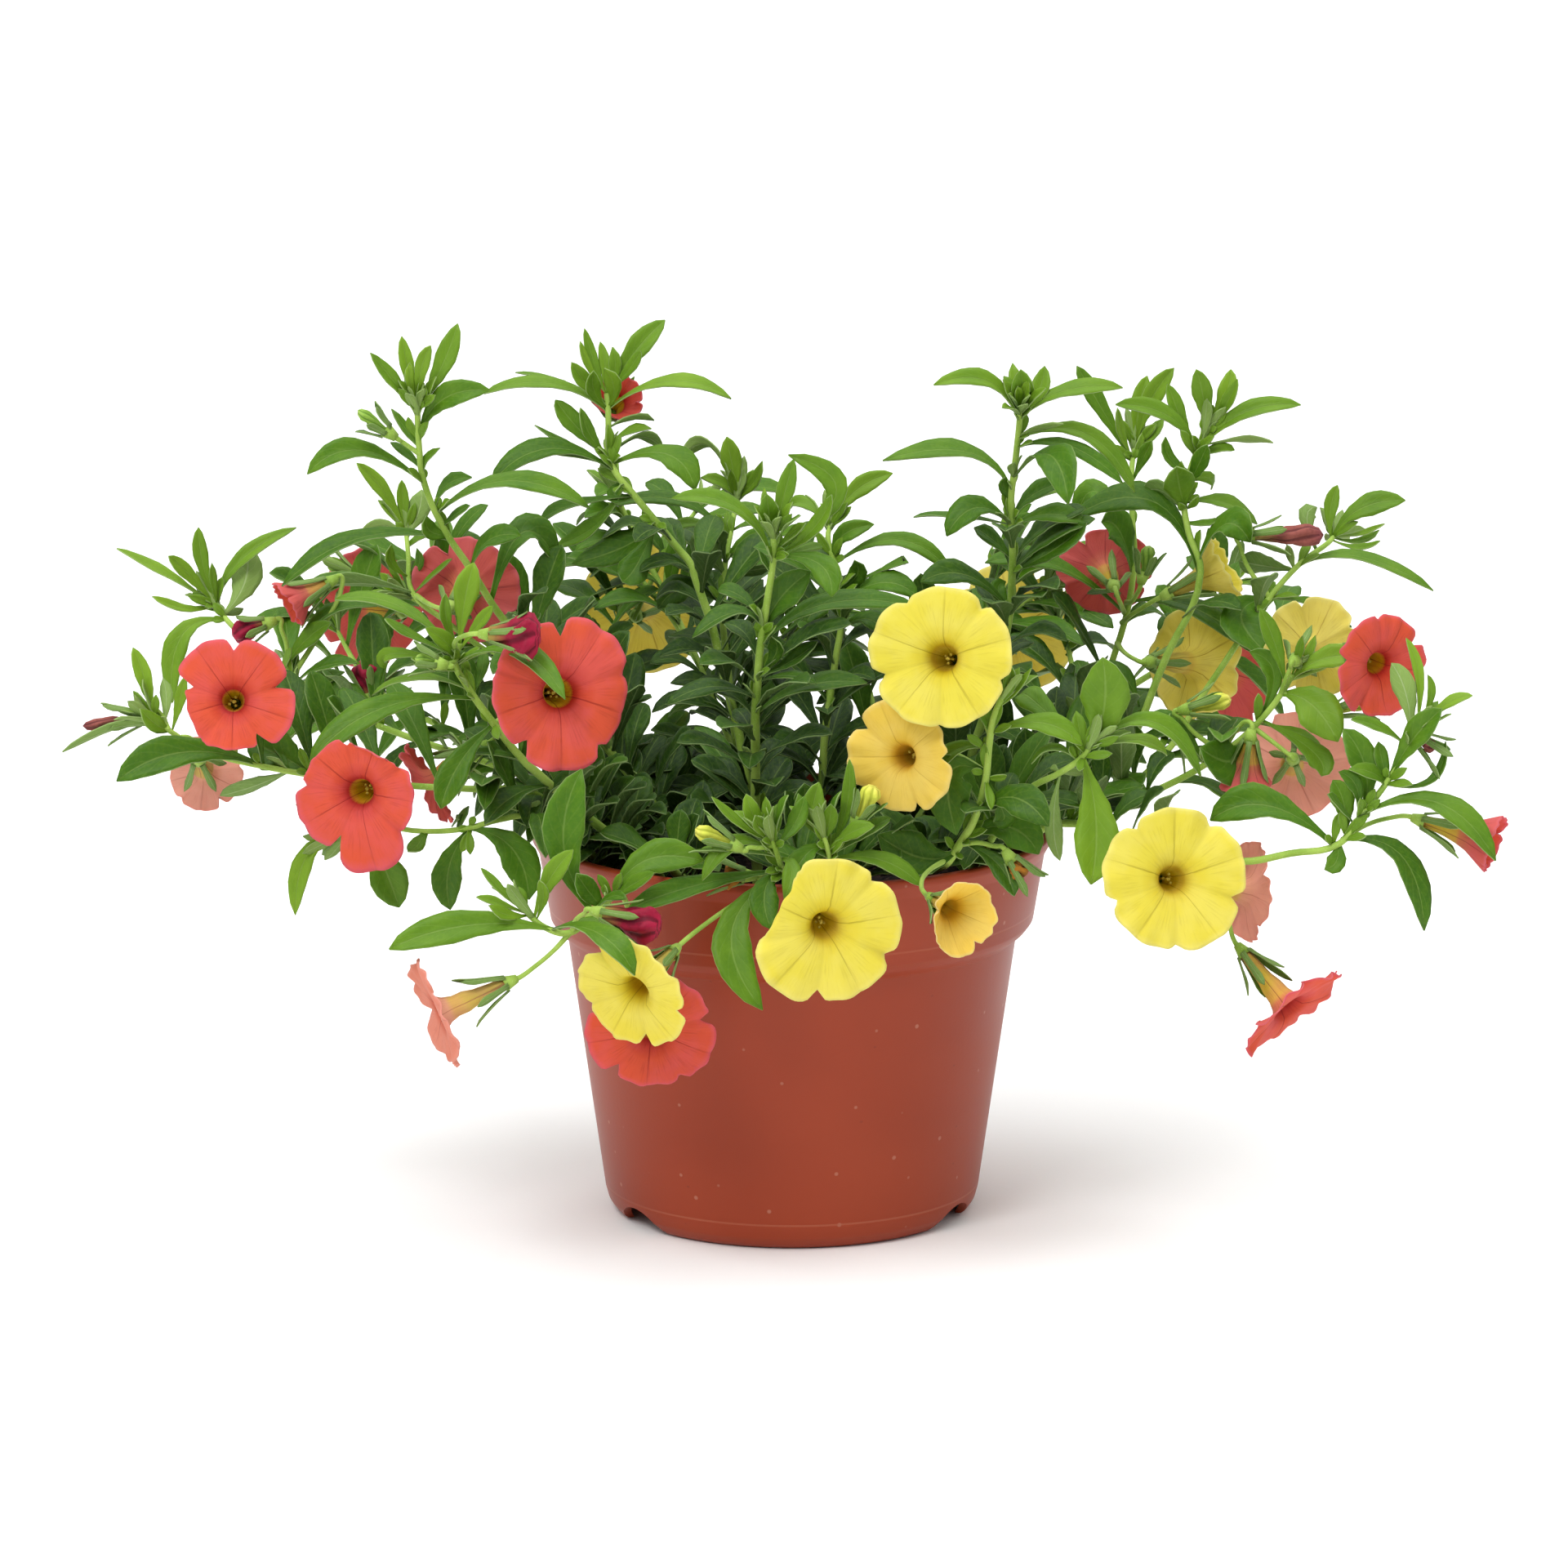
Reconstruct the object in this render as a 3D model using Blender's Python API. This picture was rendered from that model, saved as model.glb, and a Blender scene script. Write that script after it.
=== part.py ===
"""A calibrachoa in a grower's pot: the pot, its soil, twenty-six leafy shoots and their flowers, as solids.

The object stands on z = 0 with the pot's axis on x = y = 0, and the photograph's camera looks along +Y.
"""

import math
from dataclasses import dataclass
from dataclasses import field
from enum import Enum

import bmesh
import bpy
from mathutils import Matrix
from mathutils import Vector
from mathutils.bvhtree import BVHTree

MM = 0.001
POT_SIDES = 32
RIM_RADIUS = 60.0
RIM_HEIGHT = 89.3
SOIL_TOP = 79.2
SOIL_FALL = 1.6
SEAT = 0.3
CLEAR = 0.4
KNOWN_GAP = 0.12
SHORTEST_LEAF = 16.0
LONG_LEAF = 30.0
FRONT_REACH = -100.0
BACK_REACH = 98.0
GOLDEN = math.radians(137.5)
# How far the middle of a stalk is pushed aside, and how a calyx leans and shrinks, when there is no room.
STALK_PUSHES = (Vector(), Vector((0, 0, 5)), Vector((0, -6, 0)), Vector((0, 6, 0)), Vector((0, 0, -6)))
SEPAL_TRIES = ((0.42, 1.0), (0.62, 1.0), (0.42, 0.75), (0.9, 0.9), (0.6, 0.6), (1.1, 0.7), (0.5, 0.4))
FILL_SPACING = 12.5
TWIG_SPACING = 10.5


class Hue(Enum):
    """The colour that a flower or a bud was in bloom, or is now."""

    YELLOW = "yellow"
    AMBER = "amber"
    CORAL = "coral"
    PEACH = "peach"
    BROWN = "brown"
    DRIED = "dried"
    GREEN = "green"


class Form(Enum):
    """How far a flower is open."""

    OPEN = "open"
    FUNNEL = "funnel"
    CLOSED = "closed"


@dataclass(frozen=True)
class Camera:
    """The photograph's camera, found from the pot's rim and foot. Lengths are mm, focal is in its pixels."""

    distance: float = 2000.0
    elevation: float = math.radians(12.34)
    focal: float = 10641.0
    middle: float = 960.0
    aim: Vector = field(default_factory=lambda: Vector((-1.84, 0.0, 99.5)))

    def __post_init__(self) -> None:
        rise = self.elevation
        object.__setattr__(self, "near", Vector((0.0, -math.cos(rise), math.sin(rise))))
        object.__setattr__(self, "up", Vector((0.0, math.sin(rise), math.cos(rise))))
        object.__setattr__(self, "right", Vector((1.0, 0.0, 0.0)))
        object.__setattr__(self, "place", self.aim + self.near * self.distance)

    def spot(self, across: float, down: float, depth: float) -> Vector:
        """The point that shows at a pixel and lies at a depth.

        Args:
            across: the pixel's column.
            down: the pixel's row.
            depth: the y of the point, away from the camera.

        Returns:
            The point in mm.
        """
        ray = self.right * (across - self.middle) - self.up * (down - self.middle) - self.near * self.focal
        return self.place + ray * ((depth - self.place.y) / ray.y)

    def seen(self, point: Vector) -> tuple[float, float]:
        """The pixel at which a point shows.

        Args:
            point: a place in mm.

        Returns:
            The column and the row.
        """
        ray = point - self.place
        scale = -self.focal / ray.dot(self.near)
        return self.middle + scale * ray.dot(self.right), self.middle - scale * ray.dot(self.up)

    def facing(self, toward: tuple[float, float, float]) -> Vector:
        """A direction given as right, up and near in the picture.

        Args:
            toward: the three shares.

        Returns:
            The unit direction in the object's own frame.
        """
        return (self.right * toward[0] + self.up * toward[1] + self.near * toward[2]).normalized()


@dataclass(frozen=True)
class Leaf:
    """A leaf as traced: base, middle and tip in pixels, depth of its tip behind its base, width, and face."""

    base_x: float
    base_y: float
    mid_x: float
    mid_y: float
    tip_x: float
    tip_y: float
    back: float
    width: float
    face: float


@dataclass(frozen=True)
class Shoot:
    """A shoot as traced: where it leaves the soil, its thickness, the share its own leaves fill, its route.

    Its lean is how much farther away its tip is than its route says, and each twig is a share of its length,
    a direction about the vertical in degrees from +X, and a length.
    """

    name: str
    root: tuple[float, float]
    thick: float
    fill: tuple[float, float]
    route: tuple[tuple[float, float, float], ...]
    leaves: tuple[Leaf, ...]
    lean: float = 0.0
    twigs: tuple[tuple[float, float, float], ...] = ()


@dataclass(frozen=True)
class Flower:
    """A flower whose petals are one body: its shoot, its joint, its centre, where it faces, its size."""

    name: str
    hue: Hue
    form: Form
    shoot: str
    joint_x: float
    joint_y: float
    across: float
    down: float
    depth: float
    toward: tuple[float, float, float]
    spread: float
    length: float


@dataclass(frozen=True)
class Bud:
    """A bud or a withered flower grown in one with its shoot: joint, calyx and tip, depth, width."""

    hue: Hue
    shoot: str
    joint_x: float
    joint_y: float
    base_x: float
    base_y: float
    tip_x: float
    tip_y: float
    back: float
    width: float


@dataclass
class Shell:
    """A closed mesh in mm."""

    points: list[Vector]
    faces: list[tuple[int, ...]]

    def outward(self) -> "Shell":
        """This shell with its faces turned outward."""
        total = 0.0
        for face in self.faces:
            first = self.points[face[0]]
            for one, two in zip(face[1:], face[2:]):
                total += first.dot(self.points[one].cross(self.points[two]))
        if total < 0.0:
            self.faces = [tuple(reversed(face)) for face in self.faces]
        return self

    def grown(self, by: float) -> "Shell":
        """This shell with every point moved out by a distance."""
        away = [Vector() for _ in self.points]
        for face in self.faces:
            first, second, third = (self.points[index] for index in face[:3])
            normal = (second - first).cross(third - first).normalized()
            for index in face:
                away[index] += normal
        moved = [point + out.normalized() * by for point, out in zip(self.points, away)]
        return Shell(moved, self.faces)


@dataclass
class Item:
    """A shell that has its place, with what is needed to tell whether another one touches it."""

    owner: str
    shell: Shell
    low: Vector
    high: Vector
    tree: BVHTree


@dataclass
class Blade:
    """A leaf or a sepal in its place: the points of its midrib, its width, and where its upper side looks."""

    owner: str
    base: Vector
    mid: Vector
    tip: Vector
    width: float
    normal: Vector

    def along(self, share: float) -> tuple[Vector, Vector]:
        """A point of the midrib and its direction there.

        Args:
            share: 0 at the base and 1 at the tip.

        Returns:
            The point and the unit direction.
        """
        bend = self.mid * 2.0 - (self.base + self.tip) * 0.5
        rest = 1.0 - share
        point = self.base * rest * rest + bend * 2.0 * rest * share + self.tip * share * share
        slope = (bend - self.base) * 2.0 * rest + (self.tip - bend) * 2.0 * share
        return point, slope.normalized()

    def size(self) -> float:
        """The length from base to tip over the middle."""
        return (self.mid - self.base).length + (self.tip - self.mid).length


@dataclass
class Stalk:
    """A flower's stalk in its place, with its calyx."""

    owner: str
    line: list[Vector]
    facing: Vector
    end: Vector
    sepals: list[Blade] = field(default_factory=list)


@dataclass
class Bloom:
    """A flower in its place: its calyx mouth, where it faces, and its sizes."""

    flower: Flower
    mouth: Vector
    facing: Vector
    stalk: Stalk | None = None


@dataclass
class Knob:
    """A bud in its place."""

    bud: Bud
    stalk: Stalk
    tip: Vector


EYE = Camera()


def outline(share: float) -> float:
    """Half the width of a leaf at a share of its length, as a share of half its greatest width."""
    knots = ((0.0, 0.22), (0.15, 0.4), (0.33, 0.76), (0.6, 1.0), (0.78, 0.86), (0.9, 0.52), (1.0, 0.0))
    for (start, low), (end, high) in zip(knots, knots[1:]):
        if share <= end:
            return low + (high - low) * (share - start) / (end - start)
    return 0.0


def soil_height(radius: float) -> float:
    """How high the soil stands at a distance from the pot's axis."""
    return SOIL_TOP - SOIL_FALL * (radius / 54.0) ** 2


def over_rim(point: Vector, thick: float) -> Vector:
    """The point, lifted where a stem of that thickness would run into the rim or the soil."""
    radius = math.hypot(point.x, point.y)
    above_rim = RIM_HEIGHT + thick + 0.8
    if radius < 56.0:
        share = max(0.0, (radius - 46.0) / 10.0)
        lowest = soil_height(radius) + thick + 1.0
        lowest += (above_rim - lowest) * share
    elif radius < RIM_RADIUS + 3.0:
        lowest = above_rim
    else:
        lowest = -1.0
    return Vector((point.x, point.y, max(point.z, lowest)))


def tube(line: list[Vector], radii: list[float], sides: int) -> Shell:
    """A closed round rod along a line.

    Args:
        line: the middle of each ring.
        radii: the radius of each ring.
        sides: how many sides a ring has.

    Returns:
        The rod.
    """
    points = []
    faces = []
    side = None
    for index, (middle, radius) in enumerate(zip(line, radii)):
        behind = line[max(index - 1, 0)]
        ahead = line[min(index + 1, len(line) - 1)]
        along = (ahead - behind).normalized()
        if side is None:
            side = along.orthogonal().normalized()
        side = (side - along * side.dot(along)).normalized()
        other = along.cross(side)
        for step in range(sides):
            turn = math.tau * step / sides
            points.append(middle + (side * math.cos(turn) + other * math.sin(turn)) * radius)
    for ring in range(len(line) - 1):
        for step in range(sides):
            after = (step + 1) % sides
            low = ring * sides
            high = low + sides
            faces.append((low + step, low + after, high + after, high + step))
    faces.append(tuple(reversed(range(sides))))
    faces.append(tuple(range(len(points) - sides, len(points))))
    return Shell(points, faces).outward()


def keeled(blade: Blade, keel: float) -> Shell:
    """A leaf as a closed blade with a flat top and a keel below.

    Args:
        blade: the leaf in its place.
        keel: how deep the keel is.

    Returns:
        The blade.
    """
    shares = (0.0, 0.33, 0.72) if blade.size() > LONG_LEAF else (0.0, 0.5)
    points = []
    faces = [(2, 1, 0)]
    for share in shares:
        middle, along = blade.along(share)
        side = along.cross(blade.normal).normalized()
        above = side.cross(along)
        half = blade.width * 0.5 * outline(share)
        points += [middle + side * half, middle - side * half, middle - above * keel]
    for ring in range(len(shares) - 1):
        low = ring * 3
        for step in range(3):
            after = (step + 1) % 3
            faces.append((low + step, low + after, low + 3 + after, low + 3 + step))
    last = len(points) - 3
    points.append(blade.tip)
    for step in range(3):
        faces.append((last + step, last + (step + 1) % 3, last + 3))
    return Shell(points, triangulated(faces)).outward()


def triangulated(faces: list[tuple[int, ...]]) -> list[tuple[int, ...]]:
    """The faces with each four-sided one cut in two, as its corners needn't lie in a plane."""
    cut = []
    for face in faces:
        if len(face) == 4:
            cut += [face[:3], (face[0], face[2], face[3])]
        else:
            cut.append(face)
    return cut


def trumpet(bloom: Bloom) -> Shell:
    """The petals of a flower, joined into a tube below, as one closed shell.

    Args:
        bloom: the flower in its place.

    Returns:
        The shell.
    """
    flower = bloom.flower
    wide = flower.spread * 0.5
    deep = flower.length
    outer, inner, sides = {
        Form.OPEN: (
            ((0.0, 1.0), (0.62 * deep, 2.7), (0.84 * deep, wide * 0.42), (0.97 * deep, wide)),
            ((deep + 0.3, wide * 0.97), (0.9 * deep, wide * 0.37), (0.5 * deep, 0.0)), 10),
        Form.FUNNEL: (
            ((0.0, 1.0), (0.5 * deep, 2.4), (0.97 * deep, wide)),
            ((deep, wide * 0.86), (0.45 * deep, 0.0)), 10),
        Form.CLOSED: (
            ((0.0, 1.0), (0.4 * deep, wide * 0.62), (0.78 * deep, wide)),
            ((0.96 * deep, wide * 0.6), (deep, 0.0)), 8),
    }[flower.form]
    side = bloom.facing.orthogonal().normalized()
    other = bloom.facing.cross(side)
    points = []
    faces = []
    rings = outer + inner[:-1]
    for level, radius in rings:
        for step in range(sides):
            turn = math.tau * step / sides
            notch = 0.9 if step % 2 and radius > 0.8 * wide and flower.form is not Form.CLOSED else 1.0
            spoke = side * math.cos(turn) + other * math.sin(turn)
            points.append(bloom.mouth + bloom.facing * level + spoke * radius * notch)
    for ring in range(len(rings) - 1):
        for step in range(sides):
            after = (step + 1) % sides
            low = ring * sides
            faces.append((low + step, low + after, low + sides + after, low + sides + step))
    last = len(points) - sides
    points.append(bloom.mouth + bloom.facing * inner[-1][0])
    for step in range(sides):
        faces.append((last + step, last + (step + 1) % sides, len(points) - 1))
    faces.append(tuple(reversed(range(sides))))
    return Shell(points, triangulated(faces)).outward()


def stalk_shell(stalk: Stalk) -> Shell:
    """A stalk as a rod that widens below the flower."""
    return tube(stalk.line, [0.75] * (len(stalk.line) - 1) + [0.85], 4)


def crown_shell(stalk: Stalk, sepals: list[Blade], full: bool) -> Shell:
    """A calyx as a cup of five pointed sepals.

    Args:
        stalk: the stalk that it ends.
        sepals: its five sepals.
        full: whether a bud fills the cup.

    Returns:
        The cup, whose floor lies at the stalk's end.
    """
    side = stalk.facing.orthogonal().normalized()
    other = stalk.facing.cross(side)
    inner = ((0.9, 0.7), (0.6, 0.45)) if full else ((0.9, 1.6), (0.0, 1.5))
    rings = ((-2.3, 1.3), (0.9, 2.1)) + inner
    points = []
    for level, radius in rings:
        for step in range(5):
            turn = math.tau * step / 5
            spoke = side * math.cos(turn) + other * math.sin(turn)
            points.append(stalk.end + stalk.facing * level + spoke * radius)
    points += [sepal.tip for sepal in sepals]
    faces = [(4, 3, 2, 1, 0), (15, 16, 17, 18, 19)]
    for step in range(5):
        after = (step + 1) % 5
        tip = 20 + step
        faces += [(step, after, 5 + after), (step, 5 + after, 5 + step)]
        faces += [(5 + step, 5 + after, tip), (10 + after, 10 + step, tip)]
        faces += [(10 + step, 5 + step, tip), (5 + after, 10 + after, tip)]
        faces += [(15 + after, 15 + step, 10 + step), (15 + after, 10 + step, 10 + after)]
    return Shell(points, faces).outward()


def bud_shell(knob: Knob) -> Shell:
    """A bud as a spindle that starts inside its calyx."""
    start = knob.stalk.end - knob.stalk.facing * 1.1
    wide = knob.bud.width * 0.5
    line = [start + (knob.tip - start) * share for share in (0.0, 0.4, 0.8, 1.0)]
    return tube(line, [0.9, wide * 0.75, wide, wide * 0.35], 5)


class Layout:
    """Where every shoot, leaf, flower and bud is, with none touching another shoot's."""

    def __init__(self, pot: Shell) -> None:
        self.items: list[Item] = []
        self.stems: dict[str, list[Vector]] = {}
        self.twigs: list[tuple[str, list[Vector]]] = []
        self.leaves: list[Blade] = []
        self.blooms: list[Bloom] = []
        self.knobs: list[Knob] = []
        self.add(pot, "pot")

    def add(self, shell: Shell, owner: str) -> None:
        """Takes a shell as placed.

        Args:
            shell: the shell.
            owner: the name of the node it belongs to.
        """
        tree = BVHTree.FromPolygons(shell.points, shell.faces)
        self.items.append(Item(owner, shell, *corners(shell), tree))

    def clash(self, shell: Shell, owner: str, friend: str = "", slack: float = CLEAR) -> bool:
        """Whether a shell comes nearer than the clearance to one of another owner.

        Args:
            shell: the shell.
            owner: its owner, whose own shells it may run into.
            friend: an owner that it may come near but not touch.
            slack: the clearance.

        Returns:
            True where it does, or where it runs into itself.
        """
        if tangled(shell):
            return True
        wide = shell.grown(slack)
        low, high = corners(wide)
        far = BVHTree.FromPolygons(wide.points, wide.faces)
        near = BVHTree.FromPolygons(shell.points, shell.faces)
        for item in self.items:
            if item.owner == owner:
                continue
            if any(low[axis] > item.high[axis] or high[axis] < item.low[axis] for axis in range(3)):
                continue
            known = item.owner == friend
            if near.overlap(item.tree) or not known and far.overlap(item.tree):
                return True
            least = KNOWN_GAP if known else slack
            if any(item.tree.find_nearest(point, least)[0] for point in shell.points):
                return True
            for point in item.shell.points:
                beside = all(low[axis] < point[axis] < high[axis] for axis in range(3))
                if beside and near.find_nearest(point, least)[0]:
                    return True
        return False

    def place_stem(self, shoot: Shoot) -> None:
        """Runs a shoot's stem from the soil along its route, moved in depth where another is in the way."""
        top = soil_height(max(math.hypot(*shoot.root) - 1.6, 0.0)) + SEAT
        foot = Vector((shoot.root[0], shoot.root[1], top))
        for shift in (0.0, 3.0, -3.0, 6.0, -6.0, 9.0, -9.0, 12.0, -12.0, 15.0, -15.0):
            last = len(shoot.route) - 1
            ahead = [
                EYE.spot(x, y, depth + shift + shoot.lean * step / last)
                for step, (x, y, depth) in enumerate(shoot.route)
            ]
            # The first bend stands straight above the root.
            lean = (ahead[0] - foot) * 0.12
            rise = foot + Vector((lean.x, lean.y, 6.0))
            line = [foot, foot + Vector((0.0, 0.0, 2.6)), rise]
            for start, end in zip([rise] + ahead[:-1], ahead):
                if math.hypot(start.x, start.y) < RIM_RADIUS + 3.0:
                    line += [over_rim(start.lerp(end, share), shoot.thick) for share in (0.33, 0.67)]
                line.append(over_rim(end, shoot.thick))
            line = thinned(line, 4.0)
            radii = [shoot.thick - (shoot.thick * 0.4) * at / (len(line) - 1) for at in range(len(line))]
            shell = tube(line, radii, 5)
            if not self.clash(shell, shoot.name, slack=0.6):
                break
        self.add(shell, shoot.name)
        self.stems[shoot.name] = line

    def place_twigs(self, shoot: Shoot) -> None:
        """Sets a shoot's side branches where they have room."""
        line = self.stems[shoot.name]
        whole = sum((end - start).length for start, end in zip(line, line[1:]))
        for share, turn, length in shoot.twigs:
            start, along = point_at(line, share * whole)
            for swing in (0.0, 12.0, -12.0, 24.0, -24.0):
                heading = math.radians(turn + swing)
                away = Vector((math.cos(heading), math.sin(heading), 0.75)).normalized()
                twig = [start, start + (away + along * 0.6).normalized() * length * 0.45]
                twig.append(twig[1] + (away + Vector((0.0, 0.0, -0.1))).normalized() * length * 0.55)
                shell = tube(twig, [0.9, 0.8, 0.65], 4)
                if not self.clash(shell, shoot.name):
                    self.add(shell, shoot.name)
                    self.twigs.append((shoot.name, twig))
                    break

    def joint(self, name: str, across: float, down: float, along: float = 0.0) -> tuple[Vector, Vector]:
        """The point of a stem that shows nearest to a pixel.

        Args:
            name: the shoot.
            across: the pixel's column.
            down: the pixel's row.
            along: how far on along the stem the point moves, in mm.

        Returns:
            The point and the stem's direction there.
        """
        line = self.stems[name]
        best = (math.inf, 0, 0.0)
        for index, (start, end) in enumerate(zip(line, line[1:])):
            for step in range(9):
                share = step / 8
                x, y = EYE.seen(start.lerp(end, share))
                far = math.hypot(x - across, y - down)
                if far < best[0]:
                    best = (far, index, share)
        _, index, share = best
        travel = share * (line[index + 1] - line[index]).length + along
        while travel < 0.0 and index > 0:
            index -= 1
            travel += (line[index + 1] - line[index]).length
        while index < len(line) - 2 and travel > (line[index + 1] - line[index]).length:
            travel -= (line[index + 1] - line[index]).length
            index += 1
        step = line[index + 1] - line[index]
        part = min(max(travel / step.length, 0.0), 0.97)
        return line[index].lerp(line[index + 1], part), step.normalized()

    def place_bloom(self, flower: Flower) -> None:
        """Puts a flower at its place, nearer or farther where something is in the way."""
        facing = EYE.facing(flower.toward)
        for shift in (0.0, -3.0, 3.0, -6.0, 6.0, -9.0, 9.0, -13.0, 13.0, -17.0, 17.0):
            centre = EYE.spot(flower.across, flower.down, flower.depth + shift)
            bloom = Bloom(flower, centre - facing * flower.length, facing)
            shell = trumpet(bloom)
            if not self.clash(shell, flower.name, slack=0.9):
                self.add(shell, flower.name)
                self.blooms.append(bloom)
                return

    def place_stalk(self, owner: str, joint: tuple[float, float], mouth: Vector, facing: Vector,
                    friend: str) -> Stalk | None:
        """Runs a stalk from a stem to a flower's or a bud's base.

        Args:
            owner: the shoot.
            joint: the pixel at which it leaves the stem.
            mouth: where it ends.
            facing: its direction there.
            friend: the flower that it carries.

        Returns:
            The stalk, or None where nothing fits.
        """
        end = mouth - facing * SEAT
        for along in (0.0, 5.0, -5.0, 10.0, -10.0, 16.0, -16.0, 24.0, -24.0):
            start, _ = self.joint(owner, *joint, along)
            reach = (end - start).length
            for pull in (0.45, 0.3, 0.65):
                bend = end - facing * reach * pull
                for push in STALK_PUSHES:
                    line = [bend_point(start, bend + push, end, share) for share in (0.0, 0.3, 0.62)]
                    line += [end - facing * 3.2, end - facing * 1.2]
                    stalk = Stalk(owner, line, facing, end)
                    if not self.clash(stalk_shell(stalk), owner, friend):
                        self.add(stalk_shell(stalk), owner)
                        return stalk
        return None

    def place_calyx(self, stalk: Stalk, friend: str, size: float) -> None:
        """Sets a calyx of five sepals about the end of a stalk, spread wider where it needs room."""
        facing = stalk.facing
        side = facing.orthogonal().normalized()
        other = facing.cross(side)
        for lean, share in SEPAL_TRIES:
            sepals = []
            for step in range(5):
                turn = math.tau * (step + 0.5) / 5
                spoke = side * math.cos(turn) + other * math.sin(turn)
                length = size * share * (0.88 + 0.06 * ((step * 2) % 5))
                base = stalk.end + spoke * 1.6 + facing * 0.3
                tip = base + (facing + spoke * lean).normalized() * length
                mid = base.lerp(tip, 0.5) + facing * 0.06 * length
                sepals.append(Blade(stalk.owner, base, mid, tip, 2.4, (facing - spoke * 0.5).normalized()))
            crown = crown_shell(stalk, sepals, not friend)
            if not self.clash(crown, stalk.owner, friend, 0.3):
                self.add(crown, stalk.owner)
                stalk.sepals = sepals
                return
        plain = tube([stalk.end - facing * 2.3, stalk.end], [0.9, 1.2], 5)
        if not self.clash(plain, stalk.owner, friend, KNOWN_GAP):
            self.add(plain, stalk.owner)

    def place_leaf(self, owner: str, leaf: Leaf) -> None:
        """Puts a traced leaf at its place, with its tip nearer or farther where something is in the way."""
        base, _ = self.joint(owner, leaf.base_x, leaf.base_y)
        for size in (1.0, 0.9, 0.8):
            for shift in (0.0, 3.0, -3.0, 6.0, -6.0, 9.0, -9.0, 13.0, -13.0, 17.0, -17.0):
                tip = EYE.spot(leaf.tip_x, leaf.tip_y, base.y + leaf.back + shift)
                mid = EYE.spot(leaf.mid_x, leaf.mid_y, base.y + leaf.back * 0.5 + shift * 0.6)
                blade = self.blade(owner, base, mid, tip, leaf, size)
                if blade.size() < SHORTEST_LEAF:
                    self.leaves.append(blade)
                    return
                shell = keeled(blade, 0.85)
                if not self.clash(shell, owner):
                    self.add(shell, owner)
                    self.leaves.append(blade)
                    return

    def blade(self, owner: str, base: Vector, mid: Vector, tip: Vector, leaf: Leaf, size: float) -> Blade:
        """A traced leaf drawn to a size about its base."""
        tip = base.lerp(tip, size)
        mid = base.lerp(mid, size)
        along = (tip - base).normalized()
        share = abs(leaf.face)
        look = Vector((0.0, 0.0, 1.0)) * (1.0 - share) + EYE.near * math.copysign(share, leaf.face)
        normal = (look - along * look.dot(along)).normalized()
        return Blade(owner, base, mid, tip, leaf.width, normal)

    def fill(self, name: str, line: list[Vector], part: tuple[float, float], spacing: float) -> None:
        """Sets leaves round the part of a stem where the photograph fixes none.

        Args:
            name: the shoot.
            line: its stem or one of its twigs.
            part: the shares of the line between which the leaves stand.
            spacing: how far apart along the line.
        """
        whole = sum((end - start).length for start, end in zip(line, line[1:]))
        first, last = (share * whole for share in part)
        count = int((last - first) / spacing)
        seed = sum(map(ord, name)) + int(whole)
        for index in range(count):
            at = first + (index + 0.5) * (last - first) / count
            base, along = point_at(line, at)
            side = along.orthogonal().normalized()
            for attempt in range(5):
                turn = GOLDEN * (index + seed) + attempt * 1.1
                spoke = Matrix.Rotation(turn, 3, along) @ side
                vary = 0.5 + 0.5 * math.sin(seed + index * 2.3 + attempt)
                length = 20.0 + 9.0 * vary
                aim = (spoke + along * 0.5 + Vector((0.0, 0.0, 0.25))).normalized()
                mid = base + aim * length * 0.52 + Vector((0.0, 0.0, 0.08 * length))
                tip = base + (aim + Vector((0.0, 0.0, -0.3 + 0.3 * vary))).normalized() * length
                look = Vector((0.0, 0.0, 1.0)) + EYE.near * 0.4 + spoke * 0.1
                chord = (tip - base).normalized()
                normal = (look - chord * look.dot(chord)).normalized()
                blade = Blade(name, base, mid, tip, 5.4 + 2.2 * vary, normal)
                if self.fits(blade):
                    self.add(keeled(blade, 0.85), name)
                    self.leaves.append(blade)
                    break

    def fits(self, blade: Blade) -> bool:
        """Whether a leaf that no pixel fixes has room and hides nothing that the photograph shows."""
        if not FRONT_REACH < blade.tip.y < BACK_REACH:
            return False
        for point in (blade.tip, blade.mid):
            if not inside(EYE.seen(point), CANOPY):
                return False
            if point.z < RIM_HEIGHT and math.hypot(point.x, point.y) < RIM_RADIUS + 6.0:
                return False
        for bloom in self.blooms:
            centre = bloom.mouth + bloom.facing * bloom.flower.length
            if bloom.facing.dot(EYE.near) < 0.2 or blade.tip.y > centre.y + 6.0:
                continue
            column, row = EYE.seen(centre)
            reach = bloom.flower.spread * 0.5 * EYE.focal / EYE.distance
            for share in (0.3, 0.6, 1.0):
                x, y = EYE.seen(blade.along(share)[0])
                if math.hypot(x - column, y - row) < reach:
                    return False
        return not self.clash(keeled(blade, 0.85), blade.owner)

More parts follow.
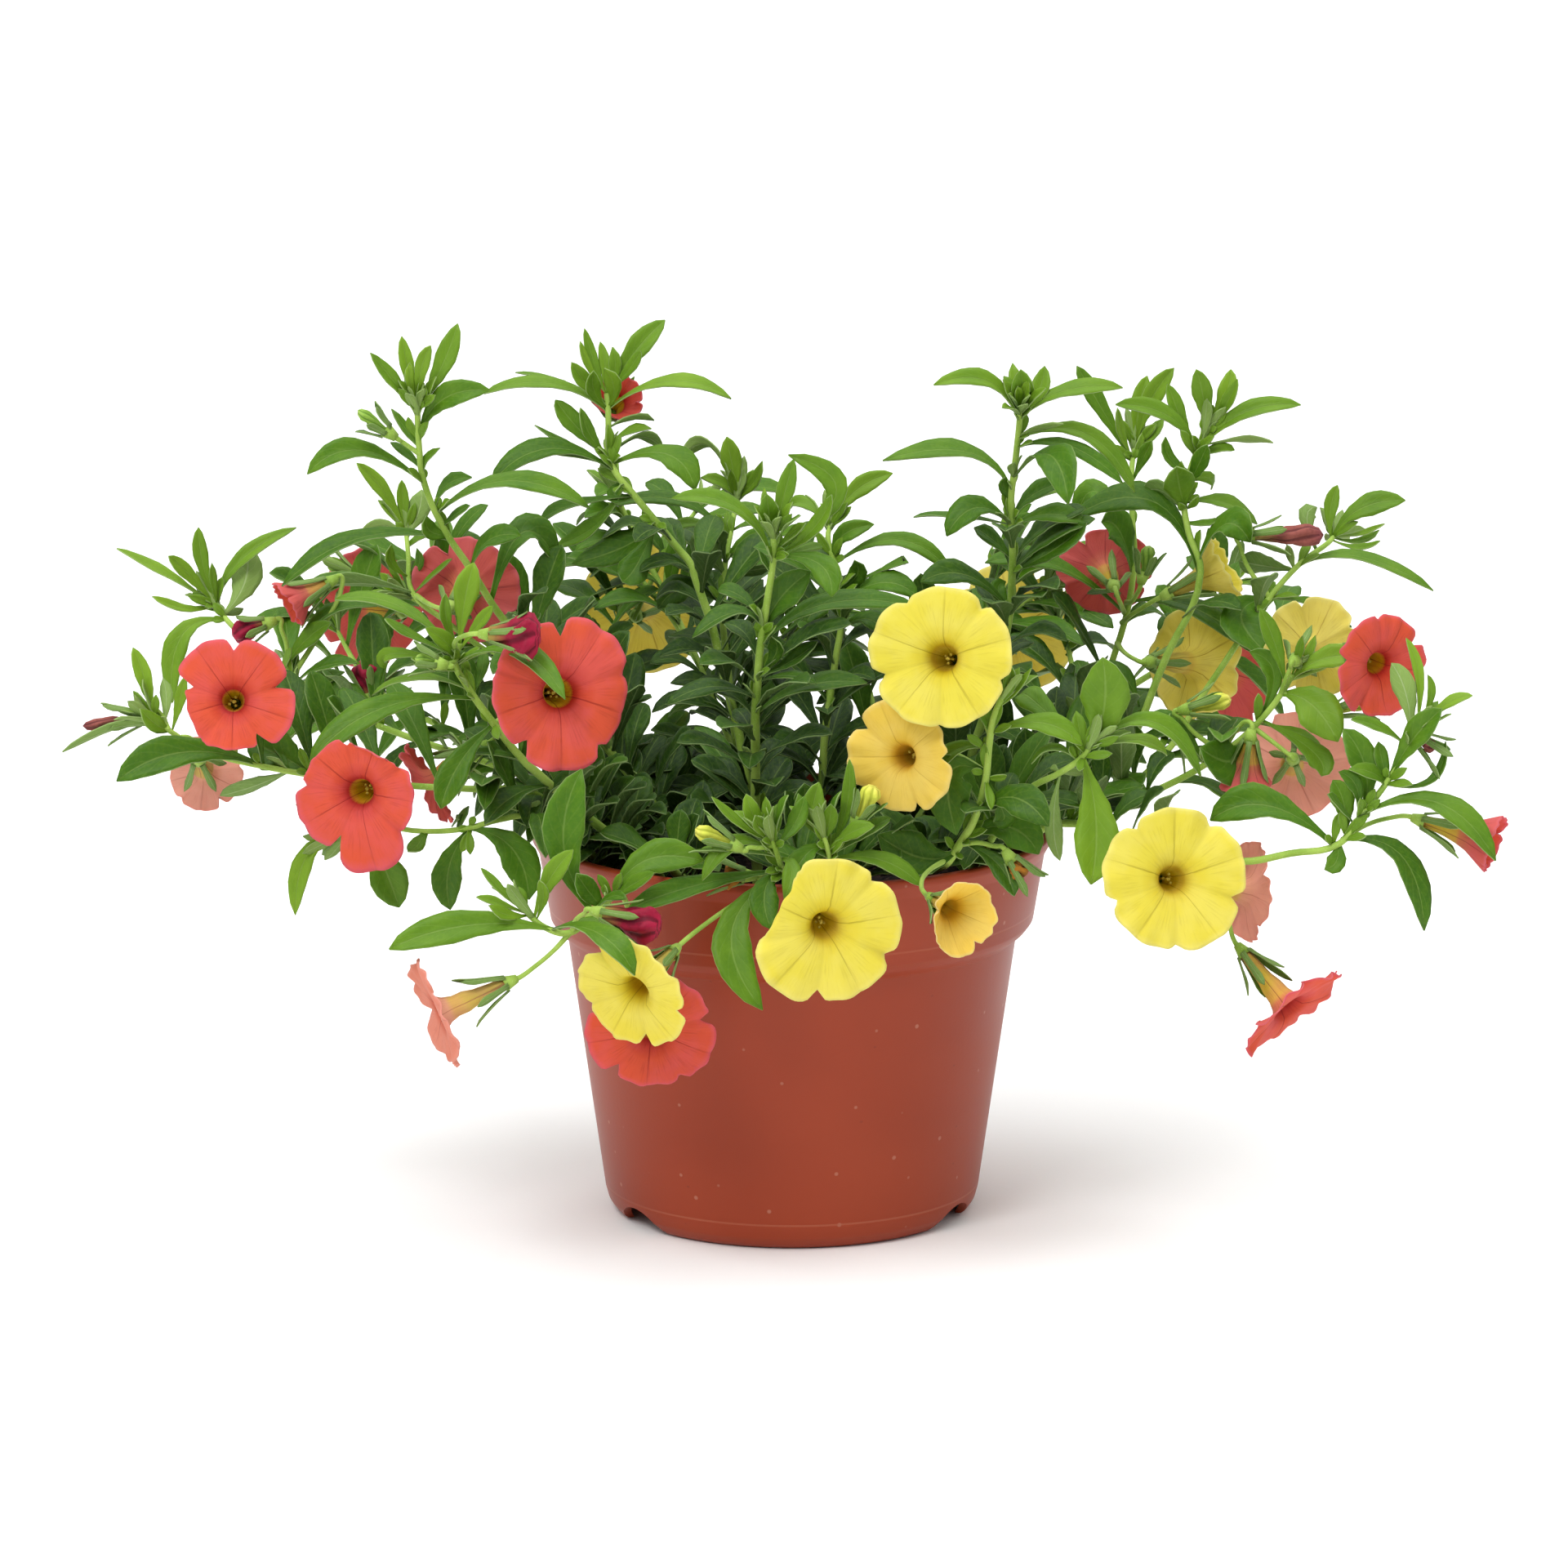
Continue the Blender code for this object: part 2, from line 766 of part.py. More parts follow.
    def settle(self) -> None:
        """Places everything: stems, flowers, stalks with their sepals, buds, traced leaves, then the rest."""
        for shoot in SHOOTS:
            self.place_stem(shoot)
        for flower in FLOWERS:
            self.place_bloom(flower)
        for shoot in SHOOTS:
            self.place_twigs(shoot)
        for bloom in self.blooms:
            flower = bloom.flower
            joint = (flower.joint_x, flower.joint_y)
            bloom.stalk = self.place_stalk(flower.shoot, joint, bloom.mouth, bloom.facing, flower.name)
        for bud in BUDS:
            self.place_bud(bud)
        for bloom in self.blooms:
            if bloom.stalk:
                self.place_calyx(bloom.stalk, bloom.flower.name, 10.5)
        for knob in self.knobs:
            self.place_calyx(knob.stalk, "", 6.0 if knob.bud.hue is Hue.GREEN else 8.5)
        for shoot in SHOOTS:
            for leaf in shoot.leaves:
                self.place_leaf(shoot.name, leaf)
        for shoot in SHOOTS:
            self.fill(shoot.name, self.stems[shoot.name], shoot.fill, FILL_SPACING)
        for name, twig in self.twigs:
            self.fill(name, twig, (0.25, 1.15), TWIG_SPACING)

    def place_bud(self, bud: Bud) -> None:
        """Puts a bud and its stalk at their place, nearer or farther where something is in the way."""
        start, _ = self.joint(bud.shoot, bud.joint_x, bud.joint_y)
        for shift in (0.0, 3.0, -3.0, 6.0, -6.0, 9.0, -9.0, 13.0, -13.0):
            mouth = EYE.spot(bud.base_x, bud.base_y, start.y + bud.back + shift)
            tip = EYE.spot(bud.tip_x, bud.tip_y, start.y + bud.back + shift * 1.2)
            facing = (tip - mouth).normalized()
            trial = Knob(bud, Stalk(bud.shoot, [], facing, mouth), tip)
            if self.clash(bud_shell(trial), bud.shoot):
                continue
            stalk = self.place_stalk(bud.shoot, (bud.joint_x, bud.joint_y), mouth, facing, "")
            if stalk is not None:
                knob = Knob(bud, stalk, tip)
                self.add(bud_shell(knob), bud.shoot)
                self.knobs.append(knob)
                return


def corners(shell: Shell) -> tuple[Vector, Vector]:
    """The lowest and the highest corner of the box round a shell."""
    low = Vector([min(point[axis] for point in shell.points) for axis in range(3)])
    high = Vector([max(point[axis] for point in shell.points) for axis in range(3)])
    return low, high


def tangled(shell: Shell) -> bool:
    """Whether a shell runs into itself."""
    tree = BVHTree.FromPolygons(shell.points, shell.faces)
    for one, two in tree.overlap(tree):
        if one < two and not set(shell.faces[one]) & set(shell.faces[two]):
            return True
    return False


def bend_point(start: Vector, bend: Vector, end: Vector, share: float) -> Vector:
    """A point of the arc from start to end that leans towards bend."""
    rest = 1.0 - share
    return start * rest * rest + bend * 2.0 * rest * share + end * share * share


def thinned(line: list[Vector], least: float) -> list[Vector]:
    """The line without the points that lie nearer than a length to the one before."""
    kept = line[:2]
    for point in line[2:-1]:
        if (point - kept[-1]).length >= least:
            kept.append(point)
    return kept + [line[-1]]


def point_at(line: list[Vector], travel: float) -> tuple[Vector, Vector]:
    """The point at a length along a line, and the direction there."""
    for start, end in zip(line, line[1:]):
        step = (end - start).length
        if travel <= step:
            return start.lerp(end, travel / step), (end - start).normalized()
        travel -= step
    return line[-1], (line[-1] - line[-2]).normalized()


def inside(spot: tuple[float, float], ring: tuple[tuple[float, float], ...]) -> bool:
    """Whether a pixel lies inside a closed line of pixels."""
    x, y = spot
    within = False
    for (ax, ay), (bx, by) in zip(ring, ring[1:] + ring[:1]):
        if (ay > y) != (by > y) and x < (bx - ax) * (y - ay) / (by - ay) + ax:
            within = not within
    return within


# The plant as the photograph shows it. Places are its pixels, with a depth behind the pot's axis in mm.
SHOOTS: tuple[Shoot, ...] = (
    Shoot("shoot_left_low", (-42, -14), 1.15, (0.12, 0.62), (
        (655, 972, -34), (575, 966, -40), (500, 962, -42), (430, 955, -42), (330, 940, -42),
        (245, 917, -42), (205, 893, -42), (186, 879, -42)), (
        Leaf(205, 897, 150, 888, 76, 920, -2, 5.0, -0.45),
        Leaf(190, 880, 178, 835, 163, 793, 3, 5.6, 0.85),
        Leaf(208, 893, 190, 886, 172, 868, -5, 6.0, 0.8),
        Leaf(205, 885, 204, 858, 200, 831, 7, 4.5, -0.6),
        Leaf(215, 890, 219, 862, 226, 828, 2, 4.0, 0.5),
        Leaf(315, 936, 225, 920, 142, 956, -7, 9.5, 0.75),
        Leaf(376, 958, 345, 925, 302, 906, 6, 11.5, 0.8),
        Leaf(350, 955, 312, 960, 270, 972, 8, 5.5, -0.5),
        Leaf(395, 955, 385, 975, 362, 985, 3, 4.5, 0.4))),
    Shoot("shoot_left_high", (-36, 4), 1.2, (0.15, 0.5), (
        (735, 980, -6), (600, 935, -12), (480, 895, -16), (395, 858, -20), (345, 820, -22),
        (283, 765, -24), (264, 741, -24)), (
        Leaf(262, 738, 205, 703, 143, 671, 2, 4.6, 0.35),
        Leaf(257, 730, 232, 704, 207, 681, -4, 5.2, 0.7),
        Leaf(256, 727, 248, 690, 243, 646, 1, 5.4, 0.9),
        Leaf(262, 742, 225, 744, 188, 729, -5, 4.2, 0.5),
        Leaf(272, 735, 292, 688, 362, 644, 4, 5.8, 0.55),
        Leaf(280, 748, 300, 712, 300, 668, 10, 11.0, -0.9),
        Leaf(283, 757, 222, 778, 210, 861, -6, 8.5, 0.55),
        Leaf(271, 738, 262, 715, 260, 690, -3, 3.0, 0.4),
        Leaf(352, 815, 372, 785, 405, 762, -3, 5.5, 0.6),
        Leaf(365, 838, 395, 815, 437, 811, -3, 5.2, 0.35),
        Leaf(362, 830, 390, 758, 462, 741, 4, 5.0, 0.25),
        Leaf(385, 850, 392, 832, 422, 822, 3, 5.0, 0.5),
        Leaf(400, 862, 375, 880, 352, 897, -4, 6.5, 0.5),
        Leaf(470, 890, 420, 850, 366, 890, 3, 8.5, 0.6)), 30.0),
    Shoot("shoot_left_front", (-30, -20), 1.5, (0.1, 0.45), (
        (700, 985, -36), (640, 930, -44), (600, 880, -47), (572, 840, -48), (557, 810, -48),
        (563, 788, -48)), (
        Leaf(572, 860, 462, 868, 378, 936, -8, 9.5, 0.6),
        Leaf(552, 803, 492, 742, 409, 732, 3, 7.0, 0.35),
        Leaf(572, 778, 569, 735, 580, 689, 1, 8.8, 0.9),
        Leaf(550, 790, 547, 760, 546, 728, -3, 4.0, 0.8),
        Leaf(565, 812, 642, 795, 693, 857, -14, 6.0, 0.35),
        Leaf(560, 815, 550, 790, 522, 769, -7, 6.0, 0.7),
        Leaf(545, 800, 502, 775, 472, 757, -3, 4.6, 0.4),
        Leaf(558, 858, 510, 828, 455, 851, 4, 5.6, 0.25),
        Leaf(592, 900, 562, 935, 540, 990, -6, 8.5, 0.8),
        Leaf(640, 930, 610, 922, 575, 920, -2, 3.2, 0.4),
        Leaf(568, 800, 585, 765, 603, 742, -2, 4.4, 0.7),
        Leaf(575, 850, 590, 820, 592, 795, 6, 4.0, 0.5),
        Leaf(566, 820, 535, 815, 505, 805, -6, 4.5, 0.6),
        Leaf(500, 800, 480, 800, 473, 820, 4, 5.0, 0.7))),
    Shoot("shoot_left_hanging", (-44, -22), 1.05, (0.1, 0.5), (
        (655, 1000, -52), (610, 1004, -58), (573, 1014, -60), (520, 1018, -56), (450, 1012, -50),
        (412, 1024, -48)), (
        Leaf(418, 1024, 375, 1048, 361, 1121, -4, 7.2, 0.75),
        Leaf(447, 1012, 470, 1062, 489, 1112, 1, 12.5, 0.9),
        Leaf(577, 1016, 550, 1060, 551, 1115, 1, 7.6, 0.85),
        Leaf(573, 1012, 628, 1040, 648, 1102, -3, 9.5, 0.85),
        Leaf(558, 1004, 566, 995, 552, 1012, 3, 5.0, 0.7),
        Leaf(520, 1018, 510, 1035, 500, 1042, -5, 4.5, 0.5),
        Leaf(425, 1022, 410, 1040, 398, 1052, 5, 4.0, -0.5))),
    Shoot("shoot_top_left", (-24, 6), 1.35, (0.1, 0.5), (
        (800, 985, 2), (690, 850, 0), (610, 750, -4), (575, 695, -5), (545, 650, -5),
        (519, 590, -5), (513, 545, -5), (511, 500, -5)), (
        Leaf(511, 499, 485, 470, 454, 432, -3, 5.0, 0.6),
        Leaf(509, 492, 500, 455, 492, 412, 2, 4.8, 0.85),
        Leaf(513, 490, 515, 455, 527, 424, -5, 5.0, 0.85),
        Leaf(513, 496, 540, 450, 560, 396, 4, 7.4, 0.75),
        Leaf(511, 498, 503, 470, 502, 445, -2, 3.6, 0.6),
        Leaf(515, 540, 540, 490, 599, 477, -5, 8.4, 0.75),
        Leaf(513, 592, 440, 550, 375, 580, -4, 6.8, 0.6),
        Leaf(516, 578, 521, 562, 538, 548, -3, 2.8, 0.5),
        Leaf(512, 575, 495, 552, 478, 541, 3, 3.0, 0.5),
        Leaf(541, 622, 625, 587, 723, 622, 6, 7.2, 0.45),
        Leaf(538, 615, 548, 592, 578, 584, 3, 4.2, 0.5),
        Leaf(546, 668, 442, 657, 344, 717, -2, 6.4, 0.4),
        Leaf(540, 663, 527, 650, 523, 632, -5, 4.4, 0.8),
        Leaf(548, 640, 560, 627, 574, 618, -4, 3.0, 0.5),
        Leaf(575, 695, 598, 660, 638, 655, -4, 6.2, 0.5),
        Leaf(600, 735, 640, 650, 684, 688, 5, 9.4, 0.5),
        Leaf(512, 545, 497, 525, 480, 500, 3, 3.2, 0.4)), -22.0),
    Shoot("shoot_left_back", (-32, 16), 1.1, (0.15, 0.6), (
        (760, 930, 18), (640, 830, 18), (545, 760, 18), (505, 725, 18), (500, 680, 18),
        (497, 648, 18)), (
        Leaf(495, 652, 470, 602, 437, 567, 0, 5.4, 0.75),
        Leaf(497, 652, 494, 620, 492, 588, 2, 4.4, 0.6),
        Leaf(503, 656, 512, 628, 516, 600, 4, 8.6, -0.85),
        Leaf(487, 712, 480, 690, 480, 668, -4, 3.8, 0.7),
        Leaf(505, 727, 440, 712, 369, 722, -3, 6.8, -0.45),
        Leaf(500, 657, 470, 642, 440, 656, 5, 5.0, -0.5),
        Leaf(508, 724, 528, 705, 552, 683, -2, 3.2, 0.3),
        Leaf(504, 700, 513, 690, 510, 672, -3, 3.4, 0.6),
        Leaf(497, 655, 485, 632, 463, 612, 4, 4.2, 0.5),
        Leaf(503, 668, 528, 650, 545, 655, 4, 4.6, 0.5)), 22.0),
    Shoot("shoot_top_middle", (-8, 16), 1.35, (0.1, 0.45), (
        (905, 900, 18), (870, 760, 17), (845, 690, 16), (800, 635, 15), (757, 583, 14),
        (745, 558, 14), (745, 505, 14), (743, 482, 14)), (
        Leaf(741, 503, 672, 468, 592, 481, 0, 6.4, 0.4),
        Leaf(741, 495, 690, 468, 631, 454, 6, 3.4, 0.25),
        Leaf(752, 500, 818, 466, 897, 486, -2, 6.6, 0.45),
        Leaf(753, 482, 776, 432, 814, 391, 4, 8.2, 0.75),
        Leaf(741, 496, 718, 470, 701, 444, -3, 5.4, 0.8),
        Leaf(743, 490, 742, 455, 735, 418, 4, 4.2, 0.7),
        Leaf(741, 484, 728, 445, 716, 402, 3, 3.8, 0.6),
        Leaf(739, 482, 722, 450, 711, 418, 0, 2.8, 0.5),
        Leaf(748, 486, 753, 455, 750, 425, 1, 4.4, 0.7),
        Leaf(742, 500, 728, 480, 727, 455, -6, 5.4, 0.9),
        Leaf(748, 500, 752, 476, 740, 452, -5, 6.2, 0.85),
        Leaf(758, 478, 770, 452, 783, 430, -3, 4.6, 0.6),
        Leaf(738, 565, 706, 522, 681, 489, 2, 6.4, 0.65),
        Leaf(742, 560, 724, 535, 712, 500, -3, 4.2, 0.6),
        Leaf(748, 524, 772, 512, 801, 513, 4, 5.0, -0.4),
        Leaf(750, 545, 772, 526, 798, 524, 2, 4.0, 0.4),
        Leaf(752, 556, 782, 533, 811, 549, 5, 5.2, -0.4),
        Leaf(740, 572, 702, 548, 655, 520, 3, 3.2, 0.2),
        Leaf(742, 576, 700, 556, 643, 547, -2, 4.0, 0.35),
        Leaf(748, 578, 670, 548, 600, 592, -5, 8.2, 0.5),
        Leaf(754, 567, 818, 555, 852, 600, -6, 9.6, 0.5),
        Leaf(742, 636, 752, 608, 762, 588, 3, 4.2, 0.6),
        Leaf(735, 640, 700, 617, 658, 640, 4, 5.0, 0.4),
        Leaf(765, 590, 732, 640, 678, 668, 6, 5.6, 0.5),
        Leaf(800, 640, 770, 665, 700, 690, 5, 8.8, 0.6),
        Leaf(805, 640, 780, 690, 762, 712, -5, 8.4, 0.7)), 10.0),
    Shoot("shoot_upper_middle", (-8, 25), 1.15, (0.1, 0.55), (
        (900, 900, 30), (885, 760, 29), (888, 690, 28), (897, 640, 27), (903, 607, 27)), (
        Leaf(905, 606, 897, 572, 890, 535, 1, 7.6, 0.9),
        Leaf(908, 606, 923, 590, 932, 565, -2, 4.4, 0.6),
        Leaf(901, 602, 882, 590, 858, 584, -1, 4.8, 0.55),
        Leaf(904, 605, 897, 592, 895, 576, -4, 3.2, 0.8),
        Leaf(893, 662, 830, 611, 744, 619, 0, 6.6, 0.4),
        Leaf(888, 690, 910, 663, 946, 654, -3, 5.4, 0.5),
        Leaf(886, 702, 870, 682, 848, 655, -2, 8.2, -0.6),
        Leaf(889, 705, 915, 697, 945, 694, 4, 7.0, -0.6),
        Leaf(890, 655, 850, 640, 812, 652, 5, 4.6, 0.5),
        Leaf(885, 740, 840, 718, 805, 745, -3, 8.8, 0.5),
        Leaf(893, 650, 925, 640, 948, 655, 2, 4.2, 0.4),
        Leaf(900, 612, 870, 545, 832, 565, 8, 6.2, -0.4)), 28.0),
    Shoot("shoot_centre", (-8, -14), 1.45, (0.1, 0.4), (
        (925, 985, -18), (925, 870, -24), (930, 800, -25), (938, 745, -26), (945, 700, -26),
        (948, 675, -26), (947, 652, -26)), (
        Leaf(948, 667, 943, 640, 939, 606, -4, 7.4, 0.95),
        Leaf(946, 652, 938, 622, 936, 597, 3, 3.0, 0.7),
        Leaf(950, 656, 959, 610, 972, 562, 3, 6.2, 0.9),
        Leaf(963, 682, 993, 650, 1018, 606, -3, 5.4, 0.7),
        Leaf(962, 678, 1024, 604, 965, 557, 3, 8.2, 0.7),
        Leaf(957, 684, 1003, 690, 1018, 731, -7, 9.2, 0.9),
        Leaf(943, 690, 905, 622, 822, 608, -3, 7.0, 0.45),
        Leaf(932, 772, 903, 748, 846, 779, -5, 6.2, 0.3),
        Leaf(938, 780, 955, 733, 992, 700, -2, 8.6, 0.85),
        Leaf(941, 790, 1010, 738, 1128, 742, 4, 7.4, 0.45),
        Leaf(920, 856, 872, 839, 816, 862, -4, 6.0, 0.4),
        Leaf(927, 876, 988, 838, 1062, 836, -3, 6.4, 0.4),
        Leaf(931, 826, 950, 800, 944, 780, -4, 4.6, 0.6),
        Leaf(931, 830, 970, 808, 1000, 785, -3, 4.6, 0.5),
        Leaf(930, 834, 965, 826, 1000, 836, -5, 4.0, 0.3),
        Leaf(945, 700, 938, 688, 930, 674, -2, 3.0, 0.4),
        Leaf(962, 690, 985, 672, 1008, 668, 4, 4.4, 0.4),
        Leaf(960, 676, 968, 655, 985, 640, -5, 3.6, 0.6),
        Leaf(936, 760, 905, 728, 878, 722, 5, 5.0, 0.5)), -14.0),
    Shoot("shoot_right_middle", (6, 10), 1.2, (0.1, 0.55), (
        (1010, 900, 10), (1030, 760, 10), (1024, 700, 10), (1014, 660, 10), (1016, 642, 10)), (
        Leaf(1020, 648, 1046, 602, 1093, 579, 0, 7.0, 0.8),
        Leaf(1016, 645, 1028, 628, 1036, 616, -3, 3.2, 0.6),
        Leaf(1014, 684, 1032, 655, 1070, 642, -3, 6.4, 0.75),
        Leaf(1022, 690, 1100, 660, 1166, 702, -1, 7.0, 0.55),
        Leaf(1048, 722, 1049, 705, 1046, 687, -4, 6.0, 0.9),
        Leaf(1140, 702, 1106, 686, 1073, 700, 5, 4.4, 0.4),
        Leaf(1008, 640, 985, 616, 966, 622, 5, 6.0, 0.5),
        Leaf(1014, 665, 985, 650, 955, 655, 4, 5.6, 0.4),
        Leaf(1030, 742, 1080, 712, 1124, 730, -4, 8.0, 0.5),
        Leaf(1030, 760, 1010, 738, 985, 765, -4, 7.0, 0.5),
        Leaf(1026, 770, 1060, 756, 1084, 775, -4, 7.2, 0.4)), 12.0),
    Shoot("shoot_top_right", (22, 8), 1.35, (0.1, 0.45), (
        (1180, 950, 10), (1225, 820, 11), (1238, 740, 11), (1240, 680, 11), (1238, 610, 11),
        (1244, 560, 11), (1248, 520, 11), (1249, 500, 11)), (
        Leaf(1246, 516, 1210, 466, 1143, 471, -2, 6.6, 0.55),
        Leaf(1254, 514, 1302, 478, 1375, 474, -2, 6.6, 0.55),
        Leaf(1247, 506, 1240, 478, 1229, 460, 2, 4.2, 0.6),
        Leaf(1248, 506, 1244, 475, 1240, 444, 4, 4.4, 0.75),
        Leaf(1250, 508, 1252, 482, 1250, 454, -5, 7.6, 0.9),
        Leaf(1254, 508, 1270, 482, 1279, 448, 3, 6.4, 0.75),
        Leaf(1252, 536, 1330, 530, 1392, 603, 5, 7.6, 0.55),
        Leaf(1252, 546, 1310, 545, 1376, 592, -3, 5.8, 0.55),
        Leaf(1252, 534, 1272, 524, 1302, 518, -5, 4.2, -0.4),
        Leaf(1244, 586, 1285, 555, 1308, 617, -6, 10.4, 0.55),
        Leaf(1243, 636, 1266, 604, 1312, 588, 3, 5.2, 0.5),
        Leaf(1233, 603, 1185, 552, 1080, 562, -2, 7.0, 0.4),
        Leaf(1234, 608, 1230, 597, 1231, 585, -3, 3.2, 0.7),
        Leaf(1240, 643, 1195, 620, 1158, 656, -4, 8.0, 0.5),
        Leaf(1236, 642, 1175, 632, 1118, 630, 4, 3.6, 0.2),
        Leaf(1234, 686, 1216, 660, 1193, 645, 2, 5.0, 0.5),
        Leaf(1244, 646, 1285, 628, 1335, 640, 4, 6.4, 0.5),
        Leaf(1215, 742, 1182, 702, 1127, 713, -3, 7.4, 0.5),
        Leaf(1240, 700, 1290, 672, 1330, 640, -3, 7.4, 0.5),
        Leaf(1228, 745, 1222, 722, 1232, 712, 3, 4.2, 0.6)), -30.0),
    Shoot("shoot_top_right_back", (28, 18), 1.2, (0.1, 0.5), (
        (1300, 940, 22), (1365, 800, 20), (1388, 700, 18), (1386, 620, 17), (1386, 572, 16),
        (1390, 545, 16)), (
        Leaf(1392, 545, 1408, 492, 1437, 451, -2, 7.2, 0.75),
        Leaf(1388, 545, 1394, 500, 1405, 460, 3, 6.2, 0.8),
        Leaf(1372, 562, 1348, 498, 1319, 448, 2, 6.4, 0.75),
        Leaf(1384, 560, 1374, 532, 1369, 500, -3, 3.4, 0.5),
        Leaf(1390, 560, 1408, 535, 1425, 512, 3, 4.6, 0.5),
        Leaf(1386, 592, 1400, 560, 1410, 540, -3, 4.6, 0.6),
        Leaf(1385, 757, 1292, 690, 1206, 687, -6, 7.4, 0.4),
        Leaf(1385, 742, 1460, 742, 1545, 802, -8, 7.0, 0.45),
        Leaf(1386, 650, 1340, 600, 1318, 640, 4, 8.0, 0.5),
        Leaf(1388, 700, 1372, 650, 1350, 640, -4, 9.0, 0.6)), 26.0),
    Shoot("shoot_right_crown", (32, 12), 1.3, (0.1, 0.45), (
        (1350, 950, 6), (1430, 800, 5), (1470, 700, 4), (1455, 650, 4), (1450, 610, 4),
        (1462, 562, 4), (1477, 528, 4)), (
        Leaf(1477, 527, 1474, 490, 1465, 453, -2, 7.4, 0.85),
        Leaf(1481, 527, 1499, 490, 1507, 452, 3, 6.6, 0.75),
        Leaf(1482, 524, 1500, 497, 1514, 465, -3, 4.4, 0.65),
        Leaf(1472, 558, 1520, 506, 1593, 494, -3, 6.8, 0.6),
        Leaf(1480, 552, 1518, 538, 1559, 540, 4, 5.4, -0.35),
        Leaf(1465, 600, 1466, 572, 1478, 545, -6, 5.6, 0.8),
        Leaf(1452, 624, 1445, 598, 1441, 572, -8, 9.6, 0.95),
        Leaf(1460, 550, 1430, 508, 1366, 495, -1, 7.0, 0.55),
        Leaf(1458, 555, 1445, 510, 1430, 470, 3, 5.2, 0.6),
        Leaf(1455, 612, 1500, 614, 1541, 641, 4, 7.2, 0.4),
        Leaf(1474, 700, 1412, 612, 1310, 632, 6, 9.4, 0.45),
        Leaf(1453, 640, 1478, 640, 1490, 635, -3, 3.2, 0.4),
        Leaf(1468, 690, 1500, 640, 1530, 665, 6, 9.0, 0.5),
        Leaf(1456, 580, 1432, 560, 1428, 535, 2, 4.0, 0.5),
        Leaf(1470, 590, 1482, 585, 1484, 600, 4, 4.8, 0.6),
        Leaf(1452, 628, 1425, 600, 1402, 602, 5, 6.4, -0.5),
        Leaf(1474, 562, 1495, 548, 1512, 551, 1, 4.0, 0.5)), 6.0),
    Shoot("shoot_right_high", (38, 4), 1.15, (0.1, 0.5), (
        (1400, 950, -4), (1480, 840, -8), (1550, 738, -10), (1590, 692, -12), (1626, 665, -12),
        (1634, 655, -12)), (
        Leaf(1631, 660, 1629, 625, 1638, 594, 3, 5.2, 0.85),
        Leaf(1633, 661, 1666, 622, 1721, 612, -2, 8.6, 0.65),
        Leaf(1640, 662, 1668, 652, 1694, 640, -4, 2.8, 0.4),
        Leaf(1641, 665, 1665, 662, 1688, 648, 2, 3.0, 0.5),
        Leaf(1638, 667, 1664, 670, 1688, 661, -5, 3.0, 0.5),
        Leaf(1591, 695, 1662, 680, 1757, 721, -2, 6.0, 0.35),
        Leaf(1582, 697, 1545, 690, 1517, 685, -2, 9.0, -0.55),
        Leaf(1558, 735, 1592, 734, 1620, 740, 4, 3.4, 0.35),
        Leaf(1535, 712, 1520, 752, 1552, 800, -10, 12.5, 0.8),
        Leaf(1610, 672, 1600, 635, 1612, 622, 4, 6.0, -0.6)), 34.0),
    Shoot("shoot_right_outer", (42, -2), 1.25, (0.1, 0.5), (
        (1400, 975, -24), (1500, 920, -34), (1545, 880, -38), (1572, 845, -39), (1583, 826, -39)), (
        Leaf(1577, 842, 1562, 790, 1543, 745, 2, 6.4, 0.7),
        Leaf(1585, 838, 1620, 806, 1665, 805, -3, 8.2, 0.75),
        Leaf(1582, 832, 1590, 802, 1594, 780, -4, 3.2, 0.6),
        Leaf(1583, 834, 1600, 804, 1610, 778, 1, 3.2, 0.6),
        Leaf(1566, 850, 1606, 862, 1638, 908, -9, 15.0, 0.9),
        Leaf(1552, 922, 1512, 930, 1470, 915, -8, 15.0, 0.9),
        Leaf(1576, 905, 1608, 920, 1618, 950, -4, 7.8, 0.7),
        Leaf(1538, 880, 1560, 826, 1530, 798, 3, 6.6, 0.6),
        Leaf(1470, 935, 1440, 890, 1400, 885, 3, 6.6, 0.5),
        Leaf(1560, 905, 1590, 897, 1620, 915, 4, 4.4, 0.4))),
    Shoot("shoot_right_trailing", (44, -14), 1.25, (0.1, 0.35), (
        (1290, 1008, -36), (1430, 1040, -50), (1520, 1055, -54), (1580, 1045, -54), (1640, 1033, -54),
        (1670, 995, -53), (1700, 955, -52), (1716, 925, -52), (1735, 893, -52)), (
        Leaf(1634, 1030, 1552, 985, 1480, 1004, 4, 9.8, 0.65),
        Leaf(1642, 1040, 1636, 1055, 1622, 1064, -2, 5.2, 0.75),
        Leaf(1652, 1038, 1718, 1048, 1745, 1140, -3, 8.0, 0.45),
        Leaf(1676, 1000, 1762, 982, 1832, 1054, -8, 8.0, 0.5),
        Leaf(1704, 958, 1730, 905, 1765, 868, -4, 8.2, 0.65),
        Leaf(1697, 953, 1692, 930, 1688, 908, 3, 4.4, 0.7),
        Leaf(1650, 1026, 1646, 985, 1632, 955, 3, 6.4, 0.6),
        Leaf(1664, 1002, 1662, 965, 1640, 945, -3, 4.4, 0.5),
        Leaf(1700, 960, 1680, 945, 1652, 941, -4, 5.2, 0.6),
        Leaf(1668, 995, 1672, 940, 1645, 892, 6, 8.0, 0.7),
        Leaf(1735, 990, 1752, 955, 1769, 908, 2, 2.8, 0.5),
        Leaf(1738, 895, 1770, 862, 1803, 851, -2, 4.4, 0.5),
        Leaf(1735, 895, 1752, 855, 1748, 826, 2, 2.8, 0.5),
        Leaf(1725, 905, 1722, 850, 1704, 812, 3, 8.0, -0.6),
        Leaf(1730, 880, 1738, 830, 1722, 781, 6, 3.6, 0.5),
        Leaf(1722, 915, 1690, 890, 1655, 880, -4, 4.8, 0.5),
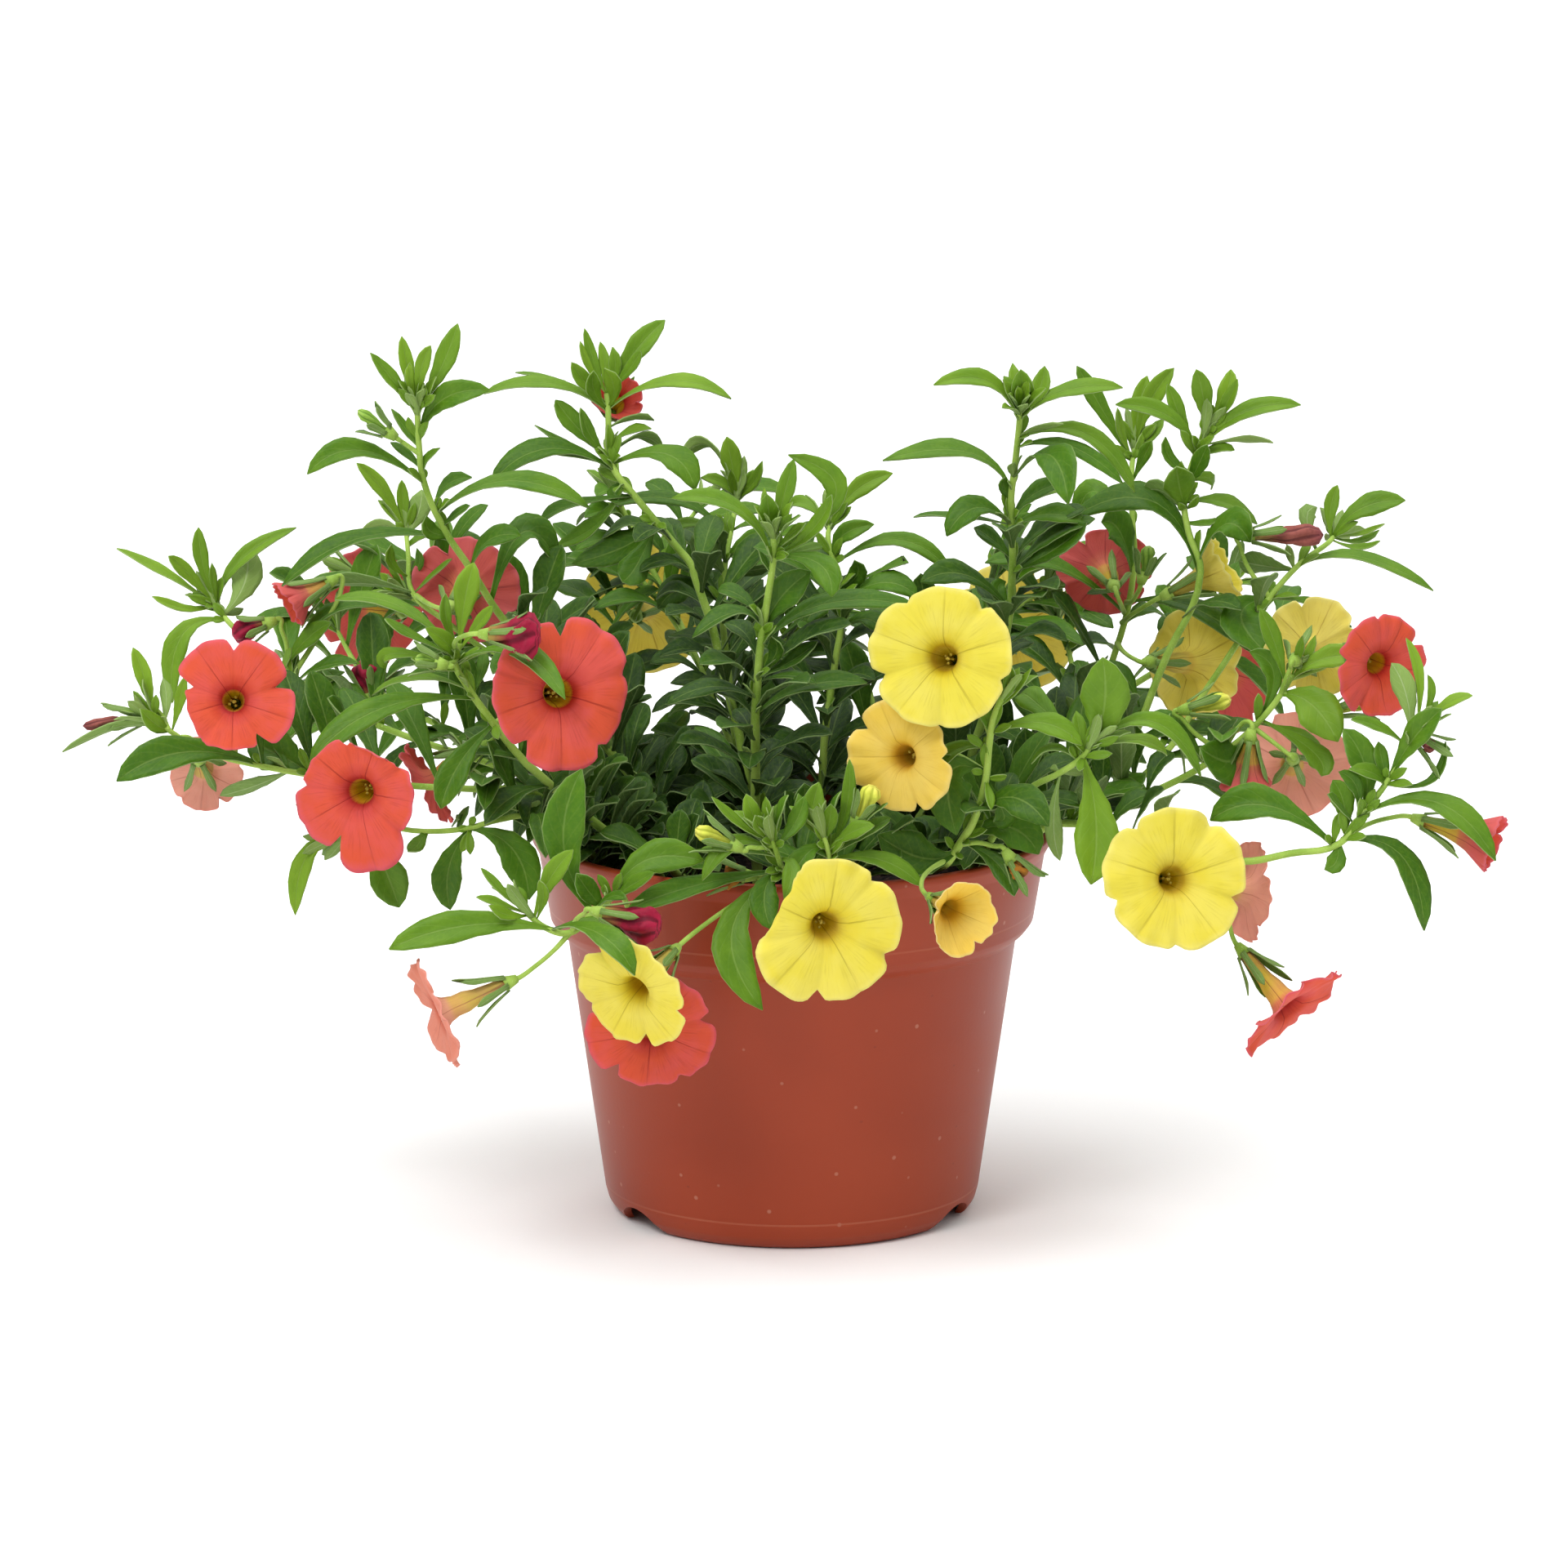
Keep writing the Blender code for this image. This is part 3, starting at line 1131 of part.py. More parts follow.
        Leaf(1728, 905, 1750, 882, 1765, 868, 5, 3.8, 0.5),
        Leaf(1662, 1012, 1640, 985, 1628, 972, -6, 3.4, 0.5))),
    Shoot("shoot_front_right", (28, -28), 1.45, (0.0, 0.0), (
        (1160, 1058, -46), (1190, 1010, -54), (1206, 960, -58), (1212, 905, -60), (1218, 875, -60),
        (1228, 852, -60)), (
        Leaf(1210, 945, 1152, 948, 1162, 1042, -8, 14.0, 0.9),
        Leaf(1221, 900, 1275, 884, 1326, 912, -3, 7.6, 0.7),
        Leaf(1228, 862, 1236, 838, 1236, 814, -3, 4.4, 0.7),
        Leaf(1214, 896, 1206, 872, 1196, 850, 2, 4.8, 0.7),
        Leaf(1209, 916, 1168, 918, 1118, 968, 5, 6.4, 0.5),
        Leaf(1198, 998, 1240, 975, 1284, 1012, 3, 9.6, 0.7),
        Leaf(1186, 1030, 1235, 1012, 1272, 1046, -4, 10.0, 0.75),
        Leaf(1185, 1035, 1222, 1058, 1242, 1097, -8, 5.6, 0.75),
        Leaf(1175, 1046, 1130, 1050, 1075, 1022, -2, 11.0, 0.8),
        Leaf(1222, 868, 1240, 848, 1262, 818, -1, 3.4, 0.5),
        Leaf(1207, 952, 1230, 1000, 1215, 1000, 4, 7.0, 0.6))),
    Shoot("shoot_right_front", (40, -22), 1.25, (0.05, 0.45), (
        (1222, 1015, -42), (1262, 965, -52), (1300, 945, -58), (1326, 926, -60), (1338, 910, -60)), (
        Leaf(1337, 916, 1352, 868, 1350, 806, -4, 17.0, 0.95),
        Leaf(1327, 930, 1342, 1004, 1336, 1083, -8, 15.0, 0.95),
        Leaf(1334, 920, 1410, 882, 1474, 951, 2, 7.4, 0.55),
        Leaf(1328, 925, 1322, 895, 1318, 870, 3, 5.0, 0.5),
        Leaf(1300, 946, 1290, 1005, 1298, 1052, 6, 5.6, -0.5),
        Leaf(1330, 922, 1270, 860, 1250, 850, 6, 10.0, 0.6),
        Leaf(1338, 920, 1395, 905, 1430, 925, 7, 7.0, 0.4),
        Leaf(1322, 932, 1290, 915, 1262, 935, 5, 4.6, 0.4))),
    Shoot("shoot_front_centre", (4, -34), 1.15, (0.0, 0.0), (
        (962, 1082, -58), (958, 1062, -66), (950, 1042, -70), (942, 1022, -71)), (
        Leaf(941, 1028, 925, 1003, 914, 973, -2, 5.8, 0.9),
        Leaf(945, 1030, 947, 1008, 952, 984, 3, 5.4, 0.85),
        Leaf(940, 1034, 906, 1008, 873, 975, -2, 3.4, 0.6),
        Leaf(948, 1052, 900, 1030, 859, 1078, -6, 6.6, 0.5),
        Leaf(950, 1036, 972, 1010, 985, 975, 3, 6.2, 0.8),
        Leaf(950, 1054, 970, 1062, 960, 1102, -5, 6.4, 0.7),
        Leaf(952, 1048, 900, 1040, 855, 1042, 3, 4.4, 0.4),
        Leaf(956, 1066, 850, 1084, 768, 1114, -6, 7.6, 0.7),
        Leaf(954, 1070, 896, 1140, 934, 1236, -16, 12.0, 0.85),
        Leaf(956, 1064, 936, 1092, 945, 1138, -8, 9.4, 0.8),
        Leaf(944, 1026, 930, 1012, 926, 1000, -6, 4.2, 0.9))),
    Shoot("shoot_front_tip", (14, -38), 1.1, (0.0, 0.0), (
        (1012, 1078, -60), (1018, 1055, -66), (1012, 1035, -68), (1006, 1018, -68)), (
        Leaf(1005, 1024, 996, 995, 1003, 958, 3, 7.4, 0.85),
        Leaf(1009, 1026, 1016, 1004, 1017, 985, -2, 5.4, 0.8),
        Leaf(1003, 1028, 988, 1002, 978, 972, 0, 5.6, 0.8),
        Leaf(1015, 1042, 1040, 1020, 1070, 1010, -3, 6.0, 0.6),
        Leaf(1012, 1040, 985, 1048, 962, 1100, -6, 8.0, 0.7),
        Leaf(1018, 1050, 1060, 1018, 1090, 1000, 4, 5.4, 0.5),
        Leaf(1018, 1052, 1078, 1052, 1130, 1085, -4, 7.0, 0.6),
        Leaf(1014, 1060, 1010, 1040, 990, 1040, -5, 5.0, 0.6),
        Leaf(1018, 1050, 1036, 990, 1040, 930, 3, 4.6, 0.6))),
    Shoot("shoot_front_left", (-22, -34), 1.35, (0.0, 0.0), (
        (806, 1062, -54), (760, 1090, -66), (722, 1122, -72), (698, 1142, -74), (668, 1136, -73),
        (645, 1118, -72)), (
        Leaf(682, 1144, 575, 1132, 476, 1162, -5, 11.0, 0.75),
        Leaf(680, 1138, 742, 1136, 784, 1198, -12, 9.0, 0.65),
        Leaf(655, 1122, 672, 1078, 701, 1041, -3, 7.0, 0.8),
        Leaf(645, 1116, 614, 1090, 590, 1062, 2, 3.2, 0.5),
        Leaf(643, 1120, 612, 1106, 584, 1097, -2, 3.4, 0.5),
        Leaf(648, 1122, 622, 1120, 600, 1108, -6, 4.8, 0.7),
        Leaf(648, 1115, 625, 1095, 602, 1086, 5, 3.2, 0.5),
        Leaf(752, 1095, 792, 1052, 862, 1054, 0, 9.8, 0.75),
        Leaf(728, 1116, 690, 1035, 712, 942, 2, 12.4, 0.9),
        Leaf(735, 1112, 720, 1090, 706, 1070, -4, 6.4, 0.8),
        Leaf(745, 1105, 770, 1085, 800, 1068, -6, 5.0, 0.6),
        Leaf(722, 1122, 745, 1098, 765, 1100, -8, 4.0, 0.5),
        Leaf(655, 1128, 665, 1100, 660, 1080, -6, 4.0, 0.7))),
    Shoot("shoot_back_left", (-26, 34), 1.3, (0.1, 0.98), (
        (760, 930, 48), (640, 820, 62), (540, 745, 74), (470, 712, 80), (430, 700, 82)),
        (), 0.0, ((0.3, 60.0, 42.0), (0.55, 200.0, 34.0), (0.72, 100.0, 30.0))),
    Shoot("shoot_back_middle", (-4, 40), 1.3, (0.1, 0.98), (
        (900, 920, 50), (850, 800, 64), (800, 700, 74), (765, 630, 79), (752, 600, 80)),
        (), 0.0, ((0.3, 20.0, 40.0), (0.5, 130.0, 34.0), (0.7, 60.0, 28.0))),
    Shoot("shoot_back_right", (20, 36), 1.3, (0.1, 0.98), (
        (1060, 920, 48), (1150, 820, 64), (1215, 740, 74), (1262, 690, 80), (1285, 668, 82)),
        (), 0.0, ((0.3, 150.0, 42.0), (0.55, 10.0, 34.0), (0.72, 80.0, 30.0))),
    Shoot("shoot_back_far_right", (40, 24), 1.25, (0.1, 0.98), (
        (1240, 940, 36), (1370, 850, 48), (1480, 790, 58), (1560, 770, 64), (1600, 768, 66)),
        (), 0.0, ((0.35, 100.0, 40.0), (0.65, 60.0, 32.0))),
    Shoot("shoot_back_far_left", (-44, 18), 1.25, (0.1, 0.98), (
        (650, 950, 32), (520, 880, 44), (420, 850, 52), (350, 832, 56), (322, 825, 58)),
        (), 0.0, ((0.35, 80.0, 40.0), (0.65, 120.0, 32.0))),
)

FLOWERS: tuple[Flower, ...] = (
    Flower("corolla_yellow_top", Hue.YELLOW, Form.OPEN, "shoot_front_right", 1212, 902,
           1152, 805, -66, (-0.22, 0.02, 1.0), 33.5, 19.0),
    Flower("corolla_amber", Hue.AMBER, Form.OPEN, "shoot_front_right", 1208, 945,
           1100, 928, -64, (-0.5, -0.1, 0.85), 27.0, 17.0),
    Flower("corolla_yellow_front", Hue.YELLOW, Form.OPEN, "shoot_front_tip", 1016, 1058,
           1014, 1138, -92, (0.2, -0.2, 1.0), 34.0, 19.0),
    Flower("corolla_yellow_wilting", Hue.AMBER, Form.FUNNEL, "shoot_front_right", 1166, 1052,
           1182, 1126, -84, (0.55, -0.35, 0.75), 18.0, 12.0),
    Flower("corolla_yellow_right", Hue.YELLOW, Form.OPEN, "shoot_right_trailing", 1430, 1040,
           1440, 1077, -76, (0.18, 0.0, 1.0), 33.5, 19.0),
    Flower("corolla_yellow_left", Hue.YELLOW, Form.OPEN, "shoot_front_centre", 958, 1072,
           772, 1218, -92, (-0.5, -0.5, 0.7), 28.0, 18.0),
    Flower("corolla_yellow_side", Hue.YELLOW, Form.FUNNEL, "shoot_top_right_back", 1386, 760,
           1505, 692, 14, (0.85, 0.4, 0.15), 16.0, 15.0),
    Flower("corolla_yellow_back", Hue.YELLOW, Form.OPEN, "shoot_top_right_back", 1372, 785,
           1465, 812, 16, (0.62, 0.0, -0.78), 27.0, 18.0),
    Flower("corolla_yellow_hidden", Hue.YELLOW, Form.OPEN, "shoot_right_outer", 1572, 850,
           1608, 792, -16, (0.3, 0.2, -0.9), 24.0, 16.0),
    Flower("corolla_coral_left", Hue.CORAL, Form.OPEN, "shoot_left_low", 290, 932,
           285, 857, -58, (0.02, 0.05, 1.0), 26.5, 16.0),
    Flower("corolla_coral_middle", Hue.CORAL, Form.OPEN, "shoot_left_front", 602, 884,
           688, 848, -62, (0.28, 0.0, 1.0), 35.5, 19.0),
    Flower("corolla_coral_low", Hue.CORAL, Form.OPEN, "shoot_left_low", 500, 962,
           436, 972, -66, (-0.28, -0.15, 0.95), 30.0, 18.0),
    Flower("corolla_peach_left", Hue.PEACH, Form.OPEN, "shoot_left_low", 245, 918,
           252, 948, -30, (0.05, -0.25, -1.0), 18.0, 14.0),
    Flower("corolla_red_top_left", Hue.CORAL, Form.OPEN, "shoot_left_back", 508, 728,
           572, 722, 32, (0.2, 0.25, -0.9), 27.0, 16.0),
    Flower("corolla_red_far_left", Hue.CORAL, Form.FUNNEL, "shoot_left_high", 358, 828,
           350, 742, -4, (-0.8, -0.45, 0.2), 12.5, 11.0),
    Flower("corolla_red_fold_left", Hue.CORAL, Form.OPEN, "shoot_left_front", 602, 886,
           520, 962, -36, (-0.75, -0.5, -0.1), 23.0, 15.0),
    Flower("corolla_peach_hanging", Hue.PEACH, Form.OPEN, "shoot_front_left", 698, 1142,
           530, 1244, -78, (-0.9, -0.4, 0.12), 28.0, 18.0),
    Flower("corolla_red_front", Hue.CORAL, Form.OPEN, "shoot_front_left", 760, 1090,
           797, 1264, -74, (-0.05, -0.35, 0.95), 30.0, 15.0),
    Flower("corolla_red_right_back", Hue.CORAL, Form.OPEN, "shoot_top_right_back", 1386, 755,
           1352, 698, 30, (-0.1, 0.25, -0.9), 23.0, 15.0),
    Flower("corolla_red_right", Hue.CORAL, Form.OPEN, "shoot_right_outer", 1580, 832,
           1694, 816, -40, (0.5, -0.25, 0.8), 26.0, 15.0),
    Flower("corolla_peach_right", Hue.PEACH, Form.OPEN, "shoot_right_outer", 1535, 890,
           1582, 938, -16, (0.05, -0.1, -1.0), 27.0, 16.0),
    Flower("corolla_red_fold_right", Hue.CORAL, Form.FUNNEL, "shoot_right_outer", 1500, 921,
           1524, 962, -30, (-0.1, -0.95, -0.3), 13.0, 11.0),
    Flower("corolla_salmon_right", Hue.PEACH, Form.OPEN, "shoot_right_trailing", 1400, 1034,
           1533, 1092, -40, (0.9, -0.1, -0.35), 25.0, 17.0),
    Flower("corolla_coral_hanging", Hue.CORAL, Form.OPEN, "shoot_right_trailing", 1505, 1054,
           1584, 1241, -64, (0.58, -0.72, 0.3), 31.0, 18.0),
    Flower("corolla_coral_far_right", Hue.CORAL, Form.FUNNEL, "shoot_right_trailing", 1648, 1028,
           1835, 1035, -50, (0.93, -0.3, 0.15), 14.0, 18.0),
    Flower("corolla_red_top", Hue.CORAL, Form.FUNNEL, "shoot_top_middle", 745, 525,
           756, 484, 32, (0.15, 0.35, 0.9), 13.0, 11.0),
    Flower("bud_red_middle", Hue.CORAL, Form.CLOSED, "shoot_left_front", 563, 800,
           662, 780, -64, (0.95, -0.05, 0.2), 9.6, 11.5),
    Flower("bud_red_front", Hue.CORAL, Form.CLOSED, "shoot_front_left", 700, 1141,
           810, 1138, -86, (0.93, -0.25, 0.2), 8.0, 14.0),
    Flower("corolla_coral_back", Hue.CORAL, Form.OPEN, "shoot_back_left", 470, 712,
           455, 742, 92, (-0.45, 0.1, -0.9), 31.0, 18.0),
    Flower("corolla_yellow_back_left", Hue.YELLOW, Form.OPEN, "shoot_back_middle", 800, 700,
           790, 742, 95, (0.1, 0.15, -1.0), 33.0, 19.0),
    Flower("corolla_yellow_back_right", Hue.YELLOW, Form.OPEN, "shoot_back_right", 1215, 740,
           1240, 770, 94, (0.2, 0.1, -1.0), 33.0, 19.0),
    Flower("corolla_coral_back_right", Hue.CORAL, Form.OPEN, "shoot_back_far_right", 1480, 790,
           1500, 820, 84, (0.5, 0.05, -0.9), 31.0, 18.0),
)

BUDS: tuple[Bud, ...] = (
    Bud(Hue.YELLOW, "shoot_front_centre", 946, 1034, 896, 1034, 851, 1015, -2, 3.4),
    Bud(Hue.YELLOW, "shoot_front_tip", 1018, 1050, 1050, 1002, 1072, 962, 0, 4.2),
    Bud(Hue.YELLOW, "shoot_right_outer", 1575, 850, 1638, 870, 1692, 854, 0, 3.6),
    Bud(Hue.YELLOW, "shoot_right_outer", 1502, 920, 1456, 868, 1508, 856, 2, 3.6),
    Bud(Hue.CORAL, "shoot_left_high", 398, 860, 452, 850, 443, 812, 4, 6.0),
    Bud(Hue.CORAL, "shoot_left_high", 350, 822, 326, 764, 284, 778, 2, 5.4),
    Bud(Hue.BROWN, "shoot_right_high", 1556, 732, 1533, 656, 1621, 655, 0, 5.0),
    Bud(Hue.BROWN, "shoot_left_low", 206, 893, 172, 879, 101, 889, 2, 2.6),
    Bud(Hue.BROWN, "shoot_right_trailing", 1728, 905, 1738, 904, 1757, 918, 3, 3.0),
    Bud(Hue.DRIED, "shoot_front_centre", 956, 1064, 912, 1072, 886, 1070, 4, 5.4),
    Bud(Hue.DRIED, "shoot_front_right", 1180, 1036, 1238, 1052, 1254, 1074, -6, 5.0),
    Bud(Hue.GREEN, "shoot_top_left", 512, 556, 474, 528, 438, 502, -2, 2.4),
    Bud(Hue.GREEN, "shoot_left_front", 566, 806, 535, 812, 508, 806, -8, 2.6),
    Bud(Hue.GREEN, "shoot_top_right_back", 1388, 740, 1400, 702, 1408, 668, -14, 3.0),
    Bud(Hue.GREEN, "shoot_top_right_back", 1384, 745, 1380, 712, 1378, 690, 10, 2.4),
)

# The dense part of the canopy, in pixels. Leaves that no pixel fixes stay inside it, seen from the front.
CANOPY: tuple[tuple[float, float], ...] = (
    (330, 700), (430, 650), (520, 640), (600, 590), (700, 570), (820, 575), (900, 590), (1000, 610),
    (1060, 690), (1140, 700), (1200, 690), (1250, 590), (1330, 560), (1440, 540), (1520, 620),
    (1620, 700), (1690, 790), (1720, 880), (1640, 1000), (1480, 1000), (1300, 1000), (1230, 1070),
    (1000, 1110), (800, 1085), (700, 1075), (600, 1020), (500, 960), (380, 960), (290, 900), (250, 800),
)


def revolved(profile: tuple[tuple[float, float], ...], sides: int) -> Shell:
    """A closed body turned about the pot's axis.

    Args:
        profile: radius and height of its corners, from the axis below round to the axis above.
        sides: how many sides it has.

    Returns:
        The body.
    """
    points = [Vector((0.0, 0.0, profile[0][1]))]
    for radius, height in profile[1:-1]:
        for step in range(sides):
            turn = math.tau * (step + 0.5) / sides
            points.append(Vector((radius * math.cos(turn), radius * math.sin(turn), height)))
    points.append(Vector((0.0, 0.0, profile[-1][1])))
    faces = []
    last = len(points) - 1
    for step in range(sides):
        after = (step + 1) % sides
        faces.append((0, 1 + after, 1 + step))
        for ring in range(len(profile) - 3):
            low = 1 + ring * sides
            faces.append((low + step, low + after, low + sides + after, low + sides + step))
        faces.append((last - sides + step, last - sides + after, last))
    return Shell(points, faces).outward()


POT_PROFILE = (
    (0.0, 6.2), (41.2, 6.2), (40.9, 3.2), (39.6, 1.2), (38.7, 0.0), (40.2, 0.0),
    (41.4, 0.9), (42.6, 2.6), (43.3, 5.2), (51.85, 64.9), (54.3, 66.8), (55.7, 68.7),
    (58.3, 84.5), (60.0, 87.5), (60.0, 88.9), (59.5, 89.3), (58.2, 89.3), (57.0, 84.5),
    (54.4, 70.1), (50.6, 65.8), (42.3, 9.6), (41.0, 7.8), (0.0, 7.8),
)
SOIL_PROFILE = (
    (0.0, 8.1), (40.75, 8.1), (42.0, 9.9), (50.3, 66.0), (54.0, 70.2), (55.2, 76.8),
    (54.6, 77.6), (30.0, 78.7), (0.0, 79.2),
)
DRAIN_HOLES = 6
DRAIN_RADIUS = 4.0
DRAIN_CIRCLE = 28.0
DRAIN_LOW = 4.0
DRAIN_HIGH = 10.0
FOOT_NOTCHES = 3
NOTCH_TURN = math.radians(93.0)
NOTCH_RADIUS = 10.5
NOTCH_HEIGHT = 4.8
NOTCH_REACH = (35.5, 46.5)
LAYER_GAP = 0.05


def material(name: str, colour: tuple[float, float, float], rough: float) -> bpy.types.Material:
    """A plain material for a node.

    Args:
        name: its name.
        colour: its base colour.
        rough: its roughness.

    Returns:
        The material.
    """
    made = bpy.data.materials.new(name)
    made.use_nodes = True
    made.diffuse_color = (*colour, 1.0)
    shader = made.node_tree.nodes["Principled BSDF"]
    shader.inputs["Base Color"].default_value = (*colour, 1.0)
    shader.inputs["Roughness"].default_value = rough
    return made


def made_object(name: str, shells: list[Shell], helper: bool = False) -> bpy.types.Object:
    """An object of one or more shells.

    Args:
        name: its name.
        shells: the shells, in mm.
        helper: whether it only serves a modifier.

    Returns:
        The object.
    """
    mesh = bpy.data.meshes.new(name)
    bm = bmesh.new()
    for shell in shells:
        verts = [bm.verts.new(point * MM) for point in shell.points]
        for face in shell.faces:
            bm.faces.new([verts[index] for index in face])
    bm.to_mesh(mesh)
    bm.free()
    obj = bpy.data.objects.new(name, mesh)
    bpy.context.scene.collection.objects.link(obj)
    if helper:
        obj.hide_render = True
        obj.display_type = "WIRE"
    return obj


def boolean(obj: bpy.types.Object, other: bpy.types.Object, operation: str, solver: str = "EXACT") -> None:
    """Joins another object to this one or cuts it away."""
    change = obj.modifiers.new(other.name, "BOOLEAN")
    change.operation = operation
    change.solver = solver
    change.object = other


def build_pot(pot: Shell) -> None:
    """Makes the pot with its drain holes and the notches in its foot."""
    obj = made_object("pot", [pot])
    cutters = []
    for step in range(DRAIN_HOLES):
        turn = math.tau * (step + 0.5) / DRAIN_HOLES
        middle = Vector((DRAIN_CIRCLE * math.cos(turn), DRAIN_CIRCLE * math.sin(turn), 0.0))
        line = [middle + Vector((0.0, 0.0, height)) for height in (DRAIN_LOW, DRAIN_HIGH)]
        cutters.append(tube(line, [DRAIN_RADIUS, DRAIN_RADIUS], 10))
    for step in range(FOOT_NOTCHES):
        turn = Matrix.Rotation(math.tau * step / FOOT_NOTCHES + NOTCH_TURN, 3, "Z")
        line = [turn @ Vector((reach, 0.0, NOTCH_HEIGHT - NOTCH_RADIUS)) for reach in NOTCH_REACH]
        cutters.append(tube(line, [NOTCH_RADIUS, NOTCH_RADIUS], 24))
    boolean(obj, made_object("pot_cuts", cutters, True), "DIFFERENCE")
    obj.data.materials.append(material("terracotta_plastic", (0.35, 0.08, 0.035), 0.45))


def build_soil() -> None:
    """Makes the soil that fills the pot up to the collar."""
    obj = made_object("potting_soil", [revolved(SOIL_PROFILE, POT_SIDES)])
    obj.data.materials.append(material("potting_soil", (0.012, 0.008, 0.006), 0.95))


def layers(items: list[Item]) -> list[list[Item]]:
    """The shells of one shoot in as few groups as it takes for none to touch another of its group."""
    groups: list[list[Item]] = []
    for item in items:
        wide = item.shell.grown(LAYER_GAP)
        low, high = corners(wide)
        tree = BVHTree.FromPolygons(wide.points, wide.faces)
        for group in groups:
            near = [
                other for other in group
                if all(low[axis] <= other.high[axis] and high[axis] >= other.low[axis] for axis in range(3))
            ]
            if not any(tree.overlap(other.tree) for other in near):
                group.append(item)
                break
        else:
            groups.append([item])
    return groups


def build_shoots(layout: Layout) -> None:
    """Makes every shoot: its stem joined with its leaves, its stalks, its calyces and its buds."""
    green = material("leafy_shoot", (0.09, 0.22, 0.03), 0.5)
    for shoot in SHOOTS:
        mine = [item for item in layout.items if item.owner == shoot.name]
        obj = made_object(shoot.name, [mine[0].shell])
        for index, group in enumerate(layers(mine[1:])):
            grown = made_object(f"{shoot.name}_growth_{index}", [item.shell for item in group], True)
            # The exact solver leaves open edges where a dozen leaves cross one another on a thin stem.
            boolean(obj, grown, "UNION", "MANIFOLD")
        obj.data.materials.append(green)


COLOURS = {
    Hue.YELLOW: (0.88, 0.7, 0.07),
    Hue.AMBER: (0.9, 0.5, 0.08),
    Hue.CORAL: (0.82, 0.14, 0.07),
    Hue.PEACH: (0.86, 0.36, 0.22),
}


def build_corollas(layout: Layout) -> None:
    """Makes the petals of every flower."""
    for bloom in layout.blooms:
        obj = made_object(bloom.flower.name, [trumpet(bloom)])
        obj.data.materials.append(material(bloom.flower.name, COLOURS[bloom.flower.hue], 0.5))


def main() -> None:
    """Builds the object."""
    for obj in list(bpy.data.objects):
        bpy.data.objects.remove(obj)
    pot = revolved(POT_PROFILE, POT_SIDES)
    layout = Layout(pot)
    layout.settle()
    build_pot(pot)
    build_soil()
    build_shoots(layout)
    build_corollas(layout)


main()
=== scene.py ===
"""The looks of a calibrachoa in a grower's pot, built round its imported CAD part."""

import logging
import math
from collections.abc import Callable
from collections.abc import Iterable
from dataclasses import dataclass
from dataclasses import field
from dataclasses import replace
from enum import Enum
from functools import partial

import bmesh
import bpy
from mathutils import Matrix
from mathutils import Vector
from mathutils import noise
from mathutils.bvhtree import BVHTree


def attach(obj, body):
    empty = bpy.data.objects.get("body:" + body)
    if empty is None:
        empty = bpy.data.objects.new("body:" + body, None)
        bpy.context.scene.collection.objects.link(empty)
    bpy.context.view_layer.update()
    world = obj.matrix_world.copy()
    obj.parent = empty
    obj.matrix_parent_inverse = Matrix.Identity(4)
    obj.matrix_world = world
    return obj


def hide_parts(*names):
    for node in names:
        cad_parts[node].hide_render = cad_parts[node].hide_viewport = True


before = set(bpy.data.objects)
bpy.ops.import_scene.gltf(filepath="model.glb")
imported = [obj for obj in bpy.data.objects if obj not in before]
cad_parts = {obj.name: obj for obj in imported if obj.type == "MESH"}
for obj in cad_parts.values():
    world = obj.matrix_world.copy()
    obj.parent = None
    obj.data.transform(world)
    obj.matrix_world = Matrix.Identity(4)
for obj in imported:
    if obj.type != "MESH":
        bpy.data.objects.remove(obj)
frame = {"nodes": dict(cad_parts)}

logging.basicConfig(level=logging.INFO, format="%(message)s")
LOG = logging.getLogger("calibrachoa")
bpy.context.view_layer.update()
MM = 0.001
# Sizes are in mm from here on, in the CAD's frame.
RIM_RADIUS = 60.0
RIM_HEIGHT = 89.3
SOIL_TOP = 79.2
SOIL_FALL = 1.6
SOIL_RADIUS = 54.0
SEAT = 0.3
SHORTEST_LEAF = 16.0
FILL_SPACING = 12.5
TWIG_SPACING = 10.5
# The length up to which a leaf is young, how near its node's surface is to its tip, and when points merge.
SMALL_LEAF = 12.0
NEAR = 0.02
MERGE = 0.004
GOLDEN = math.radians(137.5)
UP = Vector((0.0, 0.0, 1.0))
# The room for leaves that only show here.
BOX = ((-160.0, -96.0, 70.0), (156.0, 96.0, 206.0))
# How far a traced place may lie nearer or farther, and how a side branch may be turned, in degrees.
SHIFTS = (3.0, 6.0, 9.0, 12.0, 13.0, 15.0, 17.0)
BOTH_WAYS = (0.0,) + tuple(way * shift for shift in SHIFTS for way in (1.0, -1.0))
SWINGS = (0.0, 12.0, -12.0, 24.0, -24.0)
# How far along a stem a stalk may start, how its middle may be pushed, and how a calyx leans and shrinks.
STALK_STARTS = (0.0, 5.0, -5.0, 10.0, -10.0, 16.0, -16.0, 24.0, -24.0)
STALK_PUSHES = (Vector(), Vector((0, 0, 5)), Vector((0, -6, 0)), Vector((0, 6, 0)), Vector((0, 0, -6)))
SEPAL_TRIES = ((0.42, 1.0), (0.62, 1.0), (0.42, 0.75), (0.9, 0.9), (0.6, 0.6), (1.1, 0.7), (0.5, 0.4))
POT_PROFILE = (
    (0.0, 6.2), (41.2, 6.2), (40.9, 3.2), (39.6, 1.2), (38.7, 0.0), (40.2, 0.0), (41.4, 0.9), (42.6, 2.6),
    (43.3, 5.2), (51.85, 64.9), (54.3, 66.8), (55.7, 68.7), (58.3, 84.5), (60.0, 87.5), (60.0, 88.9),
    (59.5, 89.3), (58.2, 89.3), (57.0, 84.5), (54.4, 70.1), (50.6, 65.8), (42.3, 9.6), (41.0, 7.8),
    (0.0, 7.8),
)
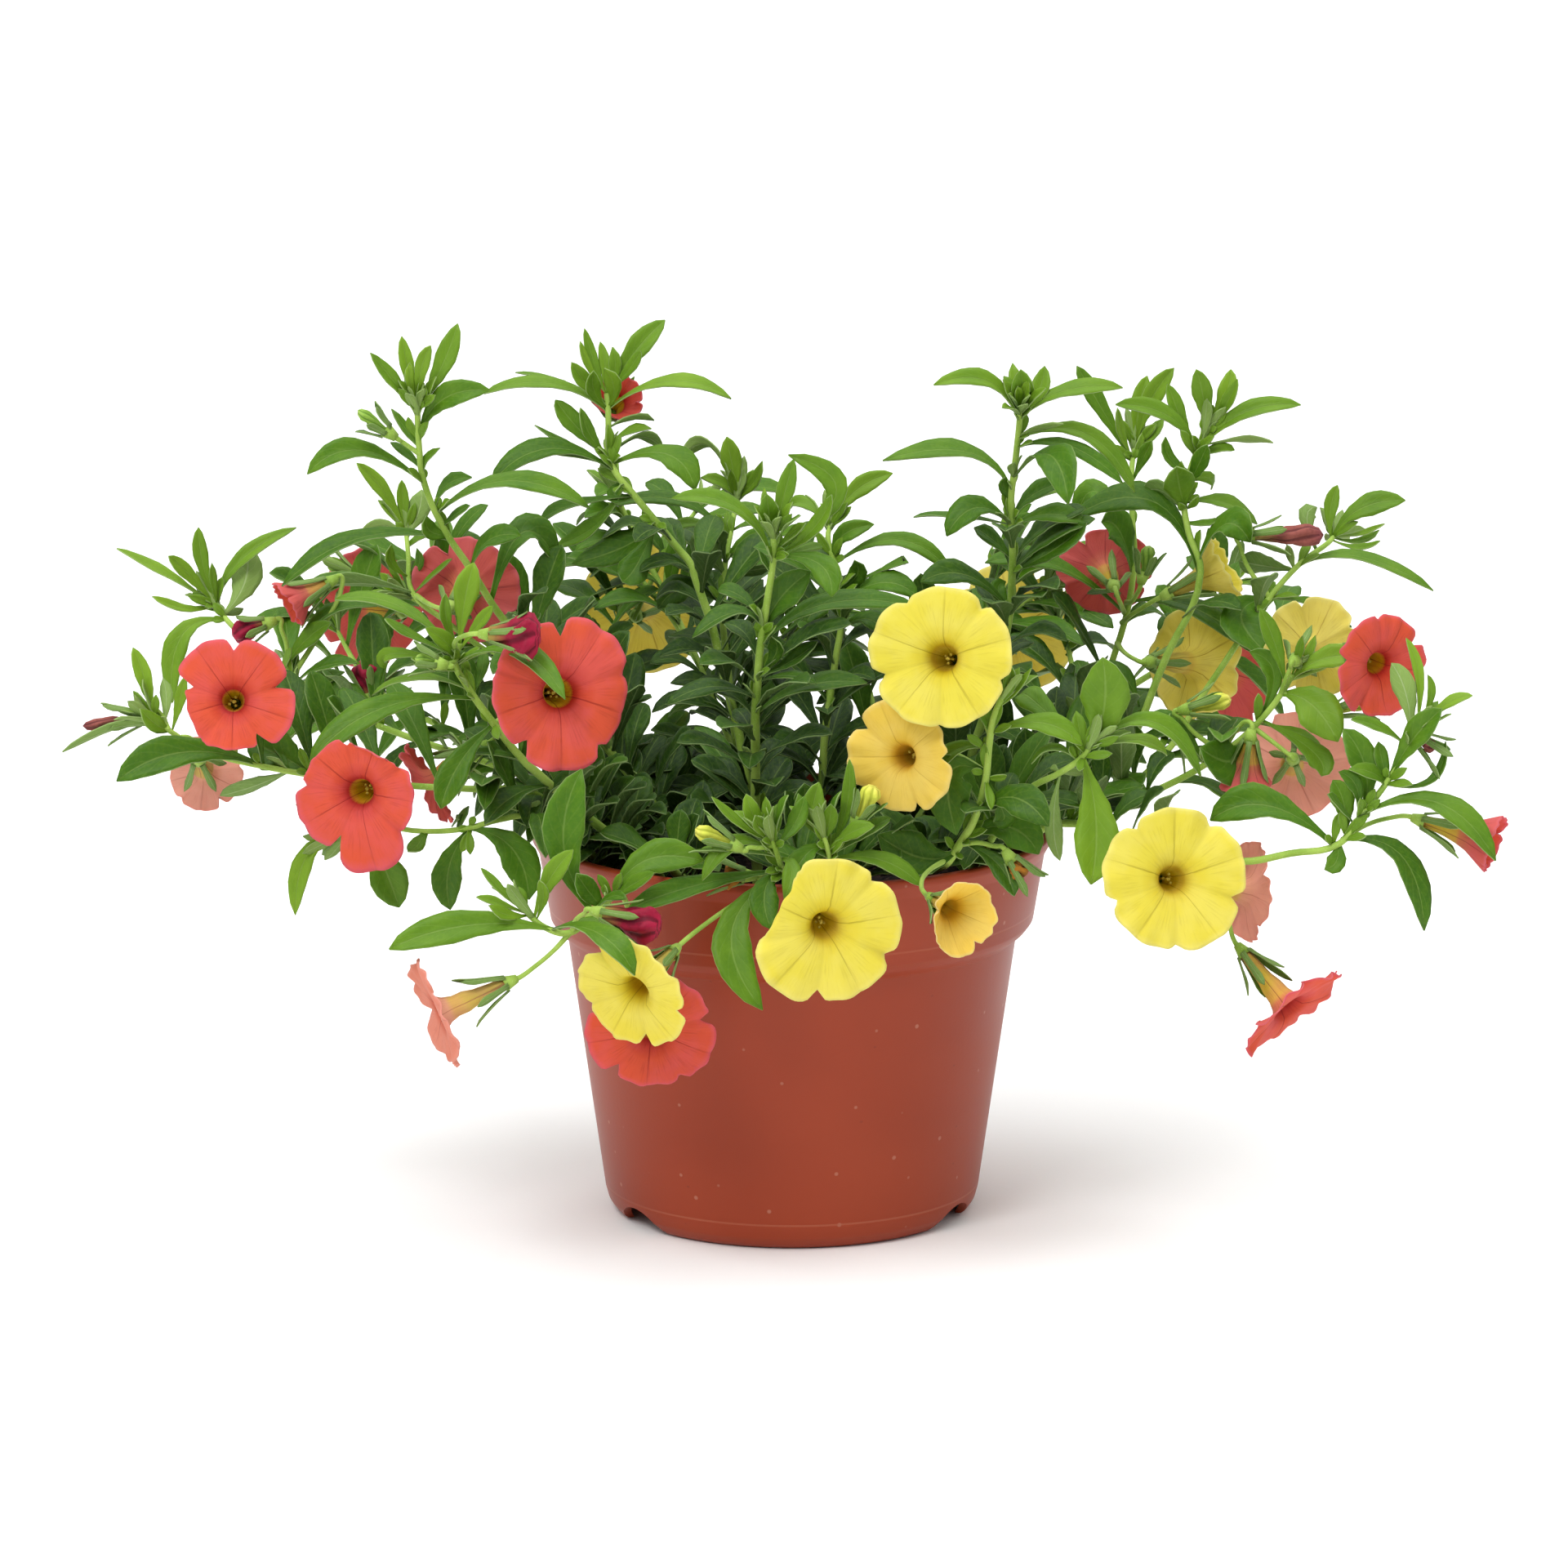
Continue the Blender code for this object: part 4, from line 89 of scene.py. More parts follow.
SOIL_PROFILE = (
    (0.0, 8.1), (40.75, 8.1), (42.0, 9.9), (50.3, 66.0), (54.0, 70.2), (55.2, 76.8),
)
# How far each flower is turned about its own axis, in degrees, where the photograph shows its lobes.
ROLLS = {
    "corolla_yellow_top": 18.0, "corolla_yellow_front": 9.0, "corolla_yellow_right": 17.0,
    "corolla_yellow_left": 21.0, "corolla_coral_left": 53.0, "corolla_coral_middle": 51.0,
    "corolla_coral_low": 68.0,
}
# How long each of a flower's five lobes is, from the one at its turn on, where they differ.
EVEN = (1.0, 1.0, 1.0, 1.0, 1.0)
LOBES = {
    "corolla_coral_left": (1.15, 1.1, 0.9, 0.9, 1.1),
    "corolla_coral_low": (0.75, 0.95, 1.05, 1.3, 1.0),
    "corolla_yellow_front": (1.0, 0.95, 0.75, 1.05, 1.0),
}
# Leaves that lie across a flower: base, middle and tip as pixel column, pixel row and depth, then the width.
OVERLYING = {
    "shoot_left_front": ((556.0, 812.0, -50.0, 634.0, 795.0, -62.0, 692.0, 856.0, -73.0, 5.6),),
    "shoot_front_left": ((676.0, 1128.0, -92.0, 732.0, 1141.0, -94.0, 781.0, 1194.0, -99.5, 6.4),),
}


class Hue(Enum):
    """The colour that a flower or a bud was in bloom, or is now."""

    YELLOW = "yellow"
    AMBER = "amber"
    CORAL = "coral"
    PEACH = "peach"
    BROWN = "brown"
    DRIED = "dried"
    GREEN = "green"


class Form(Enum):
    """How far a flower is open."""

    OPEN = "open"
    FUNNEL = "funnel"
    CLOSED = "closed"


@dataclass(frozen=True)
class Eye:
    """The photograph's camera, found from the pot's rim and foot. Lengths are mm, focal is in its pixels."""

    distance: float = 2000.0
    elevation: float = math.radians(12.34)
    focal: float = 10641.0
    middle: float = 960.0
    aim: Vector = field(default_factory=lambda: Vector((-1.84, 0.0, 99.5)))

    def __post_init__(self) -> None:
        """Works out the camera's directions and its place from its fields."""
        rise = self.elevation
        object.__setattr__(self, "near", Vector((0.0, -math.cos(rise), math.sin(rise))))
        object.__setattr__(self, "up", Vector((0.0, math.sin(rise), math.cos(rise))))
        object.__setattr__(self, "right", Vector((1.0, 0.0, 0.0)))
        object.__setattr__(self, "place", self.aim + self.near * self.distance)

    def spot(self, across: float, down: float, depth: float) -> Vector:
        """The point that shows at a pixel and lies at a depth.

        Args:
            across: the pixel's column.
            down: the pixel's row.
            depth: the y of the point, away from the camera.

        Returns:
            The point in mm.
        """
        ray = self.right * (across - self.middle) - self.up * (down - self.middle) - self.near * self.focal
        return self.place + ray * ((depth - self.place.y) / ray.y)

    def seen(self, point: Vector) -> tuple[float, float]:
        """The pixel at which a point shows.

        Args:
            point: a place in mm.

        Returns:
            The column and the row.
        """
        ray = point - self.place
        scale = -self.focal / ray.dot(self.near)
        return self.middle + scale * ray.dot(self.right), self.middle - scale * ray.dot(self.up)

    def facing(self, toward: tuple[float, float, float]) -> Vector:
        """The unit direction in the object's frame of one given as right, up and near in the picture."""
        return (self.right * toward[0] + self.up * toward[1] + self.near * toward[2]).normalized()


@dataclass(frozen=True)
class Leaf:
    """A leaf as traced: base, middle and tip in pixels, how far its tip lies behind, its width, its face."""

    base_x: float
    base_y: float
    mid_x: float
    mid_y: float
    tip_x: float
    tip_y: float
    back: float
    width: float
    face: float


@dataclass(frozen=True)
class Shoot:
    """A shoot as traced: where it leaves the soil, its thickness, the share its own leaves fill, its route.

    Its lean is how much farther away its tip is than its route says, and each twig is a share of its length,
    a direction about the vertical in degrees from +X, and a length.
    """

    name: str
    root: tuple[float, float]
    thick: float
    fill: tuple[float, float]
    route: tuple[tuple[float, float, float], ...]
    leaves: tuple[tuple[float, ...], ...]
    lean: float = 0.0
    twigs: tuple[tuple[float, float, float], ...] = ()


@dataclass(frozen=True)
class Flower:
    """A flower as traced: its shoot, its joint there, its centre, where it faces, its spread and length."""

    name: str
    hue: Hue
    form: Form
    shoot: str
    joint_x: float
    joint_y: float
    across: float
    down: float
    depth: float
    toward: tuple[float, float, float]
    spread: float
    length: float


@dataclass(frozen=True)
class Bud:
    """A bud or a withered flower as traced: joint, calyx and tip in pixels, depth, width."""

    hue: Hue
    shoot: str
    joint_x: float
    joint_y: float
    base_x: float
    base_y: float
    tip_x: float
    tip_y: float
    back: float
    width: float


@dataclass
class Blade:
    """A leaf or a sepal in its place: the points of its midrib, its width, and where its top looks."""

    owner: str
    base: Vector
    mid: Vector
    tip: Vector
    width: float
    normal: Vector
    tone: float = 0.5

    def along(self, share: float) -> tuple[Vector, Vector]:
        """A point of the midrib and its unit direction there, at a share of its length.

        Args:
            share: the share, from 0 to 1.

        Returns:
            The point and the unit direction.
        """
        bend = self.mid * 2.0 - (self.base + self.tip) * 0.5
        rest = 1.0 - share
        point = self.base * rest * rest + bend * 2.0 * rest * share + self.tip * share * share
        slope = (bend - self.base) * 2.0 * rest + (self.tip - bend) * 2.0 * share
        return point, slope.normalized()

    def size(self) -> float:
        """The length from base to tip over the middle."""
        return (self.mid - self.base).length + (self.tip - self.mid).length


@dataclass
class Stalk:
    """A flower's stalk in its place, with its calyx."""

    owner: str
    line: list[Vector]
    facing: Vector
    end: Vector
    sepals: list[Blade] = field(default_factory=list)


@dataclass
class Bloom:
    """A flower in its place: its calyx mouth, where it faces, and its stalk."""

    flower: Flower
    mouth: Vector
    facing: Vector
    stalk: Stalk | None = None


@dataclass
class Knob:
    """A bud in its place."""

    bud: Bud
    stalk: Stalk
    tip: Vector


EYE = Eye()


def soil_height(radius: float) -> float:
    """How high the soil stands at a distance from the pot's axis."""
    return SOIL_TOP - SOIL_FALL * (radius / SOIL_RADIUS) ** 2


def over_rim(point: Vector, thick: float) -> Vector:
    """The point, lifted where a stem of that thickness would run into the rim or the soil.

    Args:
        point: a point of the stem's middle line.
        thick: the stem's thickness.

    Returns:
        The point.
    """
    radius = math.hypot(point.x, point.y)
    above_rim = RIM_HEIGHT + thick + 0.8
    if radius < 56.0:
        share = max(0.0, (radius - 46.0) / 10.0)
        lowest = soil_height(radius) + thick + 1.0
        lowest += (above_rim - lowest) * share
    elif radius < RIM_RADIUS + 3.0:
        lowest = above_rim
    else:
        lowest = -1.0
    return Vector((point.x, point.y, max(point.z, lowest)))


def bend_point(start: Vector, bend: Vector, end: Vector, share: float) -> Vector:
    """A point of the arc from start to end that leans towards bend."""
    rest = 1.0 - share
    return start * rest * rest + bend * 2.0 * rest * share + end * share * share


def thinned(line: list[Vector], least: float) -> list[Vector]:
    """The line without the points that lie nearer than a length to the one before.

    Args:
        line: its points in mm.
        least: the least length between two points.

    Returns:
        The points that are kept.
    """
    kept = line[:2]
    for point in line[2:-1]:
        if (point - kept[-1]).length >= least:
            kept.append(point)
    return kept + [line[-1]]


def length_of(line: list[Vector]) -> float:
    """The length of a line of points."""
    return sum((end - start).length for start, end in zip(line, line[1:]))


def point_at(line: list[Vector], travel: float) -> tuple[Vector, Vector]:
    """The point at a length along a line, and the direction there.

    Args:
        line: its points in mm.
        travel: the length from its start.

    Returns:
        The point and the unit direction.
    """
    for start, end in zip(line, line[1:]):
        step = (end - start).length
        if travel <= step:
            return start.lerp(end, travel / step), (end - start).normalized()
        travel -= step
    return line[-1], (line[-1] - line[-2]).normalized()


def squared(normal: Vector, way: Vector) -> Vector:
    """The unit direction nearest to a normal that stands at right angles to a way."""
    return (normal - way * normal.dot(way)).normalized()


def eased(knots: tuple[tuple[float, float], ...], share: float) -> float:
    """The value at a share, eased between the values of the knots.

    Args:
        knots: pairs of a share and a value, in order.
        share: the share, from 0 to 1.

    Returns:
        The value.
    """
    for (start, low), (end, high) in zip(knots, knots[1:]):
        if share <= end:
            part = (share - start) / (end - start)
            return low + (high - low) * part * part * (3.0 - 2.0 * part)
    return knots[-1][1]


def inside(spot: tuple[float, float], ring: tuple[tuple[float, float], ...]) -> bool:
    """Whether a pixel lies inside a closed line of pixels.

    Args:
        spot: the pixel.
        ring: the corners of the line.

    Returns:
        Whether it does.
    """
    x, y = spot
    within = False
    for (ax, ay), (bx, by) in zip(ring, ring[1:] + ring[:1]):
        if (ay > y) != (by > y) and x < (bx - ax) * (y - ay) / (by - ay) + ax:
            within = not within
    return within


class Plant:
    """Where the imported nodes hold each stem, leaf, flower and bud.

    A traced place lies anywhere along its pixel's line of sight, so each is tried nearer and farther until
    the node's own surface runs through it.
    """

    def __init__(self, nodes: dict[str, bpy.types.Object]) -> None:
        """Reads the nodes' surfaces.

        Args:
            nodes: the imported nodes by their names.
        """
        self.trees: dict[str, BVHTree] = {}
        for name, node in nodes.items():
            points = [vert.co / MM for vert in node.data.vertices]
            faces = [tuple(face.vertices) for face in node.data.polygons]
            self.trees[name] = BVHTree.FromPolygons(points, faces)
        self.stems: dict[str, list[Vector]] = {}
        self.twigs: list[tuple[str, list[Vector]]] = []
        self.leaves: list[Blade] = []
        self.blooms: list[Bloom] = []
        self.knobs: list[Knob] = []

    def gap(self, name: str, point: Vector) -> float:
        """How far a point is from a node's surface, in mm."""
        return self.trees[name].find_nearest(point)[3]

    def misfit(self, name: str, line: list[Vector], radius: float) -> float:
        """How badly a rod along a line of points fits the node, as the mean miss of its radius.

        Args:
            name: the shoot.
            line: its points in mm.
            radius: the rod's radius.

        Returns:
            The mean miss in mm, of at most 1 mm each.
        """
        misses = []
        for start, end in zip(line, line[1:]):
            for share in (0.25, 0.5, 0.75):
                misses.append(min(abs(self.gap(name, start.lerp(end, share)) - radius), 1.0))
        return sum(misses) / len(misses)

    def find_stem(self, shoot: Shoot) -> None:
        """Finds the depth at which the node has a shoot's stem.

        Args:
            shoot: the shoot as traced.
        """
        top = soil_height(max(math.hypot(*shoot.root) - 1.6, 0.0)) + SEAT
        foot = Vector((shoot.root[0], shoot.root[1], top))
        tried = []
        for shift in BOTH_WAYS:
            last = len(shoot.route) - 1
            ahead = [EYE.spot(x, y, depth + shift + shoot.lean * step / last)
                     for step, (x, y, depth) in enumerate(shoot.route)]
            lean = (ahead[0] - foot) * 0.12
            rise = foot + Vector((lean.x, lean.y, 6.0))
            line = [foot, foot + Vector((0.0, 0.0, 2.6)), rise]
            for start, end in zip([rise] + ahead[:-1], ahead):
                if math.hypot(start.x, start.y) < RIM_RADIUS + 3.0:
                    line += [over_rim(start.lerp(end, share), shoot.thick) for share in (0.33, 0.67)]
                line.append(over_rim(end, shoot.thick))
            line = thinned(line, 4.0)
            tried.append((self.misfit(shoot.name, line[2:], shoot.thick * 0.65), shift, line))
        self.stems[shoot.name] = min(tried)[2]

    def find_twigs(self, shoot: Shoot) -> None:
        """Finds a shoot's side branches, those that the node has.

        Args:
            shoot: the shoot as traced.
        """
        line = self.stems[shoot.name]
        for share, turn, length in shoot.twigs:
            start, along = point_at(line, share * length_of(line))
            tried = []
            for swing in SWINGS:
                heading = math.radians(turn + swing)
                away = Vector((math.cos(heading), math.sin(heading), 0.75)).normalized()
                twig = [start, start + (away + along * 0.6).normalized() * length * 0.45]
                twig.append(twig[1] + (away + Vector((0.0, 0.0, -0.1))).normalized() * length * 0.55)
                tried.append((self.misfit(shoot.name, twig, 0.55), abs(swing), swing, twig))
            miss, _, _, twig = min(tried)
            if miss < 0.4:
                self.twigs.append((shoot.name, twig))

    def joint(self, name: str, across: float, down: float, along: float = 0.0) -> Vector:
        """The point of a stem that shows nearest to a pixel.

        Args:
            name: the shoot.
            across: the pixel's column.
            down: the pixel's row.
            along: how far on along the stem the point moves, in mm.

        Returns:
            The point.
        """
        line = self.stems[name]
        best = (math.inf, 0, 0.0)
        for index, (start, end) in enumerate(zip(line, line[1:])):
            for step in range(9):
                x, y = EYE.seen(start.lerp(end, step / 8))
                far = math.hypot(x - across, y - down)
                if far < best[0]:
                    best = (far, index, step / 8)
        _, index, share = best
        travel = share * (line[index + 1] - line[index]).length + along
        while travel < 0.0 and index > 0:
            index -= 1
            travel += (line[index + 1] - line[index]).length
        while index < len(line) - 2 and travel > (line[index + 1] - line[index]).length:
            travel -= (line[index + 1] - line[index]).length
            index += 1
        part = min(max(travel / (line[index + 1] - line[index]).length, 0.0), 0.97)
        return line[index].lerp(line[index + 1], part)

    def find_bloom(self, flower: Flower) -> None:
        """Finds the depth at which the node has a flower.

        Args:
            flower: the flower as traced.
        """
        facing = EYE.facing(flower.toward)
        cup = {Form.OPEN: 0.5, Form.FUNNEL: 0.45, Form.CLOSED: 1.0}[flower.form] * flower.length
        tried = []
        for shift in BOTH_WAYS:
            mouth = EYE.spot(flower.across, flower.down, flower.depth + shift) - facing * flower.length
            miss = self.gap(flower.name, mouth) + self.gap(flower.name, mouth + facing * cup)
            tried.append((miss, abs(shift), shift, mouth))
        self.blooms.append(Bloom(flower, min(tried)[3], facing))

    def find_stalk(self, owner: str, joint: tuple[float, float], mouth: Vector, facing: Vector) -> Stalk:
        """Finds the stalk from a stem to a flower's or a bud's base.

        Args:
            owner: the shoot.
            joint: the pixel at which it leaves the stem.
            mouth: where it ends.
            facing: its direction there.

        Returns:
            The stalk.
        """
        end = mouth - facing * SEAT
        best = (math.inf, [])
        for along in STALK_STARTS:
            start = self.joint(owner, *joint, along)
            reach = (end - start).length
            for pull in (0.45, 0.3, 0.65):
                bend = end - facing * reach * pull
                for push in STALK_PUSHES:
                    line = [bend_point(start, bend + push, end, share) for share in (0.0, 0.3, 0.62)]
                    line += [end - facing * 3.2, end - facing * 1.2]
                    miss = self.misfit(owner, line[:4], 0.53)
                    if miss < best[0] - 0.001:
                        best = (miss, line)
        return Stalk(owner, best[1], facing, end)

    def find_calyx(self, stalk: Stalk, size: float) -> None:
        """Finds how wide the five sepals about the end of a stalk spread.

        Args:
            stalk: the stalk, which gets the sepals.
            size: their full length.
        """
        facing = stalk.facing
        side = facing.orthogonal().normalized()
        other = facing.cross(side)
        best = (math.inf, [])
        for lean, share in SEPAL_TRIES:
            sepals = []
            for step in range(5):
                turn = math.tau * (step + 0.5) / 5
                spoke = side * math.cos(turn) + other * math.sin(turn)
                length = size * share * (0.88 + 0.06 * ((step * 2) % 5))
                base = stalk.end + spoke * 1.6 + facing * 0.3
                tip = base + (facing + spoke * lean).normalized() * length
                mid = base.lerp(tip, 0.5) + facing * 0.06 * length
                sepals.append(Blade(stalk.owner, base, mid, tip, 2.4, (facing - spoke * 0.5).normalized()))
            miss = sum(min(self.gap(stalk.owner, sepal.tip), 0.5) for sepal in sepals)
            if miss < best[0] - 0.001:
                best = (miss, sepals)
        stalk.sepals = best[1]

    def find_leaf(self, owner: str, leaf: Leaf) -> None:
        """Finds the depth at which the node has a traced leaf.

        Args:
            owner: the shoot.
            leaf: the leaf as traced.
        """
        base = self.joint(owner, leaf.base_x, leaf.base_y)
        first = None
        for size in (1.0, 0.9, 0.8):
            for shift in BOTH_WAYS:
                tip = base.lerp(EYE.spot(leaf.tip_x, leaf.tip_y, base.y + leaf.back + shift), size)
                half = base.y + leaf.back * 0.5 + shift * 0.6
                mid = base.lerp(EYE.spot(leaf.mid_x, leaf.mid_y, half), size)
                share = abs(leaf.face)
                look = UP * (1.0 - share) + EYE.near * math.copysign(share, leaf.face)
                blade = Blade(owner, base, mid, tip, leaf.width, squared(look, (tip - base).normalized()))
                first = first or blade
                if first.size() < SHORTEST_LEAF or self.gap(owner, tip) < NEAR:
                    self.leaves.append(blade)
                    return
        self.leaves.append(first)

    def find_fill(self, name: str, line: list[Vector], part: tuple[float, float], spacing: float) -> None:
        """Finds the leaves round the part of a stem where the photograph fixes none.

        Args:
            name: the shoot.
            line: its stem or one of its twigs.
            part: the shares of the line between which the leaves stand.
            spacing: how far apart along the line.
        """
        whole = length_of(line)
        first, last = (share * whole for share in part)
        count = int((last - first) / spacing)
        seed = sum(map(ord, name)) + int(whole)
        for index in range(count):
            base, along = point_at(line, first + (index + 0.5) * (last - first) / count)
            for attempt in range(5):
                blade = grown_leaf(name, base, along, seed, index, attempt, 20.0, 9.0)
                if self.gap(name, blade.tip) < NEAR and self.gap(name, blade.along(0.5)[0]) < 0.6:
                    self.leaves.append(blade)
                    break

    def find_bud(self, bud: Bud) -> None:
        """Finds the depth at which the node has a bud.

        Args:
            bud: the bud as traced.
        """
        start = self.joint(bud.shoot, bud.joint_x, bud.joint_y)
        tried = []
        for shift in BOTH_WAYS:
            mouth = EYE.spot(bud.base_x, bud.base_y, start.y + bud.back + shift)
            tip = EYE.spot(bud.tip_x, bud.tip_y, start.y + bud.back + shift * 1.2)
            tried.append((self.gap(bud.shoot, tip), abs(shift), shift, mouth, tip))
        _, _, _, mouth, tip = min(tried)
        stalk = self.find_stalk(bud.shoot, (bud.joint_x, bud.joint_y), mouth, (tip - mouth).normalized())
        self.knobs.append(Knob(bud, stalk, tip))

    def find(self) -> None:
        """Finds everything: stems, flowers with their stalks and sepals, buds, and leaves."""
        for shoot in SHOOTS:
            self.find_stem(shoot)
            self.find_twigs(shoot)
        for flower in FLOWERS:
            self.find_bloom(flower)
        for bloom in self.blooms:
            joint = (bloom.flower.joint_x, bloom.flower.joint_y)
            bloom.stalk = self.find_stalk(bloom.flower.shoot, joint, bloom.mouth, bloom.facing)
            self.find_calyx(bloom.stalk, 10.5)
        for bud in BUDS:
            self.find_bud(bud)
        for knob in self.knobs:
            self.find_calyx(knob.stalk, 6.0 if knob.bud.hue is Hue.GREEN else 8.5)
        for shoot in SHOOTS:
            for leaf in shoot.leaves:
                self.find_leaf(shoot.name, Leaf(*leaf))
        for shoot in SHOOTS:
            self.find_fill(shoot.name, self.stems[shoot.name], shoot.fill, FILL_SPACING)
        for name, twig in self.twigs:
            self.find_fill(name, twig, (0.25, 1.15), TWIG_SPACING)


def grown_leaf(name: str, base: Vector, along: Vector, seed: int, index: int, attempt: int, least: float,
               more: float) -> Blade:
    """A leaf that no pixel fixes, turned round its stem by the golden angle from the one before.

    Args:
        name: the shoot.
        base: where it leaves the stem.
        along: the stem's direction there.
        seed: a whole number of the stem's own.
        index: its place along the stem.
        attempt: how often it has been turned on.
        least: its least length.
        more: how much longer it may be.

    Returns:
        The leaf.
    """
    turn = GOLDEN * (index + seed) + attempt * 1.1
    spoke = Matrix.Rotation(turn, 3, along) @ along.orthogonal().normalized()
    vary = 0.5 + 0.5 * math.sin(seed + index * 2.3 + attempt)
    length = least + more * vary
    aim = (spoke + along * 0.5 + Vector((0.0, 0.0, 0.25))).normalized()
    mid = base + aim * length * 0.52 + Vector((0.0, 0.0, 0.08 * length))
    tip = base + (aim + Vector((0.0, 0.0, -0.3 + 0.3 * vary))).normalized() * length
    normal = squared(UP + EYE.near * 0.4 + spoke * 0.1, (tip - base).normalized())
    return Blade(name, base, mid, tip, 5.4 + 2.2 * vary, normal, 0.3)


